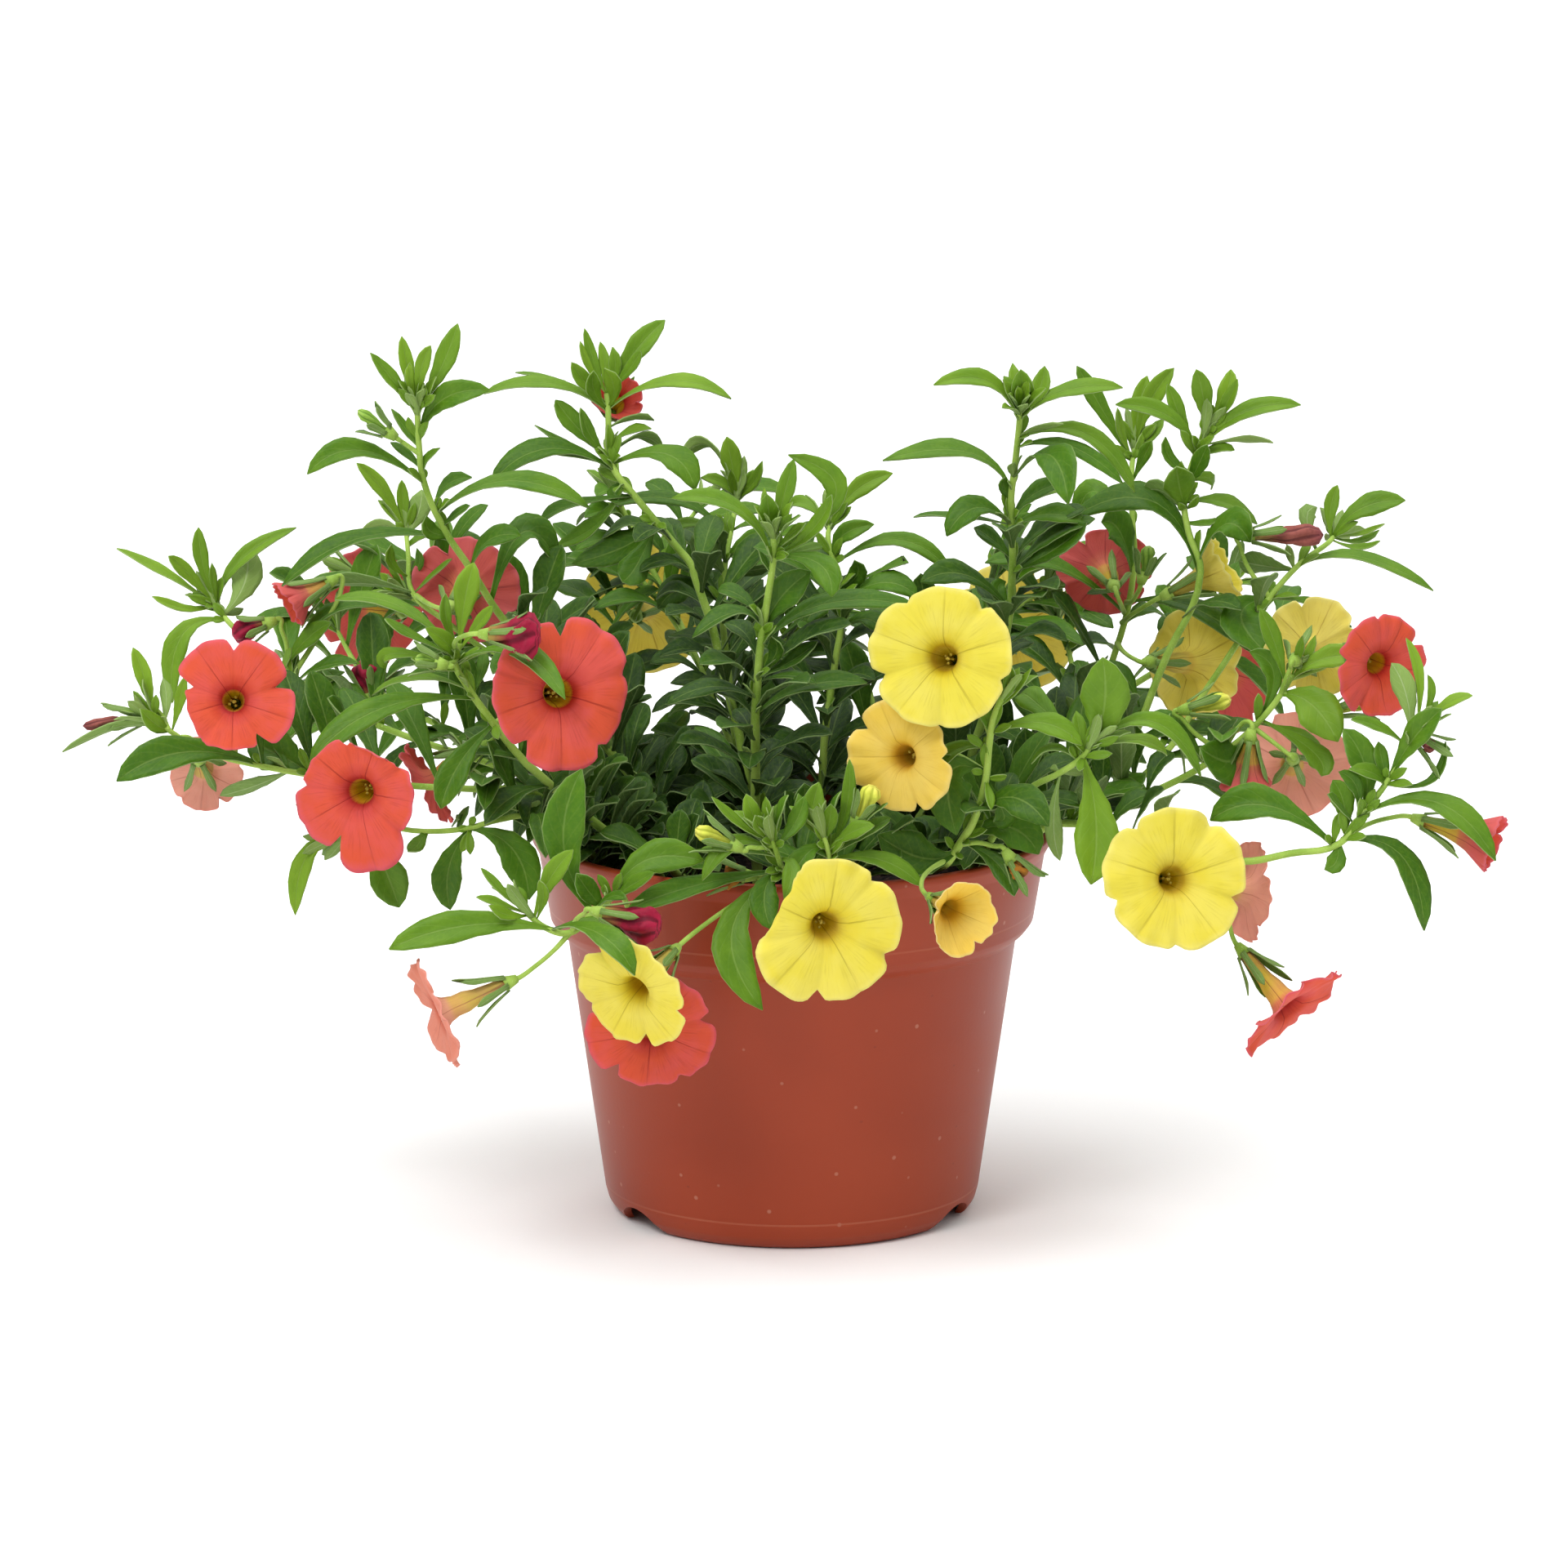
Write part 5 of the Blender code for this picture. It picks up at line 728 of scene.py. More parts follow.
# The plant as the photograph shows it. Places are its pixels, with a depth behind the pot's axis in mm.
SHOOTS: tuple[Shoot, ...] = (
    Shoot("shoot_left_low", (-42, -14), 1.15, (0.12, 0.62), (
        (655, 972, -34), (575, 966, -40), (500, 962, -42), (430, 955, -42), (330, 940, -42),
        (245, 917, -42), (205, 893, -42), (186, 879, -42)), (
        (205, 897, 150, 888, 76, 920, -2, 5.0, -0.45), (190, 880, 178, 835, 163, 793, 3, 5.6, 0.85),
        (208, 893, 190, 886, 172, 868, -5, 6.0, 0.8), (205, 885, 204, 858, 200, 831, 7, 4.5, -0.6),
        (215, 890, 219, 862, 226, 828, 2, 4.0, 0.5), (315, 936, 225, 920, 142, 956, -7, 9.5, 0.75),
        (376, 958, 345, 925, 302, 906, 6, 11.5, 0.8), (350, 955, 312, 960, 270, 972, 8, 5.5, -0.5),
        (395, 955, 385, 975, 362, 985, 3, 4.5, 0.4))),
    Shoot("shoot_left_high", (-36, 4), 1.2, (0.15, 0.5), (
        (735, 980, -6), (600, 935, -12), (480, 895, -16), (395, 858, -20), (345, 820, -22),
        (283, 765, -24), (264, 741, -24)), (
        (262, 738, 205, 703, 143, 671, 2, 4.6, 0.35), (257, 730, 232, 704, 207, 681, -4, 5.2, 0.7),
        (256, 727, 248, 690, 243, 646, 1, 5.4, 0.9), (262, 742, 225, 744, 188, 729, -5, 4.2, 0.5),
        (272, 735, 292, 688, 362, 644, 4, 5.8, 0.55), (280, 748, 300, 712, 300, 668, 10, 11.0, -0.9),
        (283, 757, 222, 778, 210, 861, -6, 8.5, 0.55), (271, 738, 262, 715, 260, 690, -3, 3.0, 0.4),
        (352, 815, 372, 785, 405, 762, -3, 5.5, 0.6), (365, 838, 395, 815, 437, 811, -3, 5.2, 0.35),
        (362, 830, 390, 758, 462, 741, 4, 5.0, 0.25), (385, 850, 392, 832, 422, 822, 3, 5.0, 0.5),
        (400, 862, 375, 880, 352, 897, -4, 6.5, 0.5), (470, 890, 420, 850, 366, 890, 3, 8.5, 0.6)),
        30.0),
    Shoot("shoot_left_front", (-30, -20), 1.5, (0.1, 0.45), (
        (700, 985, -36), (640, 930, -44), (600, 880, -47), (572, 840, -48), (557, 810, -48),
        (563, 788, -48)), (
        (572, 860, 462, 868, 378, 936, -8, 9.5, 0.6), (552, 803, 492, 742, 409, 732, 3, 7.0, 0.35),
        (572, 778, 569, 735, 580, 689, 1, 8.8, 0.9), (550, 790, 547, 760, 546, 728, -3, 4.0, 0.8),
        (565, 812, 642, 795, 693, 857, -14, 6.0, 0.35), (560, 815, 550, 790, 522, 769, -7, 6.0, 0.7),
        (545, 800, 502, 775, 472, 757, -3, 4.6, 0.4), (558, 858, 510, 828, 455, 851, 4, 5.6, 0.25),
        (592, 900, 562, 935, 540, 990, -6, 8.5, 0.8), (640, 930, 610, 922, 575, 920, -2, 3.2, 0.4),
        (568, 800, 585, 765, 603, 742, -2, 4.4, 0.7), (575, 850, 590, 820, 592, 795, 6, 4.0, 0.5),
        (566, 820, 535, 815, 505, 805, -6, 4.5, 0.6), (500, 800, 480, 800, 473, 820, 4, 5.0, 0.7))),
    Shoot("shoot_left_hanging", (-44, -22), 1.05, (0.1, 0.5), (
        (655, 1000, -52), (610, 1004, -58), (573, 1014, -60), (520, 1018, -56), (450, 1012, -50),
        (412, 1024, -48)), (
        (418, 1024, 375, 1048, 361, 1121, -4, 7.2, 0.75),
        (447, 1012, 470, 1062, 489, 1112, 1, 12.5, 0.9),
        (577, 1016, 550, 1060, 551, 1115, 1, 7.6, 0.85),
        (573, 1012, 628, 1040, 648, 1102, -3, 9.5, 0.85), (558, 1004, 566, 995, 552, 1012, 3, 5.0, 0.7),
        (520, 1018, 510, 1035, 500, 1042, -5, 4.5, 0.5), (425, 1022, 410, 1040, 398, 1052, 5, 4.0, -0.5))),
    Shoot("shoot_top_left", (-24, 6), 1.35, (0.1, 0.5), (
        (800, 985, 2), (690, 850, 0), (610, 750, -4), (575, 695, -5), (545, 650, -5), (519, 590, -5),
        (513, 545, -5), (511, 500, -5)), (
        (511, 499, 485, 470, 454, 432, -3, 5.0, 0.6), (509, 492, 500, 455, 492, 412, 2, 4.8, 0.85),
        (513, 490, 515, 455, 527, 424, -5, 5.0, 0.85), (513, 496, 540, 450, 560, 396, 4, 7.4, 0.75),
        (511, 498, 503, 470, 502, 445, -2, 3.6, 0.6), (515, 540, 540, 490, 599, 477, -5, 8.4, 0.75),
        (513, 592, 440, 550, 375, 580, -4, 6.8, 0.6), (516, 578, 521, 562, 538, 548, -3, 2.8, 0.5),
        (512, 575, 495, 552, 478, 541, 3, 3.0, 0.5), (541, 622, 625, 587, 723, 622, 6, 7.2, 0.45),
        (538, 615, 548, 592, 578, 584, 3, 4.2, 0.5), (546, 668, 442, 657, 344, 717, -2, 6.4, 0.4),
        (540, 663, 527, 650, 523, 632, -5, 4.4, 0.8), (548, 640, 560, 627, 574, 618, -4, 3.0, 0.5),
        (575, 695, 598, 660, 638, 655, -4, 6.2, 0.5), (600, 735, 640, 650, 684, 688, 5, 9.4, 0.5),
        (512, 545, 497, 525, 480, 500, 3, 3.2, 0.4)), -22.0),
    Shoot("shoot_left_back", (-32, 16), 1.1, (0.15, 0.6), (
        (760, 930, 18), (640, 830, 18), (545, 760, 18), (505, 725, 18), (500, 680, 18), (497, 648, 18)), (
        (495, 652, 470, 602, 437, 567, 0, 5.4, 0.75), (497, 652, 494, 620, 492, 588, 2, 4.4, 0.6),
        (503, 656, 512, 628, 516, 600, 4, 8.6, -0.85), (487, 712, 480, 690, 480, 668, -4, 3.8, 0.7),
        (505, 727, 440, 712, 369, 722, -3, 6.8, -0.45), (500, 657, 470, 642, 440, 656, 5, 5.0, -0.5),
        (508, 724, 528, 705, 552, 683, -2, 3.2, 0.3), (504, 700, 513, 690, 510, 672, -3, 3.4, 0.6),
        (497, 655, 485, 632, 463, 612, 4, 4.2, 0.5), (503, 668, 528, 650, 545, 655, 4, 4.6, 0.5)),
        22.0),
    Shoot("shoot_top_middle", (-8, 16), 1.35, (0.1, 0.45), (
        (905, 900, 18), (870, 760, 17), (845, 690, 16), (800, 635, 15), (757, 583, 14), (745, 558, 14),
        (745, 505, 14), (743, 482, 14)), (
        (741, 503, 672, 468, 592, 481, 0, 6.4, 0.4), (741, 495, 690, 468, 631, 454, 6, 3.4, 0.25),
        (752, 500, 818, 466, 897, 486, -2, 6.6, 0.45), (753, 482, 776, 432, 814, 391, 4, 8.2, 0.75),
        (741, 496, 718, 470, 701, 444, -3, 5.4, 0.8), (743, 490, 742, 455, 735, 418, 4, 4.2, 0.7),
        (741, 484, 728, 445, 716, 402, 3, 3.8, 0.6), (739, 482, 722, 450, 711, 418, 0, 2.8, 0.5),
        (748, 486, 753, 455, 750, 425, 1, 4.4, 0.7), (742, 500, 728, 480, 727, 455, -6, 5.4, 0.9),
        (748, 500, 752, 476, 740, 452, -5, 6.2, 0.85), (758, 478, 770, 452, 783, 430, -3, 4.6, 0.6),
        (738, 565, 706, 522, 681, 489, 2, 6.4, 0.65), (742, 560, 724, 535, 712, 500, -3, 4.2, 0.6),
        (748, 524, 772, 512, 801, 513, 4, 5.0, -0.4), (750, 545, 772, 526, 798, 524, 2, 4.0, 0.4),
        (752, 556, 782, 533, 811, 549, 5, 5.2, -0.4), (740, 572, 702, 548, 655, 520, 3, 3.2, 0.2),
        (742, 576, 700, 556, 643, 547, -2, 4.0, 0.35), (748, 578, 670, 548, 600, 592, -5, 8.2, 0.5),
        (754, 567, 818, 555, 852, 600, -6, 9.6, 0.5), (742, 636, 752, 608, 762, 588, 3, 4.2, 0.6),
        (735, 640, 700, 617, 658, 640, 4, 5.0, 0.4), (765, 590, 732, 640, 678, 668, 6, 5.6, 0.5),
        (800, 640, 770, 665, 700, 690, 5, 8.8, 0.6), (805, 640, 780, 690, 762, 712, -5, 8.4, 0.7)),
        10.0),
    Shoot("shoot_upper_middle", (-8, 25), 1.15, (0.1, 0.55), (
        (900, 900, 30), (885, 760, 29), (888, 690, 28), (897, 640, 27), (903, 607, 27)), (
        (905, 606, 897, 572, 890, 535, 1, 7.6, 0.9), (908, 606, 923, 590, 932, 565, -2, 4.4, 0.6),
        (901, 602, 882, 590, 858, 584, -1, 4.8, 0.55), (904, 605, 897, 592, 895, 576, -4, 3.2, 0.8),
        (893, 662, 830, 611, 744, 619, 0, 6.6, 0.4), (888, 690, 910, 663, 946, 654, -3, 5.4, 0.5),
        (886, 702, 870, 682, 848, 655, -2, 8.2, -0.6), (889, 705, 915, 697, 945, 694, 4, 7.0, -0.6),
        (890, 655, 850, 640, 812, 652, 5, 4.6, 0.5), (885, 740, 840, 718, 805, 745, -3, 8.8, 0.5),
        (893, 650, 925, 640, 948, 655, 2, 4.2, 0.4), (900, 612, 870, 545, 832, 565, 8, 6.2, -0.4)),
        28.0),
    Shoot("shoot_centre", (-8, -14), 1.45, (0.1, 0.4), (
        (925, 985, -18), (925, 870, -24), (930, 800, -25), (938, 745, -26), (945, 700, -26),
        (948, 675, -26), (947, 652, -26)), (
        (948, 667, 943, 640, 939, 606, -4, 7.4, 0.95), (946, 652, 938, 622, 936, 597, 3, 3.0, 0.7),
        (950, 656, 959, 610, 972, 562, 3, 6.2, 0.9), (963, 682, 993, 650, 1018, 606, -3, 5.4, 0.7),
        (962, 678, 1024, 604, 965, 557, 3, 8.2, 0.7), (957, 684, 1003, 690, 1018, 731, -7, 9.2, 0.9),
        (943, 690, 905, 622, 822, 608, -3, 7.0, 0.45), (932, 772, 903, 748, 846, 779, -5, 6.2, 0.3),
        (938, 780, 955, 733, 992, 700, -2, 8.6, 0.85), (941, 790, 1010, 738, 1128, 742, 4, 7.4, 0.45),
        (920, 856, 872, 839, 816, 862, -4, 6.0, 0.4), (927, 876, 988, 838, 1062, 836, -3, 6.4, 0.4),
        (931, 826, 950, 800, 944, 780, -4, 4.6, 0.6), (931, 830, 970, 808, 1000, 785, -3, 4.6, 0.5),
        (930, 834, 965, 826, 1000, 836, -5, 4.0, 0.3), (945, 700, 938, 688, 930, 674, -2, 3.0, 0.4),
        (962, 690, 985, 672, 1008, 668, 4, 4.4, 0.4), (960, 676, 968, 655, 985, 640, -5, 3.6, 0.6),
        (936, 760, 905, 728, 878, 722, 5, 5.0, 0.5)), -14.0),
    Shoot("shoot_right_middle", (6, 10), 1.2, (0.1, 0.55), (
        (1010, 900, 10), (1030, 760, 10), (1024, 700, 10), (1014, 660, 10), (1016, 642, 10)), (
        (1020, 648, 1046, 602, 1093, 579, 0, 7.0, 0.8), (1016, 645, 1028, 628, 1036, 616, -3, 3.2, 0.6),
        (1014, 684, 1032, 655, 1070, 642, -3, 6.4, 0.75),
        (1022, 690, 1100, 660, 1166, 702, -1, 7.0, 0.55),
        (1048, 722, 1049, 705, 1046, 687, -4, 6.0, 0.9), (1140, 702, 1106, 686, 1073, 700, 5, 4.4, 0.4),
        (1008, 640, 985, 616, 966, 622, 5, 6.0, 0.5), (1014, 665, 985, 650, 955, 655, 4, 5.6, 0.4),
        (1030, 742, 1080, 712, 1124, 730, -4, 8.0, 0.5), (1030, 760, 1010, 738, 985, 765, -4, 7.0, 0.5),
        (1026, 770, 1060, 756, 1084, 775, -4, 7.2, 0.4)), 12.0),
    Shoot("shoot_top_right", (22, 8), 1.35, (0.1, 0.45), (
        (1180, 950, 10), (1225, 820, 11), (1238, 740, 11), (1240, 680, 11), (1238, 610, 11),
        (1244, 560, 11), (1248, 520, 11), (1249, 500, 11)), (
        (1246, 516, 1210, 466, 1143, 471, -2, 6.6, 0.55),
        (1254, 514, 1302, 478, 1375, 474, -2, 6.6, 0.55),
        (1247, 506, 1240, 478, 1229, 460, 2, 4.2, 0.6), (1248, 506, 1244, 475, 1240, 444, 4, 4.4, 0.75),
        (1250, 508, 1252, 482, 1250, 454, -5, 7.6, 0.9),
        (1254, 508, 1270, 482, 1279, 448, 3, 6.4, 0.75),
        (1252, 536, 1330, 530, 1392, 603, 5, 7.6, 0.55),
        (1252, 546, 1310, 545, 1376, 592, -3, 5.8, 0.55),
        (1252, 534, 1272, 524, 1302, 518, -5, 4.2, -0.4),
        (1244, 586, 1285, 555, 1308, 617, -6, 10.4, 0.55),
        (1243, 636, 1266, 604, 1312, 588, 3, 5.2, 0.5), (1233, 603, 1185, 552, 1080, 562, -2, 7.0, 0.4),
        (1234, 608, 1230, 597, 1231, 585, -3, 3.2, 0.7),
        (1240, 643, 1195, 620, 1158, 656, -4, 8.0, 0.5), (1236, 642, 1175, 632, 1118, 630, 4, 3.6, 0.2),
        (1234, 686, 1216, 660, 1193, 645, 2, 5.0, 0.5), (1244, 646, 1285, 628, 1335, 640, 4, 6.4, 0.5),
        (1215, 742, 1182, 702, 1127, 713, -3, 7.4, 0.5),
        (1240, 700, 1290, 672, 1330, 640, -3, 7.4, 0.5), (1228, 745, 1222, 722, 1232, 712, 3, 4.2, 0.6)),
        -30.0),
    Shoot("shoot_top_right_back", (28, 18), 1.2, (0.1, 0.5), (
        (1300, 940, 22), (1365, 800, 20), (1388, 700, 18), (1386, 620, 17), (1386, 572, 16),
        (1390, 545, 16)), (
        (1392, 545, 1408, 492, 1437, 451, -2, 7.2, 0.75),
        (1388, 545, 1394, 500, 1405, 460, 3, 6.2, 0.8), (1372, 562, 1348, 498, 1319, 448, 2, 6.4, 0.75),
        (1384, 560, 1374, 532, 1369, 500, -3, 3.4, 0.5), (1390, 560, 1408, 535, 1425, 512, 3, 4.6, 0.5),
        (1386, 592, 1400, 560, 1410, 540, -3, 4.6, 0.6),
        (1385, 757, 1292, 690, 1206, 687, -6, 7.4, 0.4),
        (1385, 742, 1460, 742, 1545, 802, -8, 7.0, 0.45),
        (1386, 650, 1340, 600, 1318, 640, 4, 8.0, 0.5), (1388, 700, 1372, 650, 1350, 640, -4, 9.0, 0.6)),
        26.0),
    Shoot("shoot_right_crown", (32, 12), 1.3, (0.1, 0.45), (
        (1350, 950, 6), (1430, 800, 5), (1470, 700, 4), (1455, 650, 4), (1450, 610, 4), (1462, 562, 4),
        (1477, 528, 4)), (
        (1477, 527, 1474, 490, 1465, 453, -2, 7.4, 0.85),
        (1481, 527, 1499, 490, 1507, 452, 3, 6.6, 0.75),
        (1482, 524, 1500, 497, 1514, 465, -3, 4.4, 0.65),
        (1472, 558, 1520, 506, 1593, 494, -3, 6.8, 0.6),
        (1480, 552, 1518, 538, 1559, 540, 4, 5.4, -0.35),
        (1465, 600, 1466, 572, 1478, 545, -6, 5.6, 0.8),
        (1452, 624, 1445, 598, 1441, 572, -8, 9.6, 0.95),
        (1460, 550, 1430, 508, 1366, 495, -1, 7.0, 0.55),
        (1458, 555, 1445, 510, 1430, 470, 3, 5.2, 0.6), (1455, 612, 1500, 614, 1541, 641, 4, 7.2, 0.4),
        (1474, 700, 1412, 612, 1310, 632, 6, 9.4, 0.45),
        (1453, 640, 1478, 640, 1490, 635, -3, 3.2, 0.4), (1468, 690, 1500, 640, 1530, 665, 6, 9.0, 0.5),
        (1456, 580, 1432, 560, 1428, 535, 2, 4.0, 0.5), (1470, 590, 1482, 585, 1484, 600, 4, 4.8, 0.6),
        (1452, 628, 1425, 600, 1402, 602, 5, 6.4, -0.5), (1474, 562, 1495, 548, 1512, 551, 1, 4.0, 0.5)),
        6.0),
    Shoot("shoot_right_high", (38, 4), 1.15, (0.1, 0.5), (
        (1400, 950, -4), (1480, 840, -8), (1550, 738, -10), (1590, 692, -12), (1626, 665, -12),
        (1634, 655, -12)), (
        (1631, 660, 1629, 625, 1638, 594, 3, 5.2, 0.85),
        (1633, 661, 1666, 622, 1721, 612, -2, 8.6, 0.65),
        (1640, 662, 1668, 652, 1694, 640, -4, 2.8, 0.4), (1641, 665, 1665, 662, 1688, 648, 2, 3.0, 0.5),
        (1638, 667, 1664, 670, 1688, 661, -5, 3.0, 0.5),
        (1591, 695, 1662, 680, 1757, 721, -2, 6.0, 0.35),
        (1582, 697, 1545, 690, 1517, 685, -2, 9.0, -0.55),
        (1558, 735, 1592, 734, 1620, 740, 4, 3.4, 0.35),
        (1535, 712, 1520, 752, 1552, 800, -10, 12.5, 0.8),
        (1610, 672, 1600, 635, 1612, 622, 4, 6.0, -0.6)), 34.0),
    Shoot("shoot_right_outer", (42, -2), 1.25, (0.1, 0.5), (
        (1400, 975, -24), (1500, 920, -34), (1545, 880, -38), (1572, 845, -39), (1583, 826, -39)), (
        (1577, 842, 1562, 790, 1543, 745, 2, 6.4, 0.7),
        (1585, 838, 1620, 806, 1665, 805, -3, 8.2, 0.75),
        (1582, 832, 1590, 802, 1594, 780, -4, 3.2, 0.6), (1583, 834, 1600, 804, 1610, 778, 1, 3.2, 0.6),
        (1566, 850, 1606, 862, 1638, 908, -9, 15.0, 0.9),
        (1552, 922, 1512, 930, 1470, 915, -8, 15.0, 0.9),
        (1576, 905, 1608, 920, 1618, 950, -4, 7.8, 0.7), (1538, 880, 1560, 826, 1530, 798, 3, 6.6, 0.6),
        (1470, 935, 1440, 890, 1400, 885, 3, 6.6, 0.5), (1560, 905, 1590, 897, 1620, 915, 4, 4.4, 0.4))),
    Shoot("shoot_right_trailing", (44, -14), 1.25, (0.1, 0.35), (
        (1290, 1008, -36), (1430, 1040, -50), (1520, 1055, -54), (1580, 1045, -54), (1640, 1033, -54),
        (1670, 995, -53), (1700, 955, -52), (1716, 925, -52), (1735, 893, -52)), (
        (1634, 1030, 1552, 985, 1480, 1004, 4, 9.8, 0.65),
        (1642, 1040, 1636, 1055, 1622, 1064, -2, 5.2, 0.75),
        (1652, 1038, 1718, 1048, 1745, 1140, -3, 8.0, 0.45),
        (1676, 1000, 1762, 982, 1832, 1054, -8, 8.0, 0.5),
        (1704, 958, 1730, 905, 1765, 868, -4, 8.2, 0.65),
        (1697, 953, 1692, 930, 1688, 908, 3, 4.4, 0.7), (1650, 1026, 1646, 985, 1632, 955, 3, 6.4, 0.6),
        (1664, 1002, 1662, 965, 1640, 945, -3, 4.4, 0.5),
        (1700, 960, 1680, 945, 1652, 941, -4, 5.2, 0.6), (1668, 995, 1672, 940, 1645, 892, 6, 8.0, 0.7),
        (1735, 990, 1752, 955, 1769, 908, 2, 2.8, 0.5), (1738, 895, 1770, 862, 1803, 851, -2, 4.4, 0.5),
        (1735, 895, 1752, 855, 1748, 826, 2, 2.8, 0.5), (1725, 905, 1722, 850, 1704, 812, 3, 8.0, -0.6),
        (1730, 880, 1738, 830, 1722, 781, 6, 3.6, 0.5), (1722, 915, 1690, 890, 1655, 880, -4, 4.8, 0.5),
        (1728, 905, 1750, 882, 1765, 868, 5, 3.8, 0.5), (1662, 1012, 1640, 985, 1628, 972, -6, 3.4, 0.5))),
    Shoot("shoot_front_right", (28, -28), 1.45, (0.0, 0.0), (
        (1160, 1058, -46), (1190, 1010, -54), (1206, 960, -58), (1212, 905, -60), (1218, 875, -60),
        (1228, 852, -60)), (
        (1210, 945, 1152, 948, 1162, 1042, -8, 14.0, 0.9),
        (1221, 900, 1275, 884, 1326, 912, -3, 7.6, 0.7),
        (1228, 862, 1236, 838, 1236, 814, -3, 4.4, 0.7), (1214, 896, 1206, 872, 1196, 850, 2, 4.8, 0.7),
        (1209, 916, 1168, 918, 1118, 968, 5, 6.4, 0.5), (1198, 998, 1240, 975, 1284, 1012, 3, 9.6, 0.7),
        (1186, 1030, 1235, 1012, 1272, 1046, -4, 10.0, 0.75),
        (1185, 1035, 1222, 1058, 1242, 1097, -8, 5.6, 0.75),
        (1175, 1046, 1130, 1050, 1075, 1022, -2, 11.0, 0.8),
        (1222, 868, 1240, 848, 1262, 818, -1, 3.4, 0.5),
        (1207, 952, 1230, 1000, 1215, 1000, 4, 7.0, 0.6))),
    Shoot("shoot_right_front", (40, -22), 1.25, (0.05, 0.45), (
        (1222, 1015, -42), (1262, 965, -52), (1300, 945, -58), (1326, 926, -60), (1338, 910, -60)), (
        (1337, 916, 1352, 868, 1350, 806, -4, 17.0, 0.95),
        (1327, 930, 1342, 1004, 1336, 1083, -8, 15.0, 0.95),
        (1334, 920, 1410, 882, 1474, 951, 2, 7.4, 0.55), (1328, 925, 1322, 895, 1318, 870, 3, 5.0, 0.5),
        (1300, 946, 1290, 1005, 1298, 1052, 6, 5.6, -0.5),
        (1330, 922, 1270, 860, 1250, 850, 6, 10.0, 0.6), (1338, 920, 1395, 905, 1430, 925, 7, 7.0, 0.4),
        (1322, 932, 1290, 915, 1262, 935, 5, 4.6, 0.4))),
    Shoot("shoot_front_centre", (4, -34), 1.15, (0.0, 0.0), (
        (962, 1082, -58), (958, 1062, -66), (950, 1042, -70), (942, 1022, -71)), (
        (941, 1028, 925, 1003, 914, 973, -2, 5.8, 0.9), (945, 1030, 947, 1008, 952, 984, 3, 5.4, 0.85),
        (940, 1034, 906, 1008, 873, 975, -2, 3.4, 0.6), (948, 1052, 900, 1030, 859, 1078, -6, 6.6, 0.5),
        (950, 1036, 972, 1010, 985, 975, 3, 6.2, 0.8), (950, 1054, 970, 1062, 960, 1102, -5, 6.4, 0.7),
        (952, 1048, 900, 1040, 855, 1042, 3, 4.4, 0.4), (956, 1066, 850, 1084, 768, 1114, -6, 7.6, 0.7),
        (954, 1070, 896, 1140, 934, 1236, -16, 12.0, 0.85),
        (956, 1064, 936, 1092, 945, 1138, -8, 9.4, 0.8), (944, 1026, 930, 1012, 926, 1000, -6, 4.2, 0.9))),
    Shoot("shoot_front_tip", (14, -38), 1.1, (0.0, 0.0), (
        (1012, 1078, -60), (1018, 1055, -66), (1012, 1035, -68), (1006, 1018, -68)), (
        (1005, 1024, 996, 995, 1003, 958, 3, 7.4, 0.85),
        (1009, 1026, 1016, 1004, 1017, 985, -2, 5.4, 0.8),
        (1003, 1028, 988, 1002, 978, 972, 0, 5.6, 0.8),
        (1015, 1042, 1040, 1020, 1070, 1010, -3, 6.0, 0.6),
        (1012, 1040, 985, 1048, 962, 1100, -6, 8.0, 0.7),
        (1018, 1050, 1060, 1018, 1090, 1000, 4, 5.4, 0.5),
        (1018, 1052, 1078, 1052, 1130, 1085, -4, 7.0, 0.6),
        (1014, 1060, 1010, 1040, 990, 1040, -5, 5.0, 0.6),
        (1018, 1050, 1036, 990, 1040, 930, 3, 4.6, 0.6))),
    Shoot("shoot_front_left", (-22, -34), 1.35, (0.0, 0.0), (
        (806, 1062, -54), (760, 1090, -66), (722, 1122, -72), (698, 1142, -74), (668, 1136, -73),
        (645, 1118, -72)), (
        (682, 1144, 575, 1132, 476, 1162, -5, 11.0, 0.75),
        (680, 1138, 742, 1136, 784, 1198, -12, 9.0, 0.65),
        (655, 1122, 672, 1078, 701, 1041, -3, 7.0, 0.8), (645, 1116, 614, 1090, 590, 1062, 2, 3.2, 0.5),
        (643, 1120, 612, 1106, 584, 1097, -2, 3.4, 0.5),
        (648, 1122, 622, 1120, 600, 1108, -6, 4.8, 0.7), (648, 1115, 625, 1095, 602, 1086, 5, 3.2, 0.5),
        (752, 1095, 792, 1052, 862, 1054, 0, 9.8, 0.75), (728, 1116, 690, 1035, 712, 942, 2, 12.4, 0.9),
        (735, 1112, 720, 1090, 706, 1070, -4, 6.4, 0.8),
        (745, 1105, 770, 1085, 800, 1068, -6, 5.0, 0.6),
        (722, 1122, 745, 1098, 765, 1100, -8, 4.0, 0.5), (655, 1128, 665, 1100, 660, 1080, -6, 4.0, 0.7))),
    Shoot("shoot_back_left", (-26, 34), 1.3, (0.1, 0.98), (
        (760, 930, 48), (640, 820, 62), (540, 745, 74), (470, 712, 80), (430, 700, 82)), (), 0.0,
        ((0.3, 60.0, 42.0), (0.55, 200.0, 34.0), (0.72, 100.0, 30.0))),
    Shoot("shoot_back_middle", (-4, 40), 1.3, (0.1, 0.98), (
        (900, 920, 50), (850, 800, 64), (800, 700, 74), (765, 630, 79), (752, 600, 80)), (), 0.0,
        ((0.3, 20.0, 40.0), (0.5, 130.0, 34.0), (0.7, 60.0, 28.0))),
    Shoot("shoot_back_right", (20, 36), 1.3, (0.1, 0.98), (
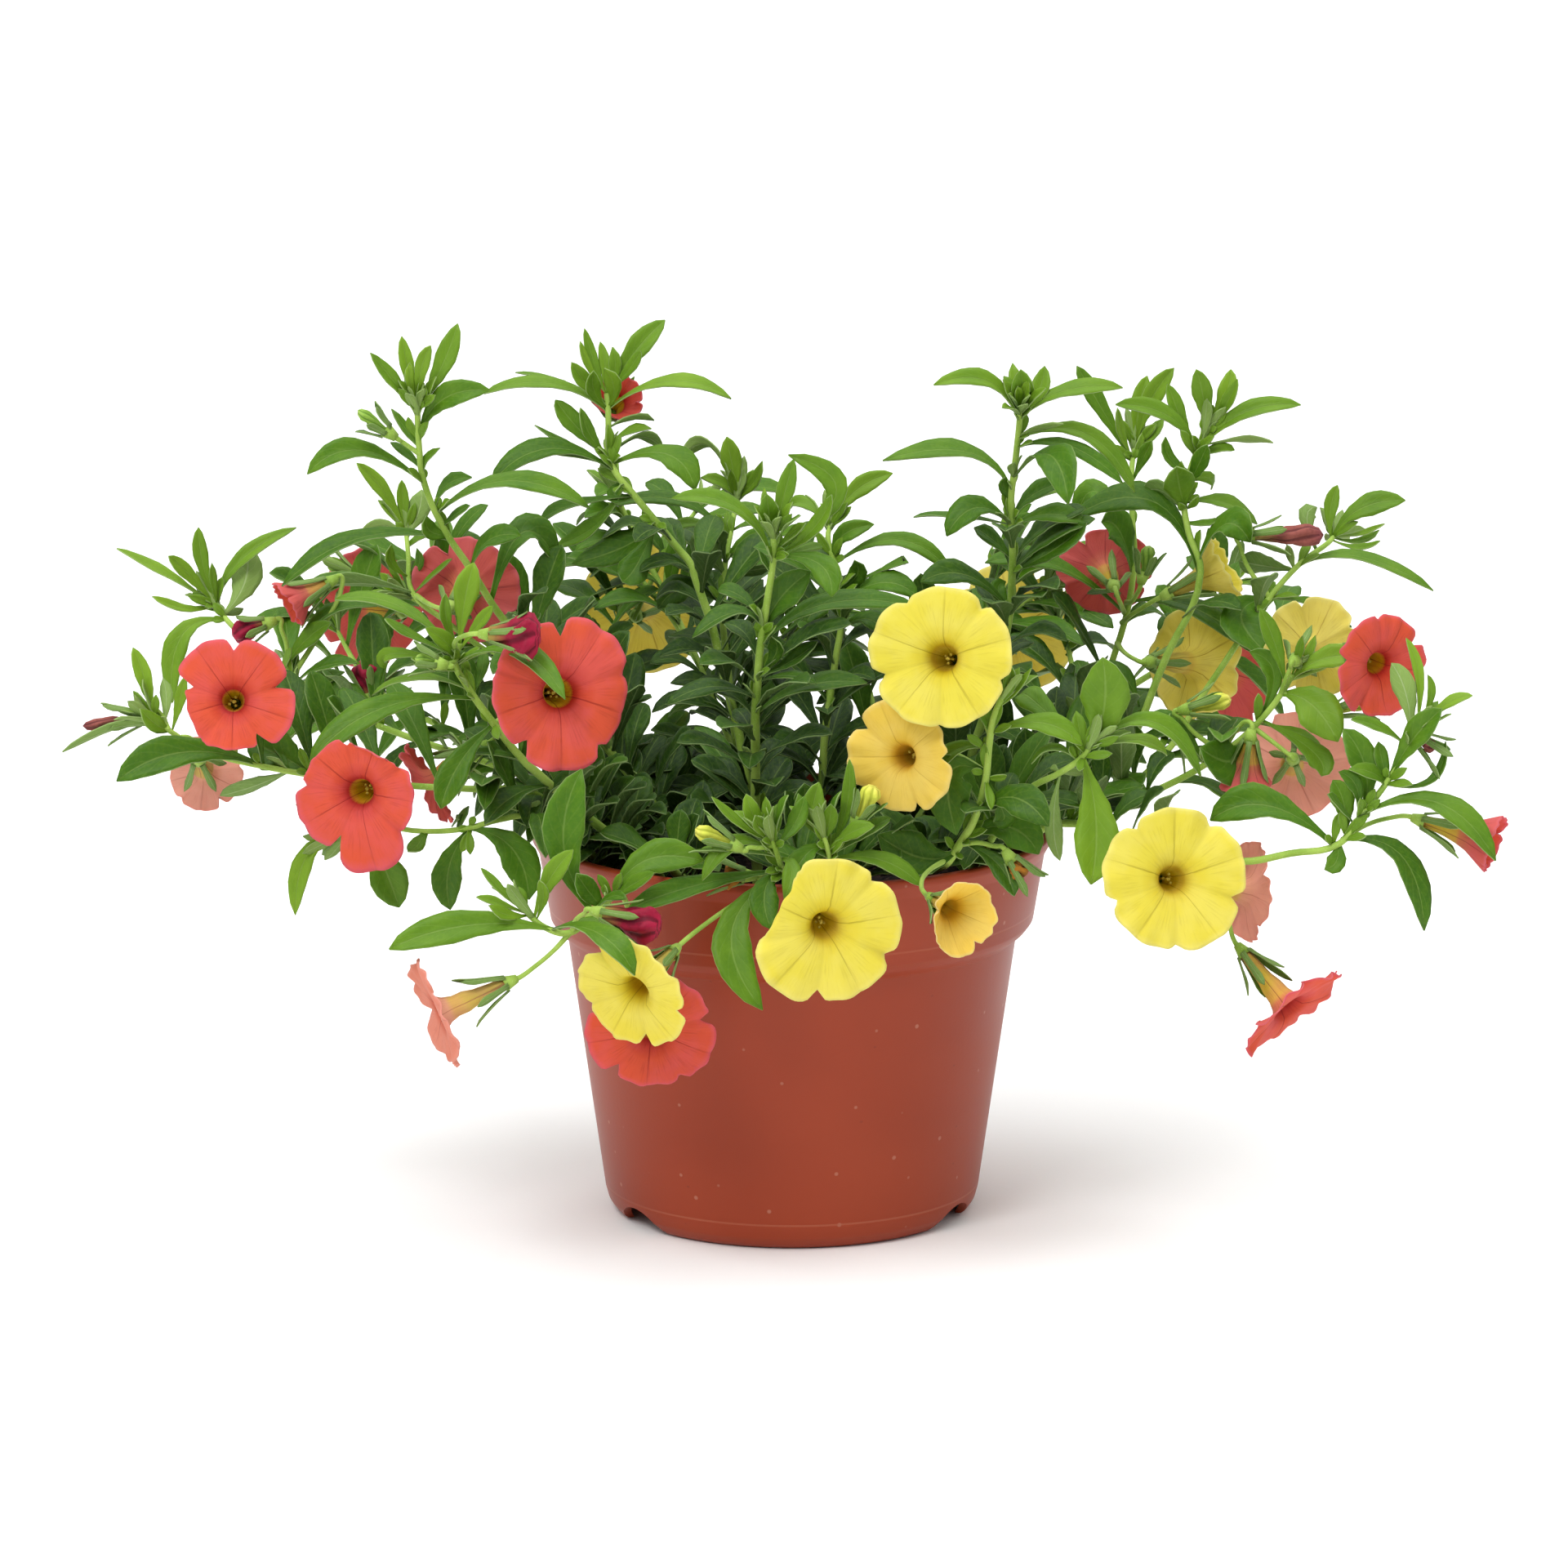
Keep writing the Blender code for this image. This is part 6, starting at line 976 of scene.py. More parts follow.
        (1060, 920, 48), (1150, 820, 64), (1215, 740, 74), (1262, 690, 80), (1285, 668, 82)), (), 0.0,
        ((0.3, 150.0, 42.0), (0.55, 10.0, 34.0), (0.72, 80.0, 30.0))),
    Shoot("shoot_back_far_right", (40, 24), 1.25, (0.1, 0.98), (
        (1240, 940, 36), (1370, 850, 48), (1480, 790, 58), (1560, 770, 64), (1600, 768, 66)), (), 0.0,
        ((0.35, 100.0, 40.0), (0.65, 60.0, 32.0))),
    Shoot("shoot_back_far_left", (-44, 18), 1.25, (0.1, 0.98), (
        (650, 950, 32), (520, 880, 44), (420, 850, 52), (350, 832, 56), (322, 825, 58)), (), 0.0,
        ((0.35, 80.0, 40.0), (0.65, 120.0, 32.0))),
)

FLOWERS: tuple[Flower, ...] = (
    Flower("corolla_yellow_top", Hue.YELLOW, Form.OPEN, "shoot_front_right", 1212, 902,
           1152, 805, -66, (-0.22, 0.02, 1.0), 33.5, 19.0),
    Flower("corolla_amber", Hue.AMBER, Form.OPEN, "shoot_front_right", 1208, 945,
           1100, 928, -64, (-0.5, -0.1, 0.85), 27.0, 17.0),
    Flower("corolla_yellow_front", Hue.YELLOW, Form.OPEN, "shoot_front_tip", 1016, 1058,
           1014, 1138, -92, (0.2, -0.2, 1.0), 34.0, 19.0),
    Flower("corolla_yellow_wilting", Hue.AMBER, Form.FUNNEL, "shoot_front_right", 1166, 1052,
           1182, 1126, -84, (0.55, -0.35, 0.75), 18.0, 12.0),
    Flower("corolla_yellow_right", Hue.YELLOW, Form.OPEN, "shoot_right_trailing", 1430, 1040,
           1440, 1077, -76, (0.18, 0.0, 1.0), 33.5, 19.0),
    Flower("corolla_yellow_left", Hue.YELLOW, Form.OPEN, "shoot_front_centre", 958, 1072,
           772, 1218, -92, (-0.5, -0.5, 0.7), 28.0, 18.0),
    Flower("corolla_yellow_side", Hue.YELLOW, Form.FUNNEL, "shoot_top_right_back", 1386, 760,
           1505, 692, 14, (0.85, 0.4, 0.15), 16.0, 15.0),
    Flower("corolla_yellow_back", Hue.YELLOW, Form.OPEN, "shoot_top_right_back", 1372, 785,
           1465, 812, 16, (0.62, 0.0, -0.78), 27.0, 18.0),
    Flower("corolla_yellow_hidden", Hue.YELLOW, Form.OPEN, "shoot_right_outer", 1572, 850,
           1608, 792, -16, (0.3, 0.2, -0.9), 24.0, 16.0),
    Flower("corolla_coral_left", Hue.CORAL, Form.OPEN, "shoot_left_low", 290, 932,
           285, 857, -58, (0.02, 0.05, 1.0), 26.5, 16.0),
    Flower("corolla_coral_middle", Hue.CORAL, Form.OPEN, "shoot_left_front", 602, 884,
           688, 848, -62, (0.28, 0.0, 1.0), 35.5, 19.0),
    Flower("corolla_coral_low", Hue.CORAL, Form.OPEN, "shoot_left_low", 500, 962,
           436, 972, -66, (-0.28, -0.15, 0.95), 30.0, 18.0),
    Flower("corolla_peach_left", Hue.PEACH, Form.OPEN, "shoot_left_low", 245, 918,
           252, 948, -30, (0.05, -0.25, -1.0), 18.0, 14.0),
    Flower("corolla_red_top_left", Hue.CORAL, Form.OPEN, "shoot_left_back", 508, 728,
           572, 722, 32, (0.2, 0.25, -0.9), 27.0, 16.0),
    Flower("corolla_red_far_left", Hue.CORAL, Form.FUNNEL, "shoot_left_high", 358, 828,
           350, 742, -4, (-0.8, -0.45, 0.2), 12.5, 11.0),
    Flower("corolla_red_fold_left", Hue.CORAL, Form.OPEN, "shoot_left_front", 602, 886,
           520, 962, -36, (-0.75, -0.5, -0.1), 23.0, 15.0),
    Flower("corolla_peach_hanging", Hue.PEACH, Form.OPEN, "shoot_front_left", 698, 1142,
           530, 1244, -78, (-0.9, -0.4, 0.12), 28.0, 18.0),
    Flower("corolla_red_front", Hue.CORAL, Form.OPEN, "shoot_front_left", 760, 1090,
           797, 1264, -74, (-0.05, -0.35, 0.95), 30.0, 15.0),
    Flower("corolla_red_right_back", Hue.CORAL, Form.OPEN, "shoot_top_right_back", 1386, 755,
           1352, 698, 30, (-0.1, 0.25, -0.9), 23.0, 15.0),
    Flower("corolla_red_right", Hue.CORAL, Form.OPEN, "shoot_right_outer", 1580, 832,
           1694, 816, -40, (0.5, -0.25, 0.8), 26.0, 15.0),
    Flower("corolla_peach_right", Hue.PEACH, Form.OPEN, "shoot_right_outer", 1535, 890,
           1582, 938, -16, (0.05, -0.1, -1.0), 27.0, 16.0),
    Flower("corolla_red_fold_right", Hue.CORAL, Form.FUNNEL, "shoot_right_outer", 1500, 921,
           1524, 962, -30, (-0.1, -0.95, -0.3), 13.0, 11.0),
    Flower("corolla_salmon_right", Hue.PEACH, Form.OPEN, "shoot_right_trailing", 1400, 1034,
           1533, 1092, -40, (0.9, -0.1, -0.35), 25.0, 17.0),
    Flower("corolla_coral_hanging", Hue.CORAL, Form.OPEN, "shoot_right_trailing", 1505, 1054,
           1584, 1241, -64, (0.58, -0.72, 0.3), 31.0, 18.0),
    Flower("corolla_coral_far_right", Hue.CORAL, Form.FUNNEL, "shoot_right_trailing", 1648, 1028,
           1835, 1035, -50, (0.93, -0.3, 0.15), 14.0, 18.0),
    Flower("corolla_red_top", Hue.CORAL, Form.FUNNEL, "shoot_top_middle", 745, 525,
           756, 484, 32, (0.15, 0.35, 0.9), 13.0, 11.0),
    Flower("bud_red_middle", Hue.CORAL, Form.CLOSED, "shoot_left_front", 563, 800,
           662, 780, -64, (0.95, -0.05, 0.2), 9.6, 11.5),
    Flower("bud_red_front", Hue.CORAL, Form.CLOSED, "shoot_front_left", 700, 1141,
           810, 1138, -86, (0.93, -0.25, 0.2), 8.0, 14.0),
    Flower("corolla_coral_back", Hue.CORAL, Form.OPEN, "shoot_back_left", 470, 712,
           455, 742, 92, (-0.45, 0.1, -0.9), 31.0, 18.0),
    Flower("corolla_yellow_back_left", Hue.YELLOW, Form.OPEN, "shoot_back_middle", 800, 700,
           790, 742, 95, (0.1, 0.15, -1.0), 33.0, 19.0),
    Flower("corolla_yellow_back_right", Hue.YELLOW, Form.OPEN, "shoot_back_right", 1215, 740,
           1240, 770, 94, (0.2, 0.1, -1.0), 33.0, 19.0),
    Flower("corolla_coral_back_right", Hue.CORAL, Form.OPEN, "shoot_back_far_right", 1480, 790,
           1500, 820, 84, (0.5, 0.05, -0.9), 31.0, 18.0),
)

BUDS: tuple[Bud, ...] = (
    Bud(Hue.YELLOW, "shoot_front_centre", 946, 1034, 896, 1034, 851, 1015, -2, 3.4),
    Bud(Hue.YELLOW, "shoot_front_tip", 1018, 1050, 1050, 1002, 1072, 962, 0, 4.2),
    Bud(Hue.YELLOW, "shoot_right_outer", 1575, 850, 1638, 870, 1692, 854, 0, 3.6),
    Bud(Hue.YELLOW, "shoot_right_outer", 1502, 920, 1456, 868, 1508, 856, 2, 3.6),
    Bud(Hue.CORAL, "shoot_left_high", 398, 860, 452, 850, 443, 812, 4, 6.0),
    Bud(Hue.CORAL, "shoot_left_high", 350, 822, 326, 764, 284, 778, 2, 5.4),
    Bud(Hue.BROWN, "shoot_right_high", 1556, 732, 1533, 656, 1621, 655, 0, 5.0),
    Bud(Hue.BROWN, "shoot_left_low", 206, 893, 172, 879, 101, 889, 2, 2.6),
    Bud(Hue.BROWN, "shoot_right_trailing", 1728, 905, 1738, 904, 1757, 918, 3, 3.0),
    Bud(Hue.DRIED, "shoot_front_centre", 956, 1064, 912, 1072, 886, 1070, 4, 5.4),
    Bud(Hue.DRIED, "shoot_front_right", 1180, 1036, 1238, 1052, 1254, 1074, -6, 5.0),
    Bud(Hue.GREEN, "shoot_top_left", 512, 556, 474, 528, 438, 502, -2, 2.4),
    Bud(Hue.GREEN, "shoot_left_front", 566, 806, 535, 812, 508, 806, -8, 2.6),
    Bud(Hue.GREEN, "shoot_top_right_back", 1388, 740, 1400, 702, 1408, 668, -14, 3.0),
    Bud(Hue.GREEN, "shoot_top_right_back", 1384, 745, 1380, 712, 1378, 690, 10, 2.4),
)

# The dense part of the canopy, in pixels. Leaves that no pixel fixes stay inside it, seen from the front.
CANOPY: tuple[tuple[float, float], ...] = (
    (330, 700), (430, 650), (520, 640), (600, 590), (700, 570), (820, 575), (900, 590), (1000, 610),
    (1060, 690), (1140, 700), (1200, 690), (1250, 590), (1330, 560), (1440, 540), (1520, 620),
    (1620, 700), (1690, 790), (1720, 880), (1640, 1000), (1480, 1000), (1300, 1000), (1230, 1070),
    (1000, 1110), (800, 1085), (700, 1075), (600, 1020), (500, 960), (380, 960), (290, 900), (250, 800),
)


class Cut(Enum):
    """The outline of a leaf: share of its length, and half its width there as a share of the greatest."""

    LEAF = ((0.0, 0.11), (0.1, 0.15), (0.24, 0.36), (0.42, 0.72), (0.62, 1.0), (0.78, 0.88),
            (0.9, 0.56), (0.97, 0.25), (1.0, 0.03))
    YOUNG = ((0.0, 0.3), (0.15, 0.52), (0.4, 0.9), (0.6, 1.0), (0.8, 0.72), (0.93, 0.34), (1.0, 0.03))
    SEPAL = ((0.0, 0.75), (0.2, 0.7), (0.5, 0.9), (0.7, 1.0), (0.9, 0.62), (1.0, 0.05))

    def half(self, share: float) -> float:
        """Half the width at a share of the length, eased between the outline's points."""
        return eased(self.value, share)


# The settings that most nodes share.
SMOOTH = {"interpolation_type": "SMOOTHSTEP"}
COLOUR = {"data_type": "RGBA"}
ADD = {"operation": "ADD"}
LESS = {"operation": "SUBTRACT"}
TIMES = {"operation": "MULTIPLY"}
MOST = {"operation": "MAXIMUM"}
SIZE = {"operation": "ABSOLUTE"}


def linear(code: str) -> tuple[float, float, float, float]:
    """A colour written as sRGB hex, in the linear values that a shader takes.

    Args:
        code: a hash sign and six digits.

    Returns:
        Red, green, blue and an alpha of one.
    """
    linear_parts = []
    for at in (1, 3, 5):
        part = int(code[at:at + 2], 16) / 255.0
        linear_parts.append(part / 12.92 if part <= 0.04045 else ((part + 0.055) / 1.055) ** 2.4)
    return *linear_parts, 1.0


def per_mm(size: float) -> float:
    """The scale of a pattern on Object coordinates whose features measure a size in mm."""
    return 1.0 / (size * MM)


def add_node(tree: bpy.types.NodeTree, kind: str, *values: object, named: dict[str, object] | None = None,
             output: str = "", **settings: object) -> bpy.types.NodeSocket | None:
    """Adds a node with its settings and links.

    Args:
        tree: the material's or the world's tree.
        kind: the node's type, without the words that all of them start with.
        values: for its first sockets in turn, another node's output to link or a value to set.
        named: the same for further sockets, by their names.
        output: the name of the output that is wanted, where it isn't the first.
        settings: the node's own settings, and stops for a colour ramp.

    Returns:
        The output, where the node has one.
    """
    node = tree.nodes.new("ShaderNode" + kind)
    stops = settings.pop("stops", ())
    for name, value in settings.items():
        setattr(node, name, value)
    for index, (place, colour) in enumerate(stops):
        ramp = node.color_ramp.elements
        stop = ramp[index] if index < len(ramp) else ramp.new(place)
        stop.position = place
        stop.color = linear(colour)
    pairs = list(zip([socket for socket in node.inputs if socket.enabled], values))
    pairs += [(node.inputs[name], value) for name, value in (named or {}).items()]
    for socket, value in pairs:
        if isinstance(value, bpy.types.NodeSocket):
            tree.links.new(value, socket)
        else:
            socket.default_value = value
    return next((socket for socket in node.outputs if socket.enabled and output in ("", socket.name)), None)


def blank(name: str) -> tuple[bpy.types.Material, Callable[..., bpy.types.NodeSocket]]:
    """A new material with an empty tree, and the function that adds a node to that tree."""
    made = bpy.data.materials.new(name)
    made.use_nodes = True
    made.node_tree.nodes.clear()
    return made, partial(add_node, made.node_tree)


@dataclass(frozen=True)
class PotPlastic:
    """Polypropylene, injection moulded and pigmented like terracotta. Sizes and heights are mm."""

    body: str = "#8E3315"
    warm: str = "#963A1C"
    worn: str = "#A85A40"
    dark: str = "#6E2A18"
    dust: str = "#C08A74"
    burn: str = "#4A2317"
    cloud_size: float = 60.0
    grain_size: float = 0.9
    speck_gap: float = 7.5
    pit_gap: float = 9.0
    mould_lines: tuple[float, float] = (6.0, 71.6)
    line_half: tuple[float, float] = (0.12, 0.34)
    scuff: tuple[float, float, float] = (749.0, 1357.0, -32.0)
    scuff_shape: tuple[float, float, float] = (1.4, 0.25, 0.8)
    scuff_reach: tuple[float, float] = (0.4, 0.9)

    def made(self) -> bpy.types.Material:
        """The material, which gives the eye an even warm brown with a satin bloom, flow marks and dust."""
        made, put = blank("polypropylene_moulded_terracotta")
        place = put("TexCoord", output="Object")
        flow = put("Mapping", place, named={"Scale": (1.0, 1.0, 1.6)})
        cloud = put("TexNoise", flow, per_mm(self.cloud_size), 1.0)
        grain = put("TexNoise", place, per_mm(self.grain_size), 2.0)
        # Pits and dust specks of about 0.5 mm, a few to the square centimetre.
        pit = put("TexVoronoi", flow, per_mm(self.pit_gap))
        speck = put("TexVoronoi", place, per_mm(self.speck_gap))
        # The lines where the mould's parts met are worn paler here and there.
        height = put("SeparateXYZ", place, output="Z")
        lines = 0.0
        for level in self.mould_lines:
            off = put("Math", put("Math", height, level * MM, **LESS), **SIZE)
            line = put("MapRange", off, *(half * MM for half in self.line_half), 1.0, 0.0, **SMOOTH)
            lines = put("Math", lines, line, **MOST)
        patchy = put("Math", lines, put("MapRange", cloud, 0.35, 0.6, 0.25, 0.6, **SMOOTH), **TIMES)
        # The one dark scuff, low on the left.
        spot = EYE.spot(*self.scuff)
        shift = tuple(-value * share * MM for value, share in zip(spot, self.scuff_shape))
        near = put("Mapping", place, shift, named={"Scale": self.scuff_shape})
        far = put("VectorMath", near, operation="LENGTH")
        scuffed = put("MapRange", far, *(reach * MM for reach in self.scuff_reach), 0.85, 0.0, **SMOOTH)
        tone = linear(self.body)
        for share, colour in (
            (put("MapRange", cloud, 0.3, 0.7, **SMOOTH), self.warm),
            (put("MapRange", pit, 0.03, 0.06, 0.5, 0.0, **SMOOTH), self.dark),
            (put("MapRange", speck, 0.045, 0.085, 0.4, 0.0, **SMOOTH), self.dust),
            (patchy, self.worn),
            (scuffed, self.burn),
        ):
            tone = put("Mix", share, tone, linear(colour), **COLOUR)
        rise = put("Math", put("Math", grain, 0.35, **TIMES), put("Math", lines, 0.6, **TIMES), **LESS)
        bump = put("Bump", 0.35, 0.12 * MM, named={"Height": rise})
        rough = put("MapRange", cloud, 0.25, 0.75, 0.36, 0.47, **SMOOTH)
        put("OutputMaterial", put("BsdfPrincipled", named={
            "Base Color": tone, "Roughness": rough, "Normal": bump, "IOR": 1.49, "Specular IOR Level": 0.28,
            "Sheen Weight": 0.02, "Sheen Roughness": 0.3}))
        return made


@dataclass(frozen=True)
class Peat:
    """Moist milled peat with fibres. Sizes are mm."""

    black: str = "#0D0907"
    brown: str = "#2E2119"
    straw: str = "#4B3623"
    crumb_size: float = 1.6
    fibre_size: float = 4.0

    def made(self) -> bpy.types.Material:
        """The material, which gives the eye near-black crumbs with brown fibres, dull all over."""
        made, put = blank("peat_milled_moist")
        place = put("TexCoord", output="Object")
        crumb = put("TexNoise", place, per_mm(self.crumb_size), 6.0)
        drawn = put("Mapping", place, named={"Scale": (1.0, 5.0, 2.0)})
        fibre = put("TexNoise", drawn, per_mm(self.fibre_size), 3.0)
        tone = linear(self.black)
        for share, colour in (
            (put("MapRange", crumb, 0.35, 0.7, **SMOOTH), self.brown),
            (put("MapRange", fibre, 0.62, 0.72, **SMOOTH), self.straw),
        ):
            tone = put("Mix", share, tone, linear(colour), **COLOUR)
        bump = put("Bump", 0.9, 0.8 * MM, named={"Height": crumb})
        put("OutputMaterial", put("BsdfPrincipled", named={
            "Base Color": tone, "Roughness": 0.92, "Normal": bump, "Specular IOR Level": 0.25}))
        return made


@dataclass(frozen=True)
class StemSkin:
    """Green stem, grown, with fine glandular hair. Sizes are mm."""

    green: str = "#789A34"
    pale: str = "#9CBA52"
    hair: str = "#B9CC84"
    patch_size: float = 9.0
    hair_size: float = 0.35

    def made(self) -> bpy.types.Material:
        """The material, which gives the eye a pale fresh green and a soft light edge from the hair."""
        made, put = blank("stem_grown_green")
        place = put("TexCoord", output="Object")
        patch = put("TexNoise", place, per_mm(self.patch_size), 2.0)
        fine = put("TexNoise", place, per_mm(self.hair_size), 2.0)
        tone = linear(self.green)
        for share, colour in (
            (put("MapRange", patch, 0.3, 0.7, **SMOOTH), self.pale),
            (put("MapRange", fine, 0.55, 0.8, 0.0, 0.5, **SMOOTH), self.hair),
        ):
            tone = put("Mix", share, tone, linear(colour), **COLOUR)
        bump = put("Bump", 0.4, 0.1 * MM, named={"Height": fine})
        put("OutputMaterial", put("BsdfPrincipled", named={
            "Base Color": tone, "Roughness": 0.6, "Normal": bump, "Specular IOR Level": 0.2,
            "Sheen Weight": 0.15, "Sheen Roughness": 0.4, "Sheen Tint": linear("#E6F2C8")}))
        return made


@dataclass(frozen=True)
class LeafSkin:
    """One side of a living leaf, grown, with a sunk midrib, side ribs and short hair, whose pale margin is
    partly a painted highlight. Sizes are mm.
    """

    name: str
    old: str
    ripe: str
    young: str
    vein_and_painted_light: str
    vein_share: float
    rough: float
    shine: float
    glow: str = "#94BC1C"
    through: float = 0.16
    blotch_size: float = 7.0
    cell_size: float = 0.8
    side_veins: float = 7.0
    slant: float = 0.55

    def made(self) -> bpy.types.Material:
        """The material, which gives the eye greens from deep to fresh as leaves are younger, with painted
        shade deep in the plant, a pale midrib, and a pale margin that is partly painted highlight.
        """
        made, put = blank(self.name)
        along = put("SeparateXYZ", put("UVMap", uv_map="UVMap"))
        across = along.node.outputs["Y"]
        place = put("TexCoord", output="Object")
        # The tone attribute holds how young each leaf is, together with painted shade deep in the plant.
        age = put("Attribute", output="Fac", attribute_name="tone")
        blotch = put("TexNoise", place, per_mm(self.blotch_size), 3.0)
        cells = put("TexNoise", place, per_mm(self.cell_size), 3.0)
        uneven = put("Math", put("Math", blotch, 0.5, **LESS), 0.35, **TIMES)
        tone = put("ValToRGB", put("Math", age, uneven, **ADD),
                   stops=((0.0, self.old), (1.0, self.young), (0.45, self.ripe)))
        side = put("Math", put("Math", across, 0.5, **LESS), **SIZE)
        rib = put("MapRange", side, 0.01, 0.04, 1.0, 0.0, **SMOOTH)
        # Side veins leave the midrib about every 4 mm and run towards the tip.
        slant = put("Math", along, put("Math", side, self.slant, **TIMES), **LESS)
        wave = put("Math", put("Math", slant, math.tau * self.side_veins, **TIMES), operation="SINE")
        branch = put("MapRange", wave, 0.8, 1.0, 0.0, 0.22, **SMOOTH)
        for share, colour in (
            (put("MapRange", cells, 0.35, 0.75, 0.0, 0.14, **SMOOTH), self.young),
            (put("Math", branch, self.vein_share, **TIMES), self.vein_and_painted_light),
            (put("Math", rib, self.vein_share, **TIMES), self.vein_and_painted_light),
            # The pale margin is the fine hair along the edge: partly its own pale colour, partly a painted
            # highlight where it catches the light.
            (put("MapRange", side, 0.47, 0.5, 0.0, 0.28, **SMOOTH), self.vein_and_painted_light),
        ):
            tone = put("Mix", share, tone, linear(colour), **COLOUR)
        rise = put("Math", put("Math", cells, 0.4, **TIMES), put("Math", branch, 1.2, **TIMES), **LESS)
        bump = put("Bump", 0.5, 0.16 * MM, named={"Height": put("Math", rise, rib, **LESS)})
        skin = put("BsdfPrincipled", named={
            "Base Color": tone, "Roughness": self.rough, "Normal": bump, "Specular IOR Level": self.shine,
            "Sheen Weight": 0.03, "Sheen Roughness": 0.4, "Sheen Tint": linear("#DDEBC0")})
        light = put("BsdfTranslucent", put("Mix", 0.4, tone, linear(self.glow), **COLOUR), bump)
        put("OutputMaterial", put("MixShader", self.through, skin, light))
        return made


@dataclass(frozen=True)
class PetalSkin:
    """One side of a living petal. Its map runs round the flower, and from foot to rim. Sizes are mm."""

    name: str
    tube: str
    throat: str
    heart: str
    limb: str
    edge: str
    vein_and_painted_light: str
    ray: float
    through: float
    tube_through: float
    lobes: float = 5.0
    cloud_size: float = 8.0
    streaks: tuple[float, float, float] = (150.0, 5.0, 1.0)

    def made(self) -> bpy.types.Material:
        """The material, which gives the eye a silky limb, thin rays from a deeper throat, painted shade in
        the folds between lobes, and some light.
        """
        made, put = blank(self.name)
        spread = put("UVMap", uv_map="UVMap")
        turn = put("SeparateXYZ", spread)
        reach = turn.node.outputs["Y"]
        cloud = put("TexNoise", put("TexCoord", output="Object"), per_mm(self.cloud_size), 3.0)
        streak = put("TexNoise", put("Mapping", spread, named={"Scale": self.streaks}), 1.0, 3.0)
        ragged = put("Math", put("Math", streak, 0.5, **LESS), 0.09, **TIMES)
        tone = put("ValToRGB", put("Math", reach, ragged, **ADD), stops=(
            (0.0, self.tube), (1.0, self.edge), (0.26, self.tube), (0.32, self.throat), (0.36, self.throat),
            (0.41, self.heart), (0.6, self.limb), (0.86, self.limb)))
        # A main vein runs out along the middle of each lobe, finer ones beside it, and painted shade lies
        # along the fold between lobes.
        turns = put("Math", put("Math", turn, self.lobes, **TIMES), 0.5, **ADD)
        lobe = put("Math", turns, operation="FRACT")
        off = put("Math", put("Math", lobe, 0.5, **LESS), **SIZE)
        bent = put("Math", off, put("Math", put("Math", cloud, 0.5, **LESS), 0.05, **TIMES), **ADD)
        thin = put("Math", put("Math", bent, **SIZE), reach, **TIMES)
        fade = put("MapRange", reach, 0.42, 0.98, 1.0, 0.15, **SMOOTH)
        main = put("Math", put("MapRange", thin, 0.003, 0.014, 1.0, 0.0, **SMOOTH), fade, **TIMES)
        fine = put("Math", put("MapRange", streak, 0.5, 0.7, 0.0, 0.42, **SMOOTH), fade, **TIMES)
        # Painted shade: the fold between two lobes is darkened towards the vein colour.
        fold = put("Math", put("MapRange", off, 0.44, 0.5, 0.0, 0.22, **SMOOTH), fade, **TIMES)
        veins_and_fold_shade = put("Math", put("Math", main, fine, **MOST), fold, **MOST)
        for share, colour in (
            (put("MapRange", cloud, 0.35, 0.7, 0.0, 0.35, **SMOOTH), self.edge),
            (put("Math", veins_and_fold_shade, self.ray, **TIMES), self.vein_and_painted_light),
        ):
            tone = put("Mix", share, tone, linear(colour), **COLOUR)
        rise = put("Math", put("Math", streak, 0.7, **TIMES), main, **LESS)
        bump = put("Bump", 0.45, 0.25 * MM, named={"Height": rise})
        skin = put("BsdfPrincipled", named={
            "Base Color": tone, "Roughness": 0.6, "Normal": bump, "Specular IOR Level": 0.12,
            "Sheen Weight": 0.04, "Sheen Roughness": 0.5})
        clear = put("MapRange", reach, 0.36, 0.5, self.tube_through, self.through, **SMOOTH)
        put("OutputMaterial", put("MixShader", clear, skin, put("BsdfTranslucent", tone, bump)))
        return made


@dataclass(frozen=True)
class BudSkin:
    """A furled or withered petal, whose folds wind from its foot to its tip. Sizes are mm."""

    name: str
    foot: str
    body: str
    tip: str
    fold_shade_and_mottle: str
    rough: float = 0.55
    mottle_size: float = 1.4
    folds: float = 5.0
    wind: float = 0.25

    def made(self) -> bpy.types.Material:
        """The material, which gives the eye the flower's colour, with painted shade in the valleys of its
        folds and a darker mottle.
        """
        made, put = blank(self.name)
        turn = put("SeparateXYZ", put("UVMap", uv_map="UVMap"))
        reach = turn.node.outputs["Y"]
        mottle = put("TexNoise", put("TexCoord", output="Object"), per_mm(self.mottle_size), 4.0)
        tone = put("ValToRGB", reach, stops=(
            (0.0, self.foot), (1.0, self.tip), (0.4, self.body), (0.8, self.body)))
        wound = put("Math", turn, put("Math", reach, self.wind, **TIMES), **ADD)
        fold = put("Math", put("Math", wound, math.tau * self.folds, **TIMES), operation="COSINE")
        # Painted shade: the valleys between the winding pleats are darkened, where the folds turn inward.
        dark = put("MapRange", fold, -0.2, -1.0, 0.0, 0.7, **SMOOTH)
        for share in (dark, put("MapRange", mottle, 0.45, 0.75, 0.0, 0.35, **SMOOTH)):
            tone = put("Mix", share, tone, linear(self.fold_shade_and_mottle), **COLOUR)
        bump = put("Bump", 0.5, 0.3 * MM, named={"Height": mottle})
        put("OutputMaterial", put("BsdfPrincipled", named={
            "Base Color": tone, "Roughness": self.rough, "Normal": bump, "Specular IOR Level": 0.15,
            "Sheen Weight": 0.02, "Sheen Roughness": 0.5}))
        return made


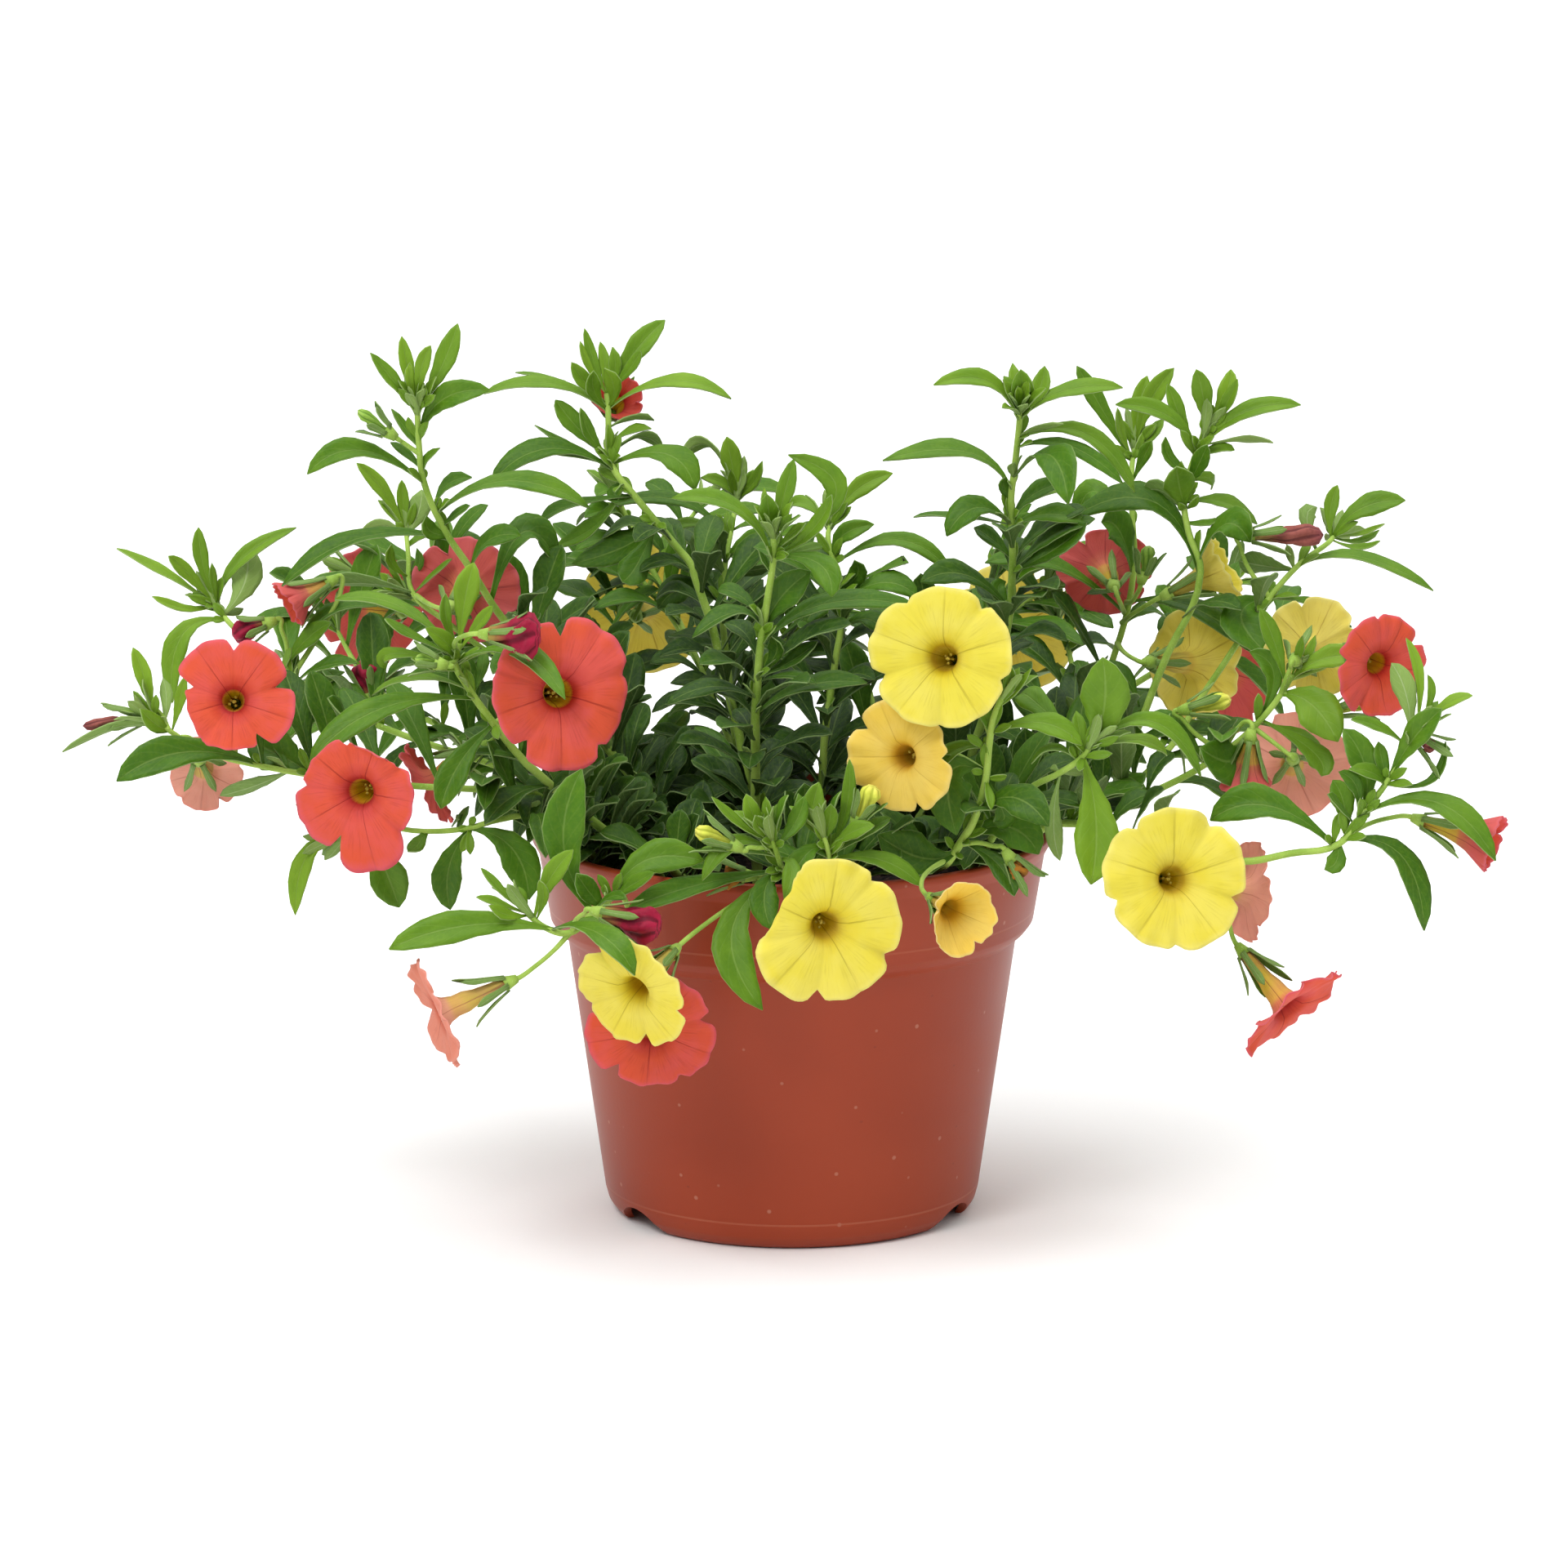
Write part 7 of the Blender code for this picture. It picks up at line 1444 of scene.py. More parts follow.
@dataclass(frozen=True)
class Pollen:
    """Anthers and stigma, soft and grainy. Sizes are mm."""

    dull: str = "#B4A030"
    bright: str = "#DCCB58"
    grain_size: float = 0.4

    def made(self) -> bpy.types.Material:
        """The material, which gives the eye a small pale grainy dot in the throat."""
        made, put = blank("anther_pollen")
        grain = put("TexNoise", put("TexCoord", output="Object"), per_mm(self.grain_size), 2.0)
        share = put("MapRange", grain, 0.4, 0.65, **SMOOTH)
        tone = put("Mix", share, linear(self.dull), linear(self.bright), **COLOUR)
        bump = put("Bump", 0.8, 0.2 * MM, named={"Height": grain})
        put("OutputMaterial", put("BsdfPrincipled", named={
            "Base Color": tone, "Roughness": 0.8, "Normal": bump}))
        return made


# Tube, throat, heart, limb, edge and vein of each colour, whose vein colour also paints the shade in the
# folds between lobes, then the rays' strength and the light through it.
FRONT_SKINS = {
    hue: PetalSkin(f"petal_{hue.value}_grown_inside", *colours, *shares)
    for hue, colours, shares in (
        (Hue.YELLOW, ("#E0CC38", "#D8BE28", "#E0CC2C", "#EADE52", "#F0E884", "#A08A1C"), (0.5, 0.38, 0.7)),
        (Hue.AMBER, ("#DFC23E", "#DCB62C", "#ECC63A", "#F3D65C", "#F6E28A", "#BE8E22"), (0.45, 0.38, 0.7)),
        (Hue.CORAL, ("#D6C428", "#D8BC20", "#BA2E1C", "#DF5E40", "#E26672", "#8A141C"), (0.6, 0.38, 0.65)),
        (Hue.PEACH, ("#D8BC34", "#D6B434", "#CC5A3E", "#E28E74", "#E6A290", "#9E3428"), (0.5, 0.38, 0.65)),
    )
}
BACK_SKINS = {
    hue: PetalSkin(f"petal_{hue.value}_grown_outside", *colours, *shares)
    for hue, colours, shares in (
        (Hue.YELLOW, ("#E0CC60", "#DCC254", "#E0D058", "#E8DA70", "#ECE494", "#A07C22"), (0.7, 0.46, 0.3)),
        (Hue.AMBER, ("#D8BC54", "#D8B44C", "#E0B850", "#E8CC74", "#ECD894", "#96701E"), (0.7, 0.46, 0.3)),
        (Hue.CORAL, ("#DFC244", "#DFB84A", "#DE8A5C", "#DC6E66", "#E07880", "#8E2C3C"), (0.6, 0.42, 0.3)),
        (Hue.PEACH, ("#DEC45C", "#E0BC60", "#E8B490", "#EDBAA6", "#EFAC9C", "#B4665A"), (0.6, 0.46, 0.3)),
    )
}
BUD_SKINS = {
    Hue.YELLOW: BudSkin("bud_yellow_furled", "#8CA83A", "#CCD24E", "#E2DA6A", "#98A030"),
    Hue.AMBER: BudSkin("bud_amber_furled", "#98A040", "#D4B440", "#E0C05A", "#967A2A"),
    Hue.CORAL: BudSkin("bud_coral_furled", "#8C8238", "#8A1230", "#A81E40", "#4A0818"),
    Hue.PEACH: BudSkin("bud_peach_furled", "#A88E3E", "#CC7A5E", "#D4866E", "#944A3C"),
    Hue.BROWN: BudSkin("bud_withered_brown", "#B0A050", "#8E5048", "#7A3C40", "#4A2024", 0.75),
    Hue.DRIED: BudSkin("bud_dried_tan", "#7E5A22", "#A06A24", "#7A4C1C", "#4E3012", 0.85),
    Hue.GREEN: BudSkin("bud_green_furled", "#6E9434", "#84A840", "#9AB858", "#4E7A24"),
}
LEAF_TOP = LeafSkin("leaf_upper_grown", "#1C3E06", "#44700C", "#7FA426", "#98B45C", 0.28, 0.48, 0.24)
LEAF_UNDER = LeafSkin("leaf_under_grown", "#4A6630", "#6B8A42", "#97B45E", "#AEC488", 0.6, 0.6, 0.2)


class Wardrobe:
    """The finishes, each made once."""

    def __init__(self) -> None:
        """Starts with no finish made."""
        self.made: dict[object, bpy.types.Material] = {}

    def get(self, skin: object) -> bpy.types.Material:
        """The material of a finish."""
        if skin not in self.made:
            self.made[skin] = skin.made()
        return self.made[skin]


def meshed(name: str, bm: bmesh.types.BMesh) -> bpy.types.Mesh:
    """The mesh of a drawing, which is freed."""
    mesh = bpy.data.meshes.new(name)
    bm.to_mesh(mesh)
    bm.free()
    return mesh


def linked(name: str, data: bpy.types.ID) -> bpy.types.Object:
    """An object of a mesh, curve, light or camera, linked to the scene."""
    obj = bpy.data.objects.new(name, data)
    bpy.context.scene.collection.objects.link(obj)
    return obj


def baked(obj: bpy.types.Object) -> bpy.types.Mesh:
    """The mesh that an object shows with its modifiers and its bevel."""
    return bpy.data.meshes.new_from_object(obj.evaluated_get(bpy.context.evaluated_depsgraph_get()))


def shown(name: str, bm: bmesh.types.BMesh, materials: list[bpy.types.Material],
          nodes: tuple[str, ...]) -> bpy.types.Object:
    """Makes an object of a mesh drawn in mm, which rides on the object and stands for its nodes.

    Args:
        name: its name.
        bm: its mesh, which is freed.
        materials: its materials.
        nodes: the CAD nodes that it stands for.

    Returns:
        The object.
    """
    bmesh.ops.scale(bm, vec=(MM, MM, MM), verts=bm.verts)
    mesh = meshed(name, bm)
    mesh.shade_smooth()
    for material in materials:
        mesh.materials.append(material)
    obj = linked(name, mesh)
    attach(obj, "root")
    if nodes:
        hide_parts(*nodes)
    LOG.info("%s: %d faces", name, len(mesh.polygons))
    return obj


def thickened(obj: bpy.types.Object, thick: float, under: int) -> None:
    """Gives a sheet its thickness below, with its own material on the under side.

    Args:
        obj: the sheet.
        thick: its thickness in mm.
        under: how many places on the other material stands.
    """
    wall = obj.modifiers.new("thickness", "SOLIDIFY")
    wall.thickness = thick * MM
    wall.offset = -1.0
    wall.material_offset = under
    wall.material_offset_rim = under


def drawn(bm: bmesh.types.BMesh, profile: tuple[tuple[float, float], ...]) -> list[bmesh.types.BMVert]:
    """Draws a profile of radius and height as an open line, and gives its vertices."""
    verts = [bm.verts.new((radius, 0.0, height)) for radius, height in profile]
    for pair in zip(verts, verts[1:]):
        bm.edges.new(pair)
    return verts


def spun(bm: bmesh.types.BMesh, steps: int) -> None:
    """Turns what is drawn about the local Z axis and closes its seam and its poles."""
    bmesh.ops.spin(bm, geom=bm.verts[:] + bm.edges[:], cent=(0.0, 0.0, 0.0), axis=UP, angle=math.tau,
                   steps=steps, use_merge=True)
    bmesh.ops.remove_doubles(bm, verts=bm.verts, dist=MERGE)


def placing(start: Vector, along: Vector, roll: float) -> Matrix:
    """The matrix that takes local Z to a direction, and the origin to a start, after a roll about it."""
    turn = along.to_track_quat("Z", "Y").to_matrix().to_4x4()
    return Matrix.Translation(start) @ turn @ Matrix.Rotation(roll, 4, "Z")


def mapped_round(bm: bmesh.types.BMesh, shares: dict[bmesh.types.BMVert, float]) -> None:
    """Lays a map on a turned shape: its angle across, and each vertex's share up.

    Args:
        bm: the shape.
        shares: each vertex's share of the way up.
    """
    layer = bm.loops.layers.uv.new("UVMap")
    for face in bm.faces:
        centre = face.calc_center_median()
        middle = math.atan2(centre.y, centre.x)
        for loop in face.loops:
            angle = math.atan2(loop.vert.co.y, loop.vert.co.x)
            angle += math.tau * round((middle - angle) / math.tau)
            loop[layer].uv = (angle / math.tau, shares[loop.vert])


@dataclass
class Pot:
    """The moulded pot: a turned wall with a collar, drain holes and notches in its foot."""

    sides: int = 160
    holes: int = 6
    hole_radius: float = 4.0
    hole_circle: float = 28.0
    floor_middle: float = 7.0
    floor_reach: float = 6.0
    notches: int = 3
    notch_turn: float = math.radians(93.0)
    notch_radius: float = 10.5
    notch_height: float = 4.8
    foot_middle: float = 41.0
    foot_reach: float = 11.0
    round_over: float = 0.35
    innermost_edge: float = 38.0
    sharp_edge: float = math.radians(35.0)

    def build(self, wardrobe: Wardrobe) -> bpy.types.Object:
        """Makes the pot.

        Args:
            wardrobe: the finishes.

        Returns:
            The piece.
        """
        bm = bmesh.new()
        soft = [vert for vert in drawn(bm, POT_PROFILE)[1:-1] if vert.co.x > self.innermost_edge]
        bmesh.ops.bevel(bm, geom=soft, offset=self.round_over, segments=3, profile=0.5, affect="VERTICES",
                        material=-1)
        spun(bm, self.sides)
        bmesh.ops.recalc_face_normals(bm, faces=bm.faces)
        obj = shown("pot_moulded", bm, [wardrobe.get(PotPlastic())], ("pot",))
        self.pierce(obj)
        obj.data.set_sharp_from_angle(angle=self.sharp_edge)
        return obj

    def pierce(self, obj: bpy.types.Object) -> None:
        """Cuts the drain holes and the rounded notches of the foot.

        Args:
            obj: the pot.
        """
        bm = bmesh.new()
        for step in range(self.holes):
            turn = Matrix.Rotation(math.tau * (step + 0.5) / self.holes, 4, "Z")
            place = turn @ Matrix.Translation((self.hole_circle, 0.0, self.floor_middle))
            bmesh.ops.create_cone(bm, cap_ends=True, segments=32, radius1=self.hole_radius,
                                  radius2=self.hole_radius, depth=self.floor_reach, matrix=place)
        for step in range(self.notches):
            turn = Matrix.Rotation(math.tau * step / self.notches + self.notch_turn, 4, "Z")
            lying = Matrix.Rotation(math.radians(90.0), 4, "Y")
            centre = (self.foot_middle, 0.0, self.notch_height - self.notch_radius)
            bmesh.ops.create_cone(bm, cap_ends=True, segments=96, radius1=self.notch_radius,
                                  radius2=self.notch_radius, depth=self.foot_reach,
                                  matrix=turn @ Matrix.Translation(centre) @ lying)
        bmesh.ops.scale(bm, vec=(MM, MM, MM), verts=bm.verts)
        cutter = linked("pot_cuts", meshed("pot_cuts", bm))
        cut = obj.modifiers.new("cuts", "BOOLEAN")
        cut.operation = "DIFFERENCE"
        cut.solver = "EXACT"
        cut.object = cutter
        pierced = baked(obj)
        obj.modifiers.remove(cut)
        obj.data = pierced
        pierced.name = "pot_moulded"
        bpy.data.objects.remove(cutter)


@dataclass
class Soil:
    """The peat in the pot, lumpy on top, with loose crumbs."""

    rings: int = 26
    sides: int = 96
    crumbs: int = 420
    lump: float = 1.5
    edge: float = 54.6
    side_top: float = 77.0
    easing: float = 4.0

    def build(self, wardrobe: Wardrobe) -> bpy.types.Object:
        """Makes the peat.

        Args:
            wardrobe: the finishes.

        Returns:
            The piece.
        """
        bm = bmesh.new()
        top = [self.edge * (1.0 - step / self.rings) for step in range(self.rings + 1)]
        drawn(bm, SOIL_PROFILE + tuple((radius, soil_height(radius)) for radius in top))
        spun(bm, self.sides)
        for vert in bm.verts:
            radius = math.hypot(vert.co.x, vert.co.y)
            if vert.co.z > self.side_top and radius < SOIL_RADIUS:
                ease = min(1.0, (SOIL_RADIUS - radius) / self.easing)
                lift = noise.fractal(vert.co * 0.16, 1.0, 2.0, 4) + 0.6 * noise.noise(vert.co * 0.7)
                vert.co.z += self.lump * ease * (lift - 0.25)
        bmesh.ops.recalc_face_normals(bm, faces=bm.faces)
        for index in range(self.crumbs):
            radius = (SOIL_RADIUS - 1.0) * math.sqrt((index + 0.5) / self.crumbs)
            turn = GOLDEN * index
            size = 0.6 + 1.1 * abs(noise.noise(Vector((index * 0.37, 1.3, 0.0)))) * 2.0
            high = soil_height(radius) + 0.1 * size
            spot = Vector((radius * math.cos(turn), radius * math.sin(turn), high))
            shape = Matrix.Rotation(index * 1.7, 4, "X") @ Matrix.Diagonal((1.3, 0.8, 1.0, 1.0))
            bmesh.ops.create_icosphere(bm, subdivisions=1, radius=size,
                                       matrix=Matrix.Translation(spot) @ shape)
        return shown("peat_surface", bm, [wardrobe.get(Peat())], ("potting_soil",))


class Foliage:
    """The leafy part of the plant: stems, leaves, sepals and buds, shoot by shoot."""

    steps = (13, 6)
    small_steps = (6, 4)
    leaf_thick = 0.3
    sepal_width = 0.75
    shown_depth = 55.0
    rim_zone = (52.0, RIM_RADIUS + 4.0)
    pot_front = -20.0
    petal_shares = (0.35, 0.6, 0.8, 1.0)
    picture_shares = (0.3, 0.6, 1.0)
    spacing = 2.9
    core = 66.0
    low_leaves = 9
    tip_leaves = 9
    deep_leaf = 13.0
    petal_gap = 2.6
    rod_radius = 0.9
    twig_radii = (0.85, 0.75, 0.55)
    stalk_radii = (0.75, 0.6, 0.58, 0.62, 0.8, 1.0)
    cup_radii = (0.95, 1.85)
    cup_depth = 3.2

    def __init__(self, plant: Plant, wardrobe: Wardrobe) -> None:
        """Takes what the leafy part is built from.

        Args:
            plant: where everything is.
            wardrobe: the finishes.
        """
        self.plant = plant
        self.wardrobe = wardrobe

    def age(self, blade: Blade, number: int) -> float:
        """How young a leaf is, from 0 deep in the plant to 1 at a growing tip, lowered further near the
        plant's middle as painted shade.
        """
        line = self.plant.stems[blade.owner]
        far = (blade.base - line[-1]).length
        # Painted shade: leaves near the middle of the plant are darkened, where the plant shades itself.
        painted_inner_shade = math.exp(-((blade.base - Vector((0.0, 0.0, 96.0))).length / 62.0) ** 2)
        return 0.36 + 0.45 * math.exp(-far / 18.0) - 0.3 * painted_inner_shade + 0.12 * math.sin(number * 2.4)

    def slim(self, blade: Blade) -> float:
        """The share of its width that a leaf has when it still grows at the tip of its shoot."""
        far = (blade.base - self.plant.stems[blade.owner][-1]).length
        return 0.94 - 0.27 * math.exp(-(far / 22.0) ** 2)

    def extra(self, shoot: Shoot) -> list[Blade]:
        """The small leaves that the CAD leaves out: at the growing tips, deep in the plant, in the axils.

        Args:
            shoot: the shoot as traced.

        Returns:
            The leaves.
        """
        made = []
        twigs = [line for name, line in self.plant.twigs if name == shoot.name]
        for line in [self.plant.stems[shoot.name]] + twigs:
            made += self.rosette(shoot.name, line[-1], (line[-1] - line[-2]).normalized())
            whole = length_of(line)
            count = int(whole / self.spacing)
            seed = sum(map(ord, shoot.name)) + int(whole) * 3
            top = 0.97 if shoot.fill[1] > 0.9 else min(shoot.fill[1] + 0.25, 0.8)
            for index in range(count):
                share = (index + 0.5) / count
                base, way = point_at(line, share * whole)
                outer = math.hypot(base.x, base.y) > self.core
                if not 0.06 < share < top or outer and index % 2:
                    continue
                made += self.first_free(grown_leaf(shoot.name, base, way, seed, index, attempt * 2,
                                                   self.deep_leaf, self.deep_leaf) for attempt in range(5))
        return made + self.low(shoot.name) + self.axils(shoot.name)

    def first_free(self, tries: Iterable[Blade]) -> list[Blade]:
        """The first of some leaves that has room, if one has."""
        return next(([blade] for blade in tries if self.has_room(blade)), [])

    def axils(self, name: str) -> list[Blade]:
        """The two smallest leaves that grow where each longer leaf leaves its stem.

        Args:
            name: the shoot.

        Returns:
            The leaves.
        """
        made = []
        stem = self.plant.stems[name]
        up = (stem[-1] - stem[-2]).normalized()
        leaves = [leaf for leaf in self.plant.leaves if leaf.owner == name and leaf.size() > self.deep_leaf]
        for index, leaf in enumerate(leaves):
            _, along = leaf.along(0.0)
            for way in (-1.0, 1.0):
                spread = along.cross(leaf.normal) * way * 0.6
                side = (along * 0.55 + up * 0.5 + leaf.normal * 0.35 + spread).normalized()
                size = 5.5 + 2.2 * math.sin(index * 1.9 + way)
                mid = leaf.base + side * size * 0.55 + leaf.normal * 0.5
                made += self.first_free([Blade(name, leaf.base + side * 0.6, mid, leaf.base + side * size,
                                               1.5 + 0.09 * size, leaf.normal, 0.72)])
        return made

    def low(self, name: str) -> list[Blade]:
        """The leaves that rise from the foot of a stem and hide the inside of the pot.

        Args:
            name: the shoot.

        Returns:
            The leaves.
        """
        made = []
        line = self.plant.stems[name]
        for index in range(self.low_leaves):
            base, way = point_at(line, 2.0 + index * 2.0)
            way = (way + UP).normalized()
            made += self.first_free(grown_leaf(name, base, way, index * 5, index, attempt, self.deep_leaf,
                                               6.0) for attempt in range(3))
        return made

    def rosette(self, name: str, end: Vector, along: Vector) -> list[Blade]:
        """The small leaves round a growing tip.

        Args:
            name: the shoot.
            end: where the tip is.
            along: which way it grows.

        Returns:
            The leaves.
        """
        made = []
        side = along.orthogonal().normalized()
        for index in range(self.tip_leaves):
            share = index / self.tip_leaves
            spoke = Matrix.Rotation(GOLDEN * index + sum(map(ord, name)), 3, along) @ side
            lean = 0.72 - 0.55 * share
            length = SMALL_LEAF * (1.0 - 0.5 * share)
            base = end - along * (2.6 * (1.0 - share))
            tip = base + (along + spoke * lean).normalized() * length
            mid = base.lerp(tip, 0.5) + along * length * 0.08
            look = (along * 0.8 - spoke * 0.6 + Vector((0.0, -0.1, 0.2))).normalized()
            normal = squared(look, (tip - base).normalized())
            made += self.first_free([Blade(name, base, mid, tip, 1.0 + 0.16 * length, normal,
                                           0.7 + 0.2 * share)])
        return made

    def has_room(self, blade: Blade) -> bool:
        """Whether a leaf that no pixel fixes stays in the plant's outline, off the flowers and the pot.

        Args:
            blade: the leaf.

        Returns:
            Whether it does.
        """
        low, high = BOX
        for point in (blade.tip, blade.mid):
            if any(not low[axis] < point[axis] < high[axis] for axis in range(3)):
                return False
            radius = math.hypot(point.x, point.y)
            if point.z < RIM_HEIGHT + 0.5 and self.rim_zone[0] < radius < self.rim_zone[1]:
                return False
            if point.z < soil_height(radius) and radius < RIM_RADIUS:
                return False
            if blade.size() > SMALL_LEAF and not inside(EYE.seen(point), CANOPY):
                return False
            if point.z < RIM_HEIGHT and point.y < self.pot_front:
                return False
        for bloom in self.plant.blooms:
            centre = bloom.mouth + bloom.facing * bloom.flower.length
            if (centre - blade.mid).length < 0.5 * bloom.flower.spread + blade.size():
                if any(self.plant.gap(bloom.flower.name, blade.along(share)[0]) < self.petal_gap
                       for share in self.petal_shares):
                    return False
            if blade.tip.y > centre.y + 6.0 or centre.y > self.shown_depth:
                continue
            column, row = EYE.seen(centre)
            reach = bloom.flower.spread * 0.5 * EYE.focal / EYE.distance
            for share in self.picture_shares:
                x, y = EYE.seen(blade.along(share)[0])
                if math.hypot(x - column, y - row) < reach:
                    return False
        return True

    def sheet(self, bm: bmesh.types.BMesh, blade: Blade, cut: Cut, tone: float, number: int) -> None:
        """Draws one leaf as a sheet with a fold along its midrib, a wavy edge and a bent tip.

        Args:
            bm: the mesh it is added to.
            blade: where it is.
            cut: its outline.
            tone: how young it is, which for most leaves also holds painted shade deep in the plant.
            number: a whole number of its own.
        """
        layer = bm.verts.layers.float["tone"]
        steps = self.small_steps if blade.size() < SMALL_LEAF else self.steps
        made = bmesh.ops.create_grid(bm, x_segments=steps[0], y_segments=steps[1], size=0.5, calc_uvs=True)
        fold = 0.16 + 0.14 * math.sin(number * 1.3)
        droop = 0.05 + 0.05 * math.sin(number * 0.7)
        length = blade.size()
        rows: dict[float, tuple[Vector, Vector, Vector, float]] = {}
        for vert in made["verts"]:
            share = round(vert.co.x + 0.5, 5)
            if share not in rows:
                middle, along = blade.along(share)
                side = blade.normal.cross(along).normalized()
                rows[share] = (middle, side, along.cross(side), 0.5 * blade.width * cut.half(share))
            middle, side, above, half = rows[share]
            out = vert.co.y * 2.0
            lift = abs(out) * half * fold - 0.16 * half * math.exp(-(out / 0.22) ** 2)
            lift += half * 0.13 * out * out * math.sin(share * 9.0 + number + (1.7 if out > 0.0 else 0.0))
            lift -= droop * length * max(share - 0.7, 0.0) ** 2 * 3.0
            vert.co = middle + side * (half * out) + above * lift
            vert[layer] = tone

    def build_leaves(self, shoot: Shoot) -> bpy.types.Object:
        """Makes a shoot's leaves and sepals.

        Args:
            shoot: the shoot as traced.

        Returns:
            The piece.
        """
        bm = bmesh.new()
        bm.loops.layers.uv.new("UVMap")
        bm.verts.layers.float.new("tone")
        leaves = [leaf for leaf in self.plant.leaves if leaf.owner == shoot.name]
        number = len(shoot.name)
        for leaf in leaves:
            number += 1
            slim = replace(leaf, width=leaf.width * self.slim(leaf))
            cut = Cut.LEAF if leaf.size() > 11.0 else Cut.YOUNG
            self.sheet(bm, slim, cut, self.age(leaf, number), number)
        for leaf in OVERLYING.get(shoot.name, ()):
            number += 1
            base = self.plant.joint(shoot.name, leaf[0], leaf[1])
            mid, tip = (EYE.spot(*leaf[at:at + 3]) for at in (3, 6))
            normal = squared(Vector((0.0, -0.6, 0.8)), (tip - base).normalized())
            self.sheet(bm, Blade(shoot.name, base, mid, tip, leaf[9], normal), Cut.LEAF, 0.55, number)
        for leaf in self.extra(shoot):
            number += 1
            small = leaf.size() < SMALL_LEAF
            # The larger leaves that fill the plant are darkened a little more, as painted shade inside it.
            tone = leaf.tone if small else self.age(leaf, number) - 0.14
            self.sheet(bm, leaf, Cut.YOUNG if small else Cut.LEAF, tone, number)
        for stalk in self.stalks(shoot):
            for sepal in stalk.sepals:
                number += 1
                narrow = replace(sepal, width=sepal.width * self.sepal_width)
                self.sheet(bm, narrow, Cut.SEPAL, 0.5, number)
        skins = [self.wardrobe.get(LEAF_TOP), self.wardrobe.get(LEAF_UNDER)]
        obj = shown(f"{shoot.name}_leaves", bm, skins, (shoot.name,))
        thickened(obj, self.leaf_thick, 1)
        return obj

    def stalks(self, shoot: Shoot) -> list[Stalk]:
        """The stalks of a shoot's flowers and buds."""
        holders = self.plant.blooms + self.plant.knobs
        return [holder.stalk for holder in holders if holder.stalk.owner == shoot.name]

    def build_stems(self, shoot: Shoot) -> bpy.types.Object:
        """Makes a shoot's stem, twigs and stalks as one, with a small cup under each flower.

        Args:
            shoot: the shoot as traced.

        Returns:
            The piece.
        """
        curve = bpy.data.curves.new(f"{shoot.name}_stem", "CURVE")
        curve.dimensions = "3D"
        curve.bevel_depth = self.rod_radius * MM
        curve.bevel_resolution = 3
        curve.resolution_u = 5
        curve.use_fill_caps = True
        stem = self.plant.stems[shoot.name]
        foot = [stem[0] - Vector((0.0, 0.0, 2.5))] + stem
        last = len(foot) - 1
        rods = [(foot, [shoot.thick * (1.0 - 0.45 * at / last) for at in range(len(foot))])]
        rods += [(line, self.twig_radii) for name, line in self.plant.twigs if name == shoot.name]
        rods += [(stalk.line + [stalk.end], self.stalk_radii) for stalk in self.stalks(shoot)]
        for line, radii in rods:
            spline = curve.splines.new("BEZIER")
            spline.bezier_points.add(len(line) - 1)
            for point, place, radius in zip(spline.bezier_points, line, radii):
                point.co = place * MM
                point.radius = radius
                point.handle_left_type = point.handle_right_type = "AUTO"
        rod = linked("rod", curve)
        bm = bmesh.new()
        bm.from_mesh(baked(rod))
        bpy.data.objects.remove(rod)
        bmesh.ops.scale(bm, vec=(1.0 / MM, 1.0 / MM, 1.0 / MM), verts=bm.verts)
        for stalk in self.stalks(shoot):
            place = placing(stalk.end - stalk.facing * 0.7, stalk.facing, 0.0)
            bmesh.ops.create_cone(bm, cap_ends=True, segments=12, radius1=self.cup_radii[0],
                                  radius2=self.cup_radii[1], depth=self.cup_depth, matrix=place)
        return shown(f"{shoot.name}_stem", bm, [self.wardrobe.get(StemSkin())], (shoot.name,))

    def build_buds(self, shoot: Shoot) -> bpy.types.Object | None:
        """Makes a shoot's buds and withered flowers, where it has any.

        Args:
            shoot: the shoot as traced.

        Returns:
            The piece, where there is one.
        """
        knobs = [knob for knob in self.plant.knobs if knob.stalk.owner == shoot.name]
        if not knobs:
            return None
        joined = bmesh.new()
        skins: list[bpy.types.Material] = []
        for number, knob in enumerate(knobs):
            skin = self.wardrobe.get(BUD_SKINS[knob.bud.hue])
            if skin not in skins:
                skins.append(skin)
            start = knob.stalk.end - knob.stalk.facing * 0.6
            bm = furled(knob.bud.hue, (knob.tip - start).length, knob.bud.width * 0.5, number)
            bmesh.ops.transform(bm, matrix=placing(start, knob.tip - start, number * 1.1), verts=bm.verts)
            for face in bm.faces:
                face.material_index = skins.index(skin)
            mesh = meshed("bud", bm)
            joined.from_mesh(mesh)
            bpy.data.meshes.remove(mesh)
        return shown(f"{shoot.name}_buds", joined, skins, (shoot.name,))


# The outline of a furled flower: share of its length, and its radius there as a share of the greatest.
BUD_OUTLINE = ((0.0, 0.42), (0.3, 0.5), (0.55, 0.78), (0.78, 1.0), (0.92, 0.72), (1.0, 0.0))


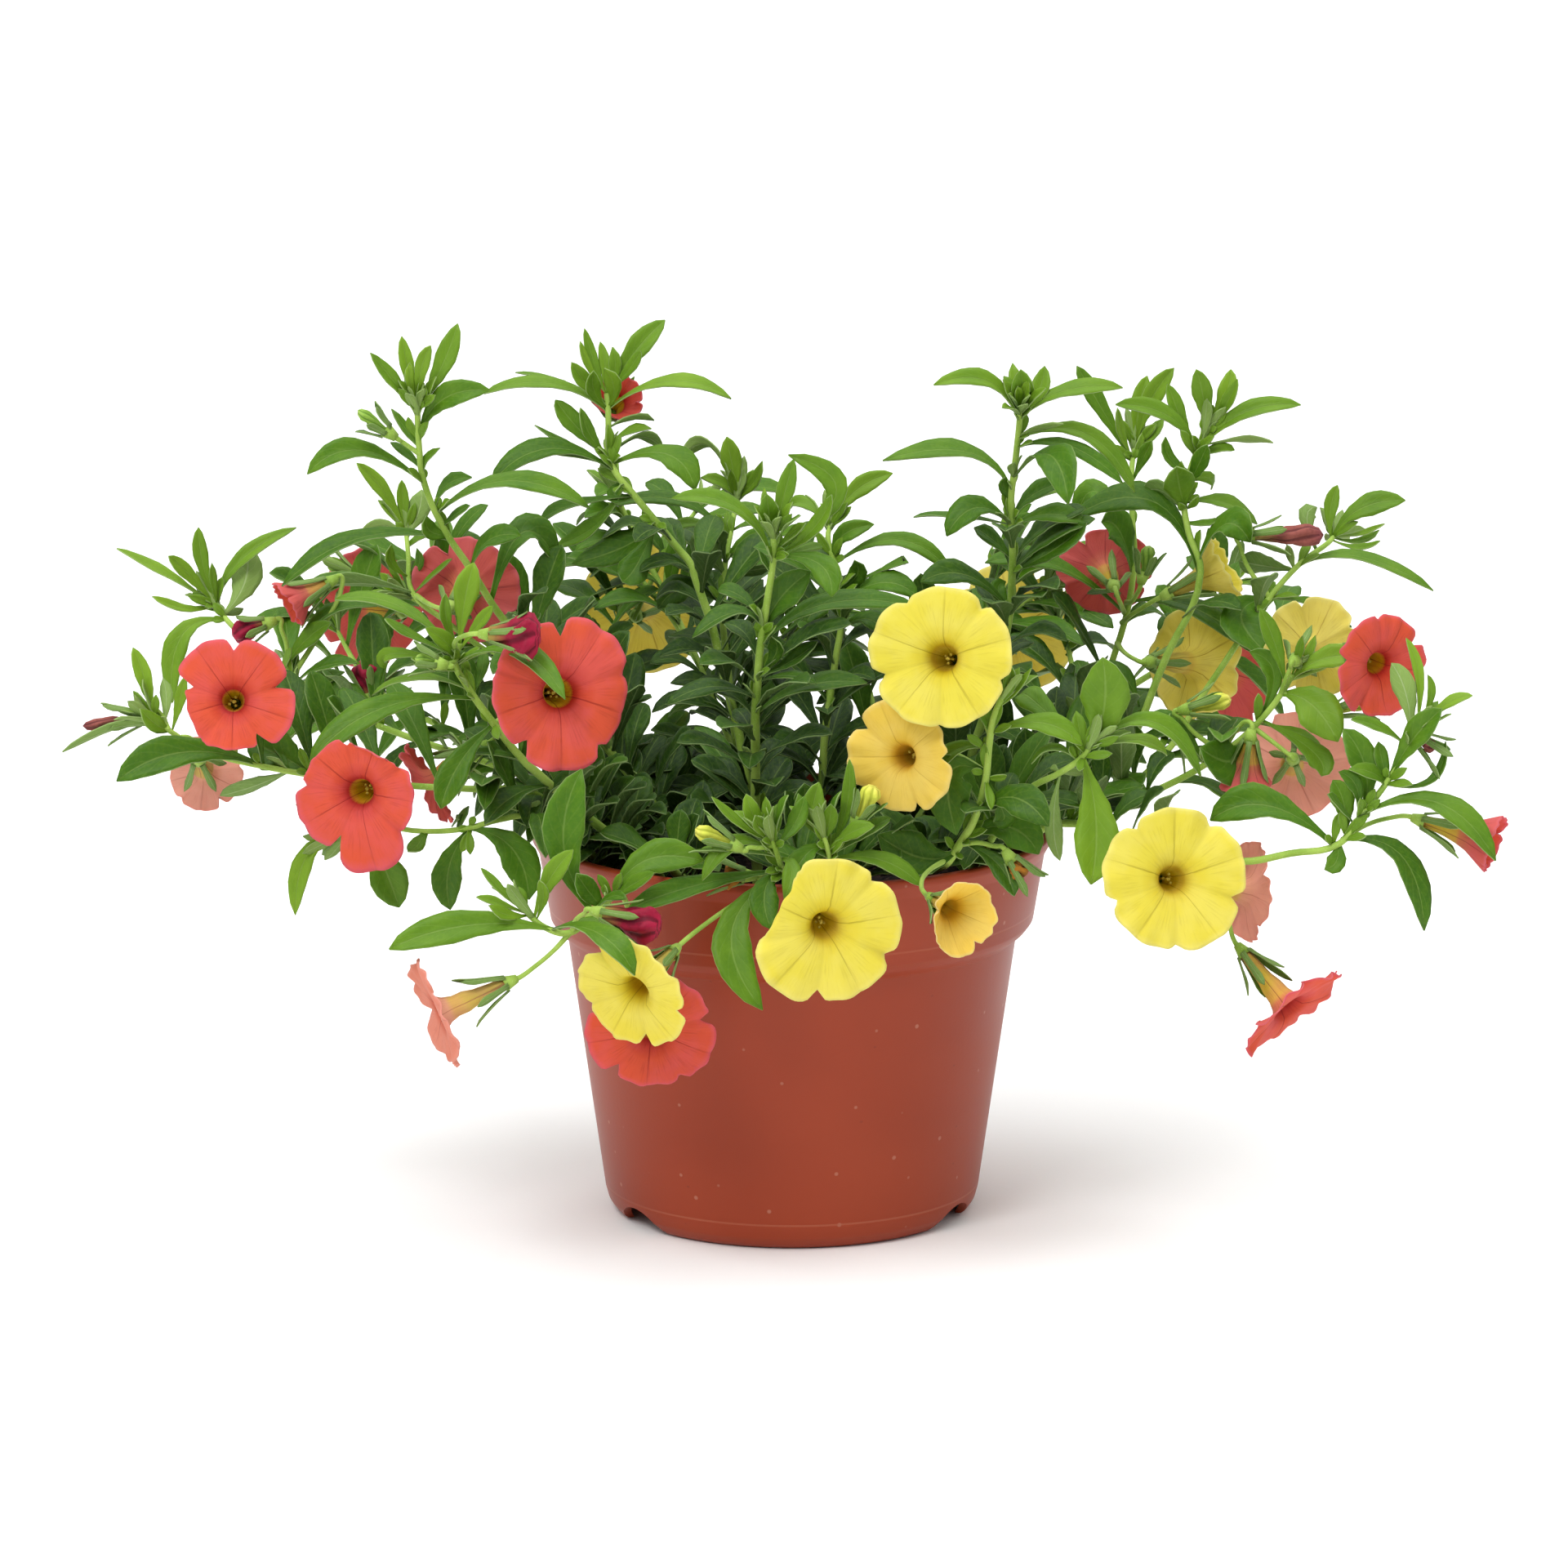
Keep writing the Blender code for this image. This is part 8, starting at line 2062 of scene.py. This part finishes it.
def furled(hue: Hue, length: float, wide: float, number: int) -> bmesh.types.BMesh:
    """A furled or withered flower along local Z, its folds winding round it.

    Args:
        hue: its colour, which also says how withered it is.
        length: its length.
        wide: its greatest radius.
        number: a whole number of its own.

    Returns:
        Its mesh.
    """
    withered = hue in (Hue.BROWN, Hue.DRIED)
    bm = bmesh.new()
    drawn(bm, tuple((wide * eased(BUD_OUTLINE, step / 16), length * step / 16) for step in range(17)))
    spun(bm, 30)
    bmesh.ops.recalc_face_normals(bm, faces=bm.faces)
    mapped_round(bm, {vert: vert.co.z / length for vert in bm.verts})
    for vert in bm.verts:
        share = vert.co.z / length
        turn = math.atan2(vert.co.y, vert.co.x)
        pleat = 1.0 + 0.22 * math.cos(5.0 * (turn + share * math.tau * 0.25)) * min(1.0, share * 3.0)
        if withered:
            pleat += 0.32 * noise.noise(Vector((turn * 1.2, share * 5.0, number * 3.0)))
        vert.co.x *= pleat
        vert.co.y *= pleat
        if withered:
            vert.co.x += wide * 0.5 * noise.noise(Vector((share * 3.0, 0.0, number * 2.0)))
    return bm


# How deep the notches between the lobes are and how uneven the lobes, as shares of a flower's radius.
NOTCHES = {
    Hue.YELLOW: (0.09, 0.03), Hue.AMBER: (0.1, 0.05), Hue.CORAL: (0.16, 0.06), Hue.PEACH: (0.12, 0.05),
}


@dataclass
class Corolla:
    """The petals of one flower: a narrow tube that opens into five joined lobes."""

    bloom: Bloom
    number: int
    steps: int = 110
    thick: float = 0.25

    def profile(self) -> list[tuple[float, float]]:
        """The radius and the height of each ring, from the tube's foot to the rim."""
        wide = self.bloom.flower.spread * 0.5
        deep = self.bloom.flower.length
        if self.bloom.flower.form is Form.FUNNEL:
            tube = ((1.0, 0.0), (1.2, 0.16), (1.6, 0.32), (2.3, 0.48))
            limb = ((0.46, 0.62), (0.68, 0.76), (0.84, 0.86), (0.95, 0.93), (1.0, 0.97))
        else:
            tube = ((1.1, 0.0), (1.3, 0.2), (1.6, 0.42), (2.2, 0.56))
            limb = ((0.155, 0.7), (0.2, 0.82), (0.29, 0.92), (0.44, 0.945), (0.6, 0.955), (0.74, 0.965),
                    (0.86, 0.97), (0.95, 0.97), (1.0, 0.965))
        rings = tube + tuple((part * wide, share) for part, share in limb)
        return [(radius, share * deep) for radius, share in rings]

    def build(self, wardrobe: Wardrobe) -> bpy.types.Object:
        """Makes the petals.

        Args:
            wardrobe: the finishes.

        Returns:
            The piece.
        """
        flower = self.bloom.flower
        hue = flower.hue
        roll = math.radians(ROLLS.get(flower.name, self.number * 41.0))
        place = placing(self.bloom.mouth, self.bloom.facing, roll)
        if flower.form is Form.CLOSED:
            bm = furled(hue, flower.length, flower.spread * 0.5, self.number)
            bmesh.ops.transform(bm, matrix=place, verts=bm.verts)
            return shown(f"{flower.name}_petals", bm, [wardrobe.get(BUD_SKINS[hue])], (flower.name,))
        bm = bmesh.new()
        profile = self.profile()
        drawn(bm, profile)
        spun(bm, self.steps)
        radii = [radius for radius, _ in profile]
        shares = {}
        for vert in bm.verts:
            radius = math.hypot(vert.co.x, vert.co.y)
            index = min(range(len(radii)),
                        key=lambda at: abs(radii[at] - radius) + abs(profile[at][1] - vert.co.z))
            shares[vert] = index / (len(profile) - 1)
        mapped_round(bm, shares)
        for vert in bm.verts:
            self.shape(vert)
        bmesh.ops.recalc_face_normals(bm, faces=bm.faces)
        if sum(face.normal.z * face.calc_area() for face in bm.faces) < 0.0:
            bmesh.ops.reverse_faces(bm, faces=bm.faces)
        bmesh.ops.transform(bm, matrix=place, verts=bm.verts)
        skins = [wardrobe.get(FRONT_SKINS[hue]), wardrobe.get(BACK_SKINS[hue])]
        obj = shown(f"{flower.name}_petals", bm, skins, (flower.name,))
        thickened(obj, self.thick, 1)
        return obj

    def shape(self, vert: bmesh.types.BMVert) -> None:
        """Moves a vertex of the plain trumpet to give it lobes, notches, pleats and a wavy rim.

        Args:
            vert: the vertex, with the flower's axis along Z.
        """
        flower = self.bloom.flower
        wide = flower.spread * 0.5
        radius = math.hypot(vert.co.x, vert.co.y)
        turn = math.atan2(vert.co.y, vert.co.x)
        reach = max(0.0, (radius - 0.3 * wide) / (0.7 * wide))
        place = turn / math.tau * 5.0 + 0.5
        seed = self.number * 1.7 + int(place % 5.0) * 2.3
        off = abs(place % 1.0 - 0.5) * 2.0
        gap = self.number * 1.7 + round(place) % 5 * 2.9
        whole = 1.0 - off ** 4
        deep, uneven = NOTCHES[flower.hue]
        notch = math.exp(-((1.0 - off) / 0.13) ** 2)
        scale = 1.0 - reach ** 2 * (0.05 * off ** 2 + deep * (1.1 + 0.6 * math.sin(gap)) * notch)
        scale -= reach ** 2 * (uneven * whole * (1.0 + math.sin(seed)) - 0.01 * math.sin(turn * 13.0 + seed))
        scale -= reach ** 2 * uneven * 0.25 * math.exp(-(off / 0.14) ** 2)
        scale += reach ** 2 * (LOBES.get(flower.name, EVEN)[int(place % 5.0)] - 1.0) * whole
        lift = reach * (0.05 * (1.0 - off * off) - 0.045 * notch - 0.03 * math.exp(-(off / 0.1) ** 2))
        lift += reach ** 2 * (uneven * whole * 2.0 * math.sin(seed * 2.1) - 0.03)
        crumple = noise.noise(Vector((math.cos(turn), math.sin(turn), self.number * 0.6)) * 2.6)
        lift += reach ** 2 * 0.09 * crumple + reach ** 3 * 0.025 * math.sin(turn * 17.0 + self.number)
        vert.co.x *= scale
        vert.co.y *= scale
        vert.co.z += lift * wide


class Stamens:
    """The anthers and the stigma in each open flower's throat."""

    def build(self, blooms: list[Bloom], wardrobe: Wardrobe) -> bpy.types.Object:
        """Makes them as one piece.

        Args:
            blooms: the flowers in their places.
            wardrobe: the finishes.

        Returns:
            The piece.
        """
        bm = bmesh.new()
        for number, bloom in enumerate(blooms):
            if bloom.flower.form is not Form.OPEN:
                continue
            deep = bloom.flower.length
            place = placing(bloom.mouth, bloom.facing, number * 0.7)
            rod = place @ Matrix.Translation((0.0, 0.0, 0.3 * deep))
            bmesh.ops.create_cone(bm, cap_ends=True, segments=8, radius1=0.28, radius2=0.28,
                                  depth=0.55 * deep, matrix=rod)
            flat = Matrix.Diagonal((1.0, 0.8, 0.6, 1.0))
            head = place @ Matrix.Translation((0.0, 0.0, 0.58 * deep)) @ flat
            bmesh.ops.create_icosphere(bm, subdivisions=2, radius=0.55, matrix=head)
            for step in range(4):
                turn = Matrix.Rotation(GOLDEN * step + number, 4, "Z")
                out = Matrix.Translation((0.8 + 0.12 * step, 0.0, (0.5 + 0.03 * step) * deep))
                bmesh.ops.create_icosphere(bm, subdivisions=2, radius=0.36, matrix=place @ turn @ out)
        return shown("stamens", bm, [wardrobe.get(Pollen())], ())


class Studio:
    """The pale floor, the soft light and the camera."""

    def build_floor(self) -> bpy.types.Object:
        """Makes the floor, wide enough to fill the picture."""
        made, put = blank("floor_matte_white")
        cloud = put("TexNoise", put("TexCoord", output="Object"), 1.5)
        tone = put("Mix", cloud, linear("#F6F6F6"), linear("#FAFAFA"), **COLOUR)
        put("OutputMaterial", put("BsdfPrincipled", named={
            "Base Color": tone, "Roughness": 0.9, "Specular IOR Level": 0.1}))
        bm = bmesh.new()
        bmesh.ops.create_circle(bm, cap_ends=True, segments=64, radius=9.0)
        floor = linked("floor", meshed("floor", bm))
        floor.data.materials.append(made)
        floor.location.z = -0.0002
        return floor

    def lamp(self, name: str, place: tuple[float, float, float], size: float, power: float) -> None:
        """Sets a square soft lamp that looks at the plant.

        Args:
            name: its name.
            place: where it hangs, in m.
            size: its side in m.
            power: in W.
        """
        light = bpy.data.lights.new(name, "AREA")
        light.size = size
        light.energy = power
        obj = linked(name, light)
        obj.location = place
        aim = Vector((0.0, 0.0, 0.1)) - Vector(place)
        obj.rotation_euler = aim.to_track_quat("-Z", "Y").to_euler()

    def build(self) -> None:
        """Sets the studio up."""
        self.build_floor()
        self.lamp("key", (-0.9, -1.6, 1.9), 0.9, 30.0)
        self.lamp("top", (0.2, 0.1, 2.2), 2.0, 15.0)
        world = bpy.data.worlds.new("studio")
        world.use_nodes = True
        tree = world.node_tree
        put = partial(add_node, tree)
        height = put("SeparateXYZ", put("TexCoord", output="Generated"), output="Z")
        square = put("Math", put("Math", height, 0.0, **MOST), 2.0, operation="POWER")
        strength = put("Math", put("Math", square, 1.6, **TIMES), 0.35, **ADD)
        background = tree.nodes["Background"]
        background.inputs["Color"].default_value = (1.0, 1.0, 1.0, 1.0)
        tree.links.new(strength, background.inputs["Strength"])
        scene = bpy.context.scene
        scene.world = world
        scene.view_settings.view_transform = "Standard"
        camera = bpy.data.cameras.new("camera")
        camera.sensor_width = 36.0
        camera.lens = EYE.focal * camera.sensor_width / (2.0 * EYE.middle)
        camera.clip_end = 30.0
        eye = linked("camera", camera)
        eye.location = EYE.place * MM
        eye.rotation_euler = (math.radians(90.0) - EYE.elevation, 0.0, 0.0)
        scene.camera = eye


def main() -> None:
    """Builds the looks of the whole object."""
    wardrobe = Wardrobe()
    plant = Plant(frame["nodes"])
    plant.find()
    LOG.info("found %d leaves, %d flowers and %d buds", *map(len, (plant.leaves, plant.blooms, plant.knobs)))
    Pot().build(wardrobe)
    Soil().build(wardrobe)
    foliage = Foliage(plant, wardrobe)
    for shoot in SHOOTS:
        foliage.build_stems(shoot)
        foliage.build_leaves(shoot)
        foliage.build_buds(shoot)
    for number, bloom in enumerate(plant.blooms):
        Corolla(bloom, number).build(wardrobe)
    Stamens().build(plant.blooms, wardrobe)
    Studio().build()
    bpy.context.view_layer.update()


if __name__ == "__main__":
    main()
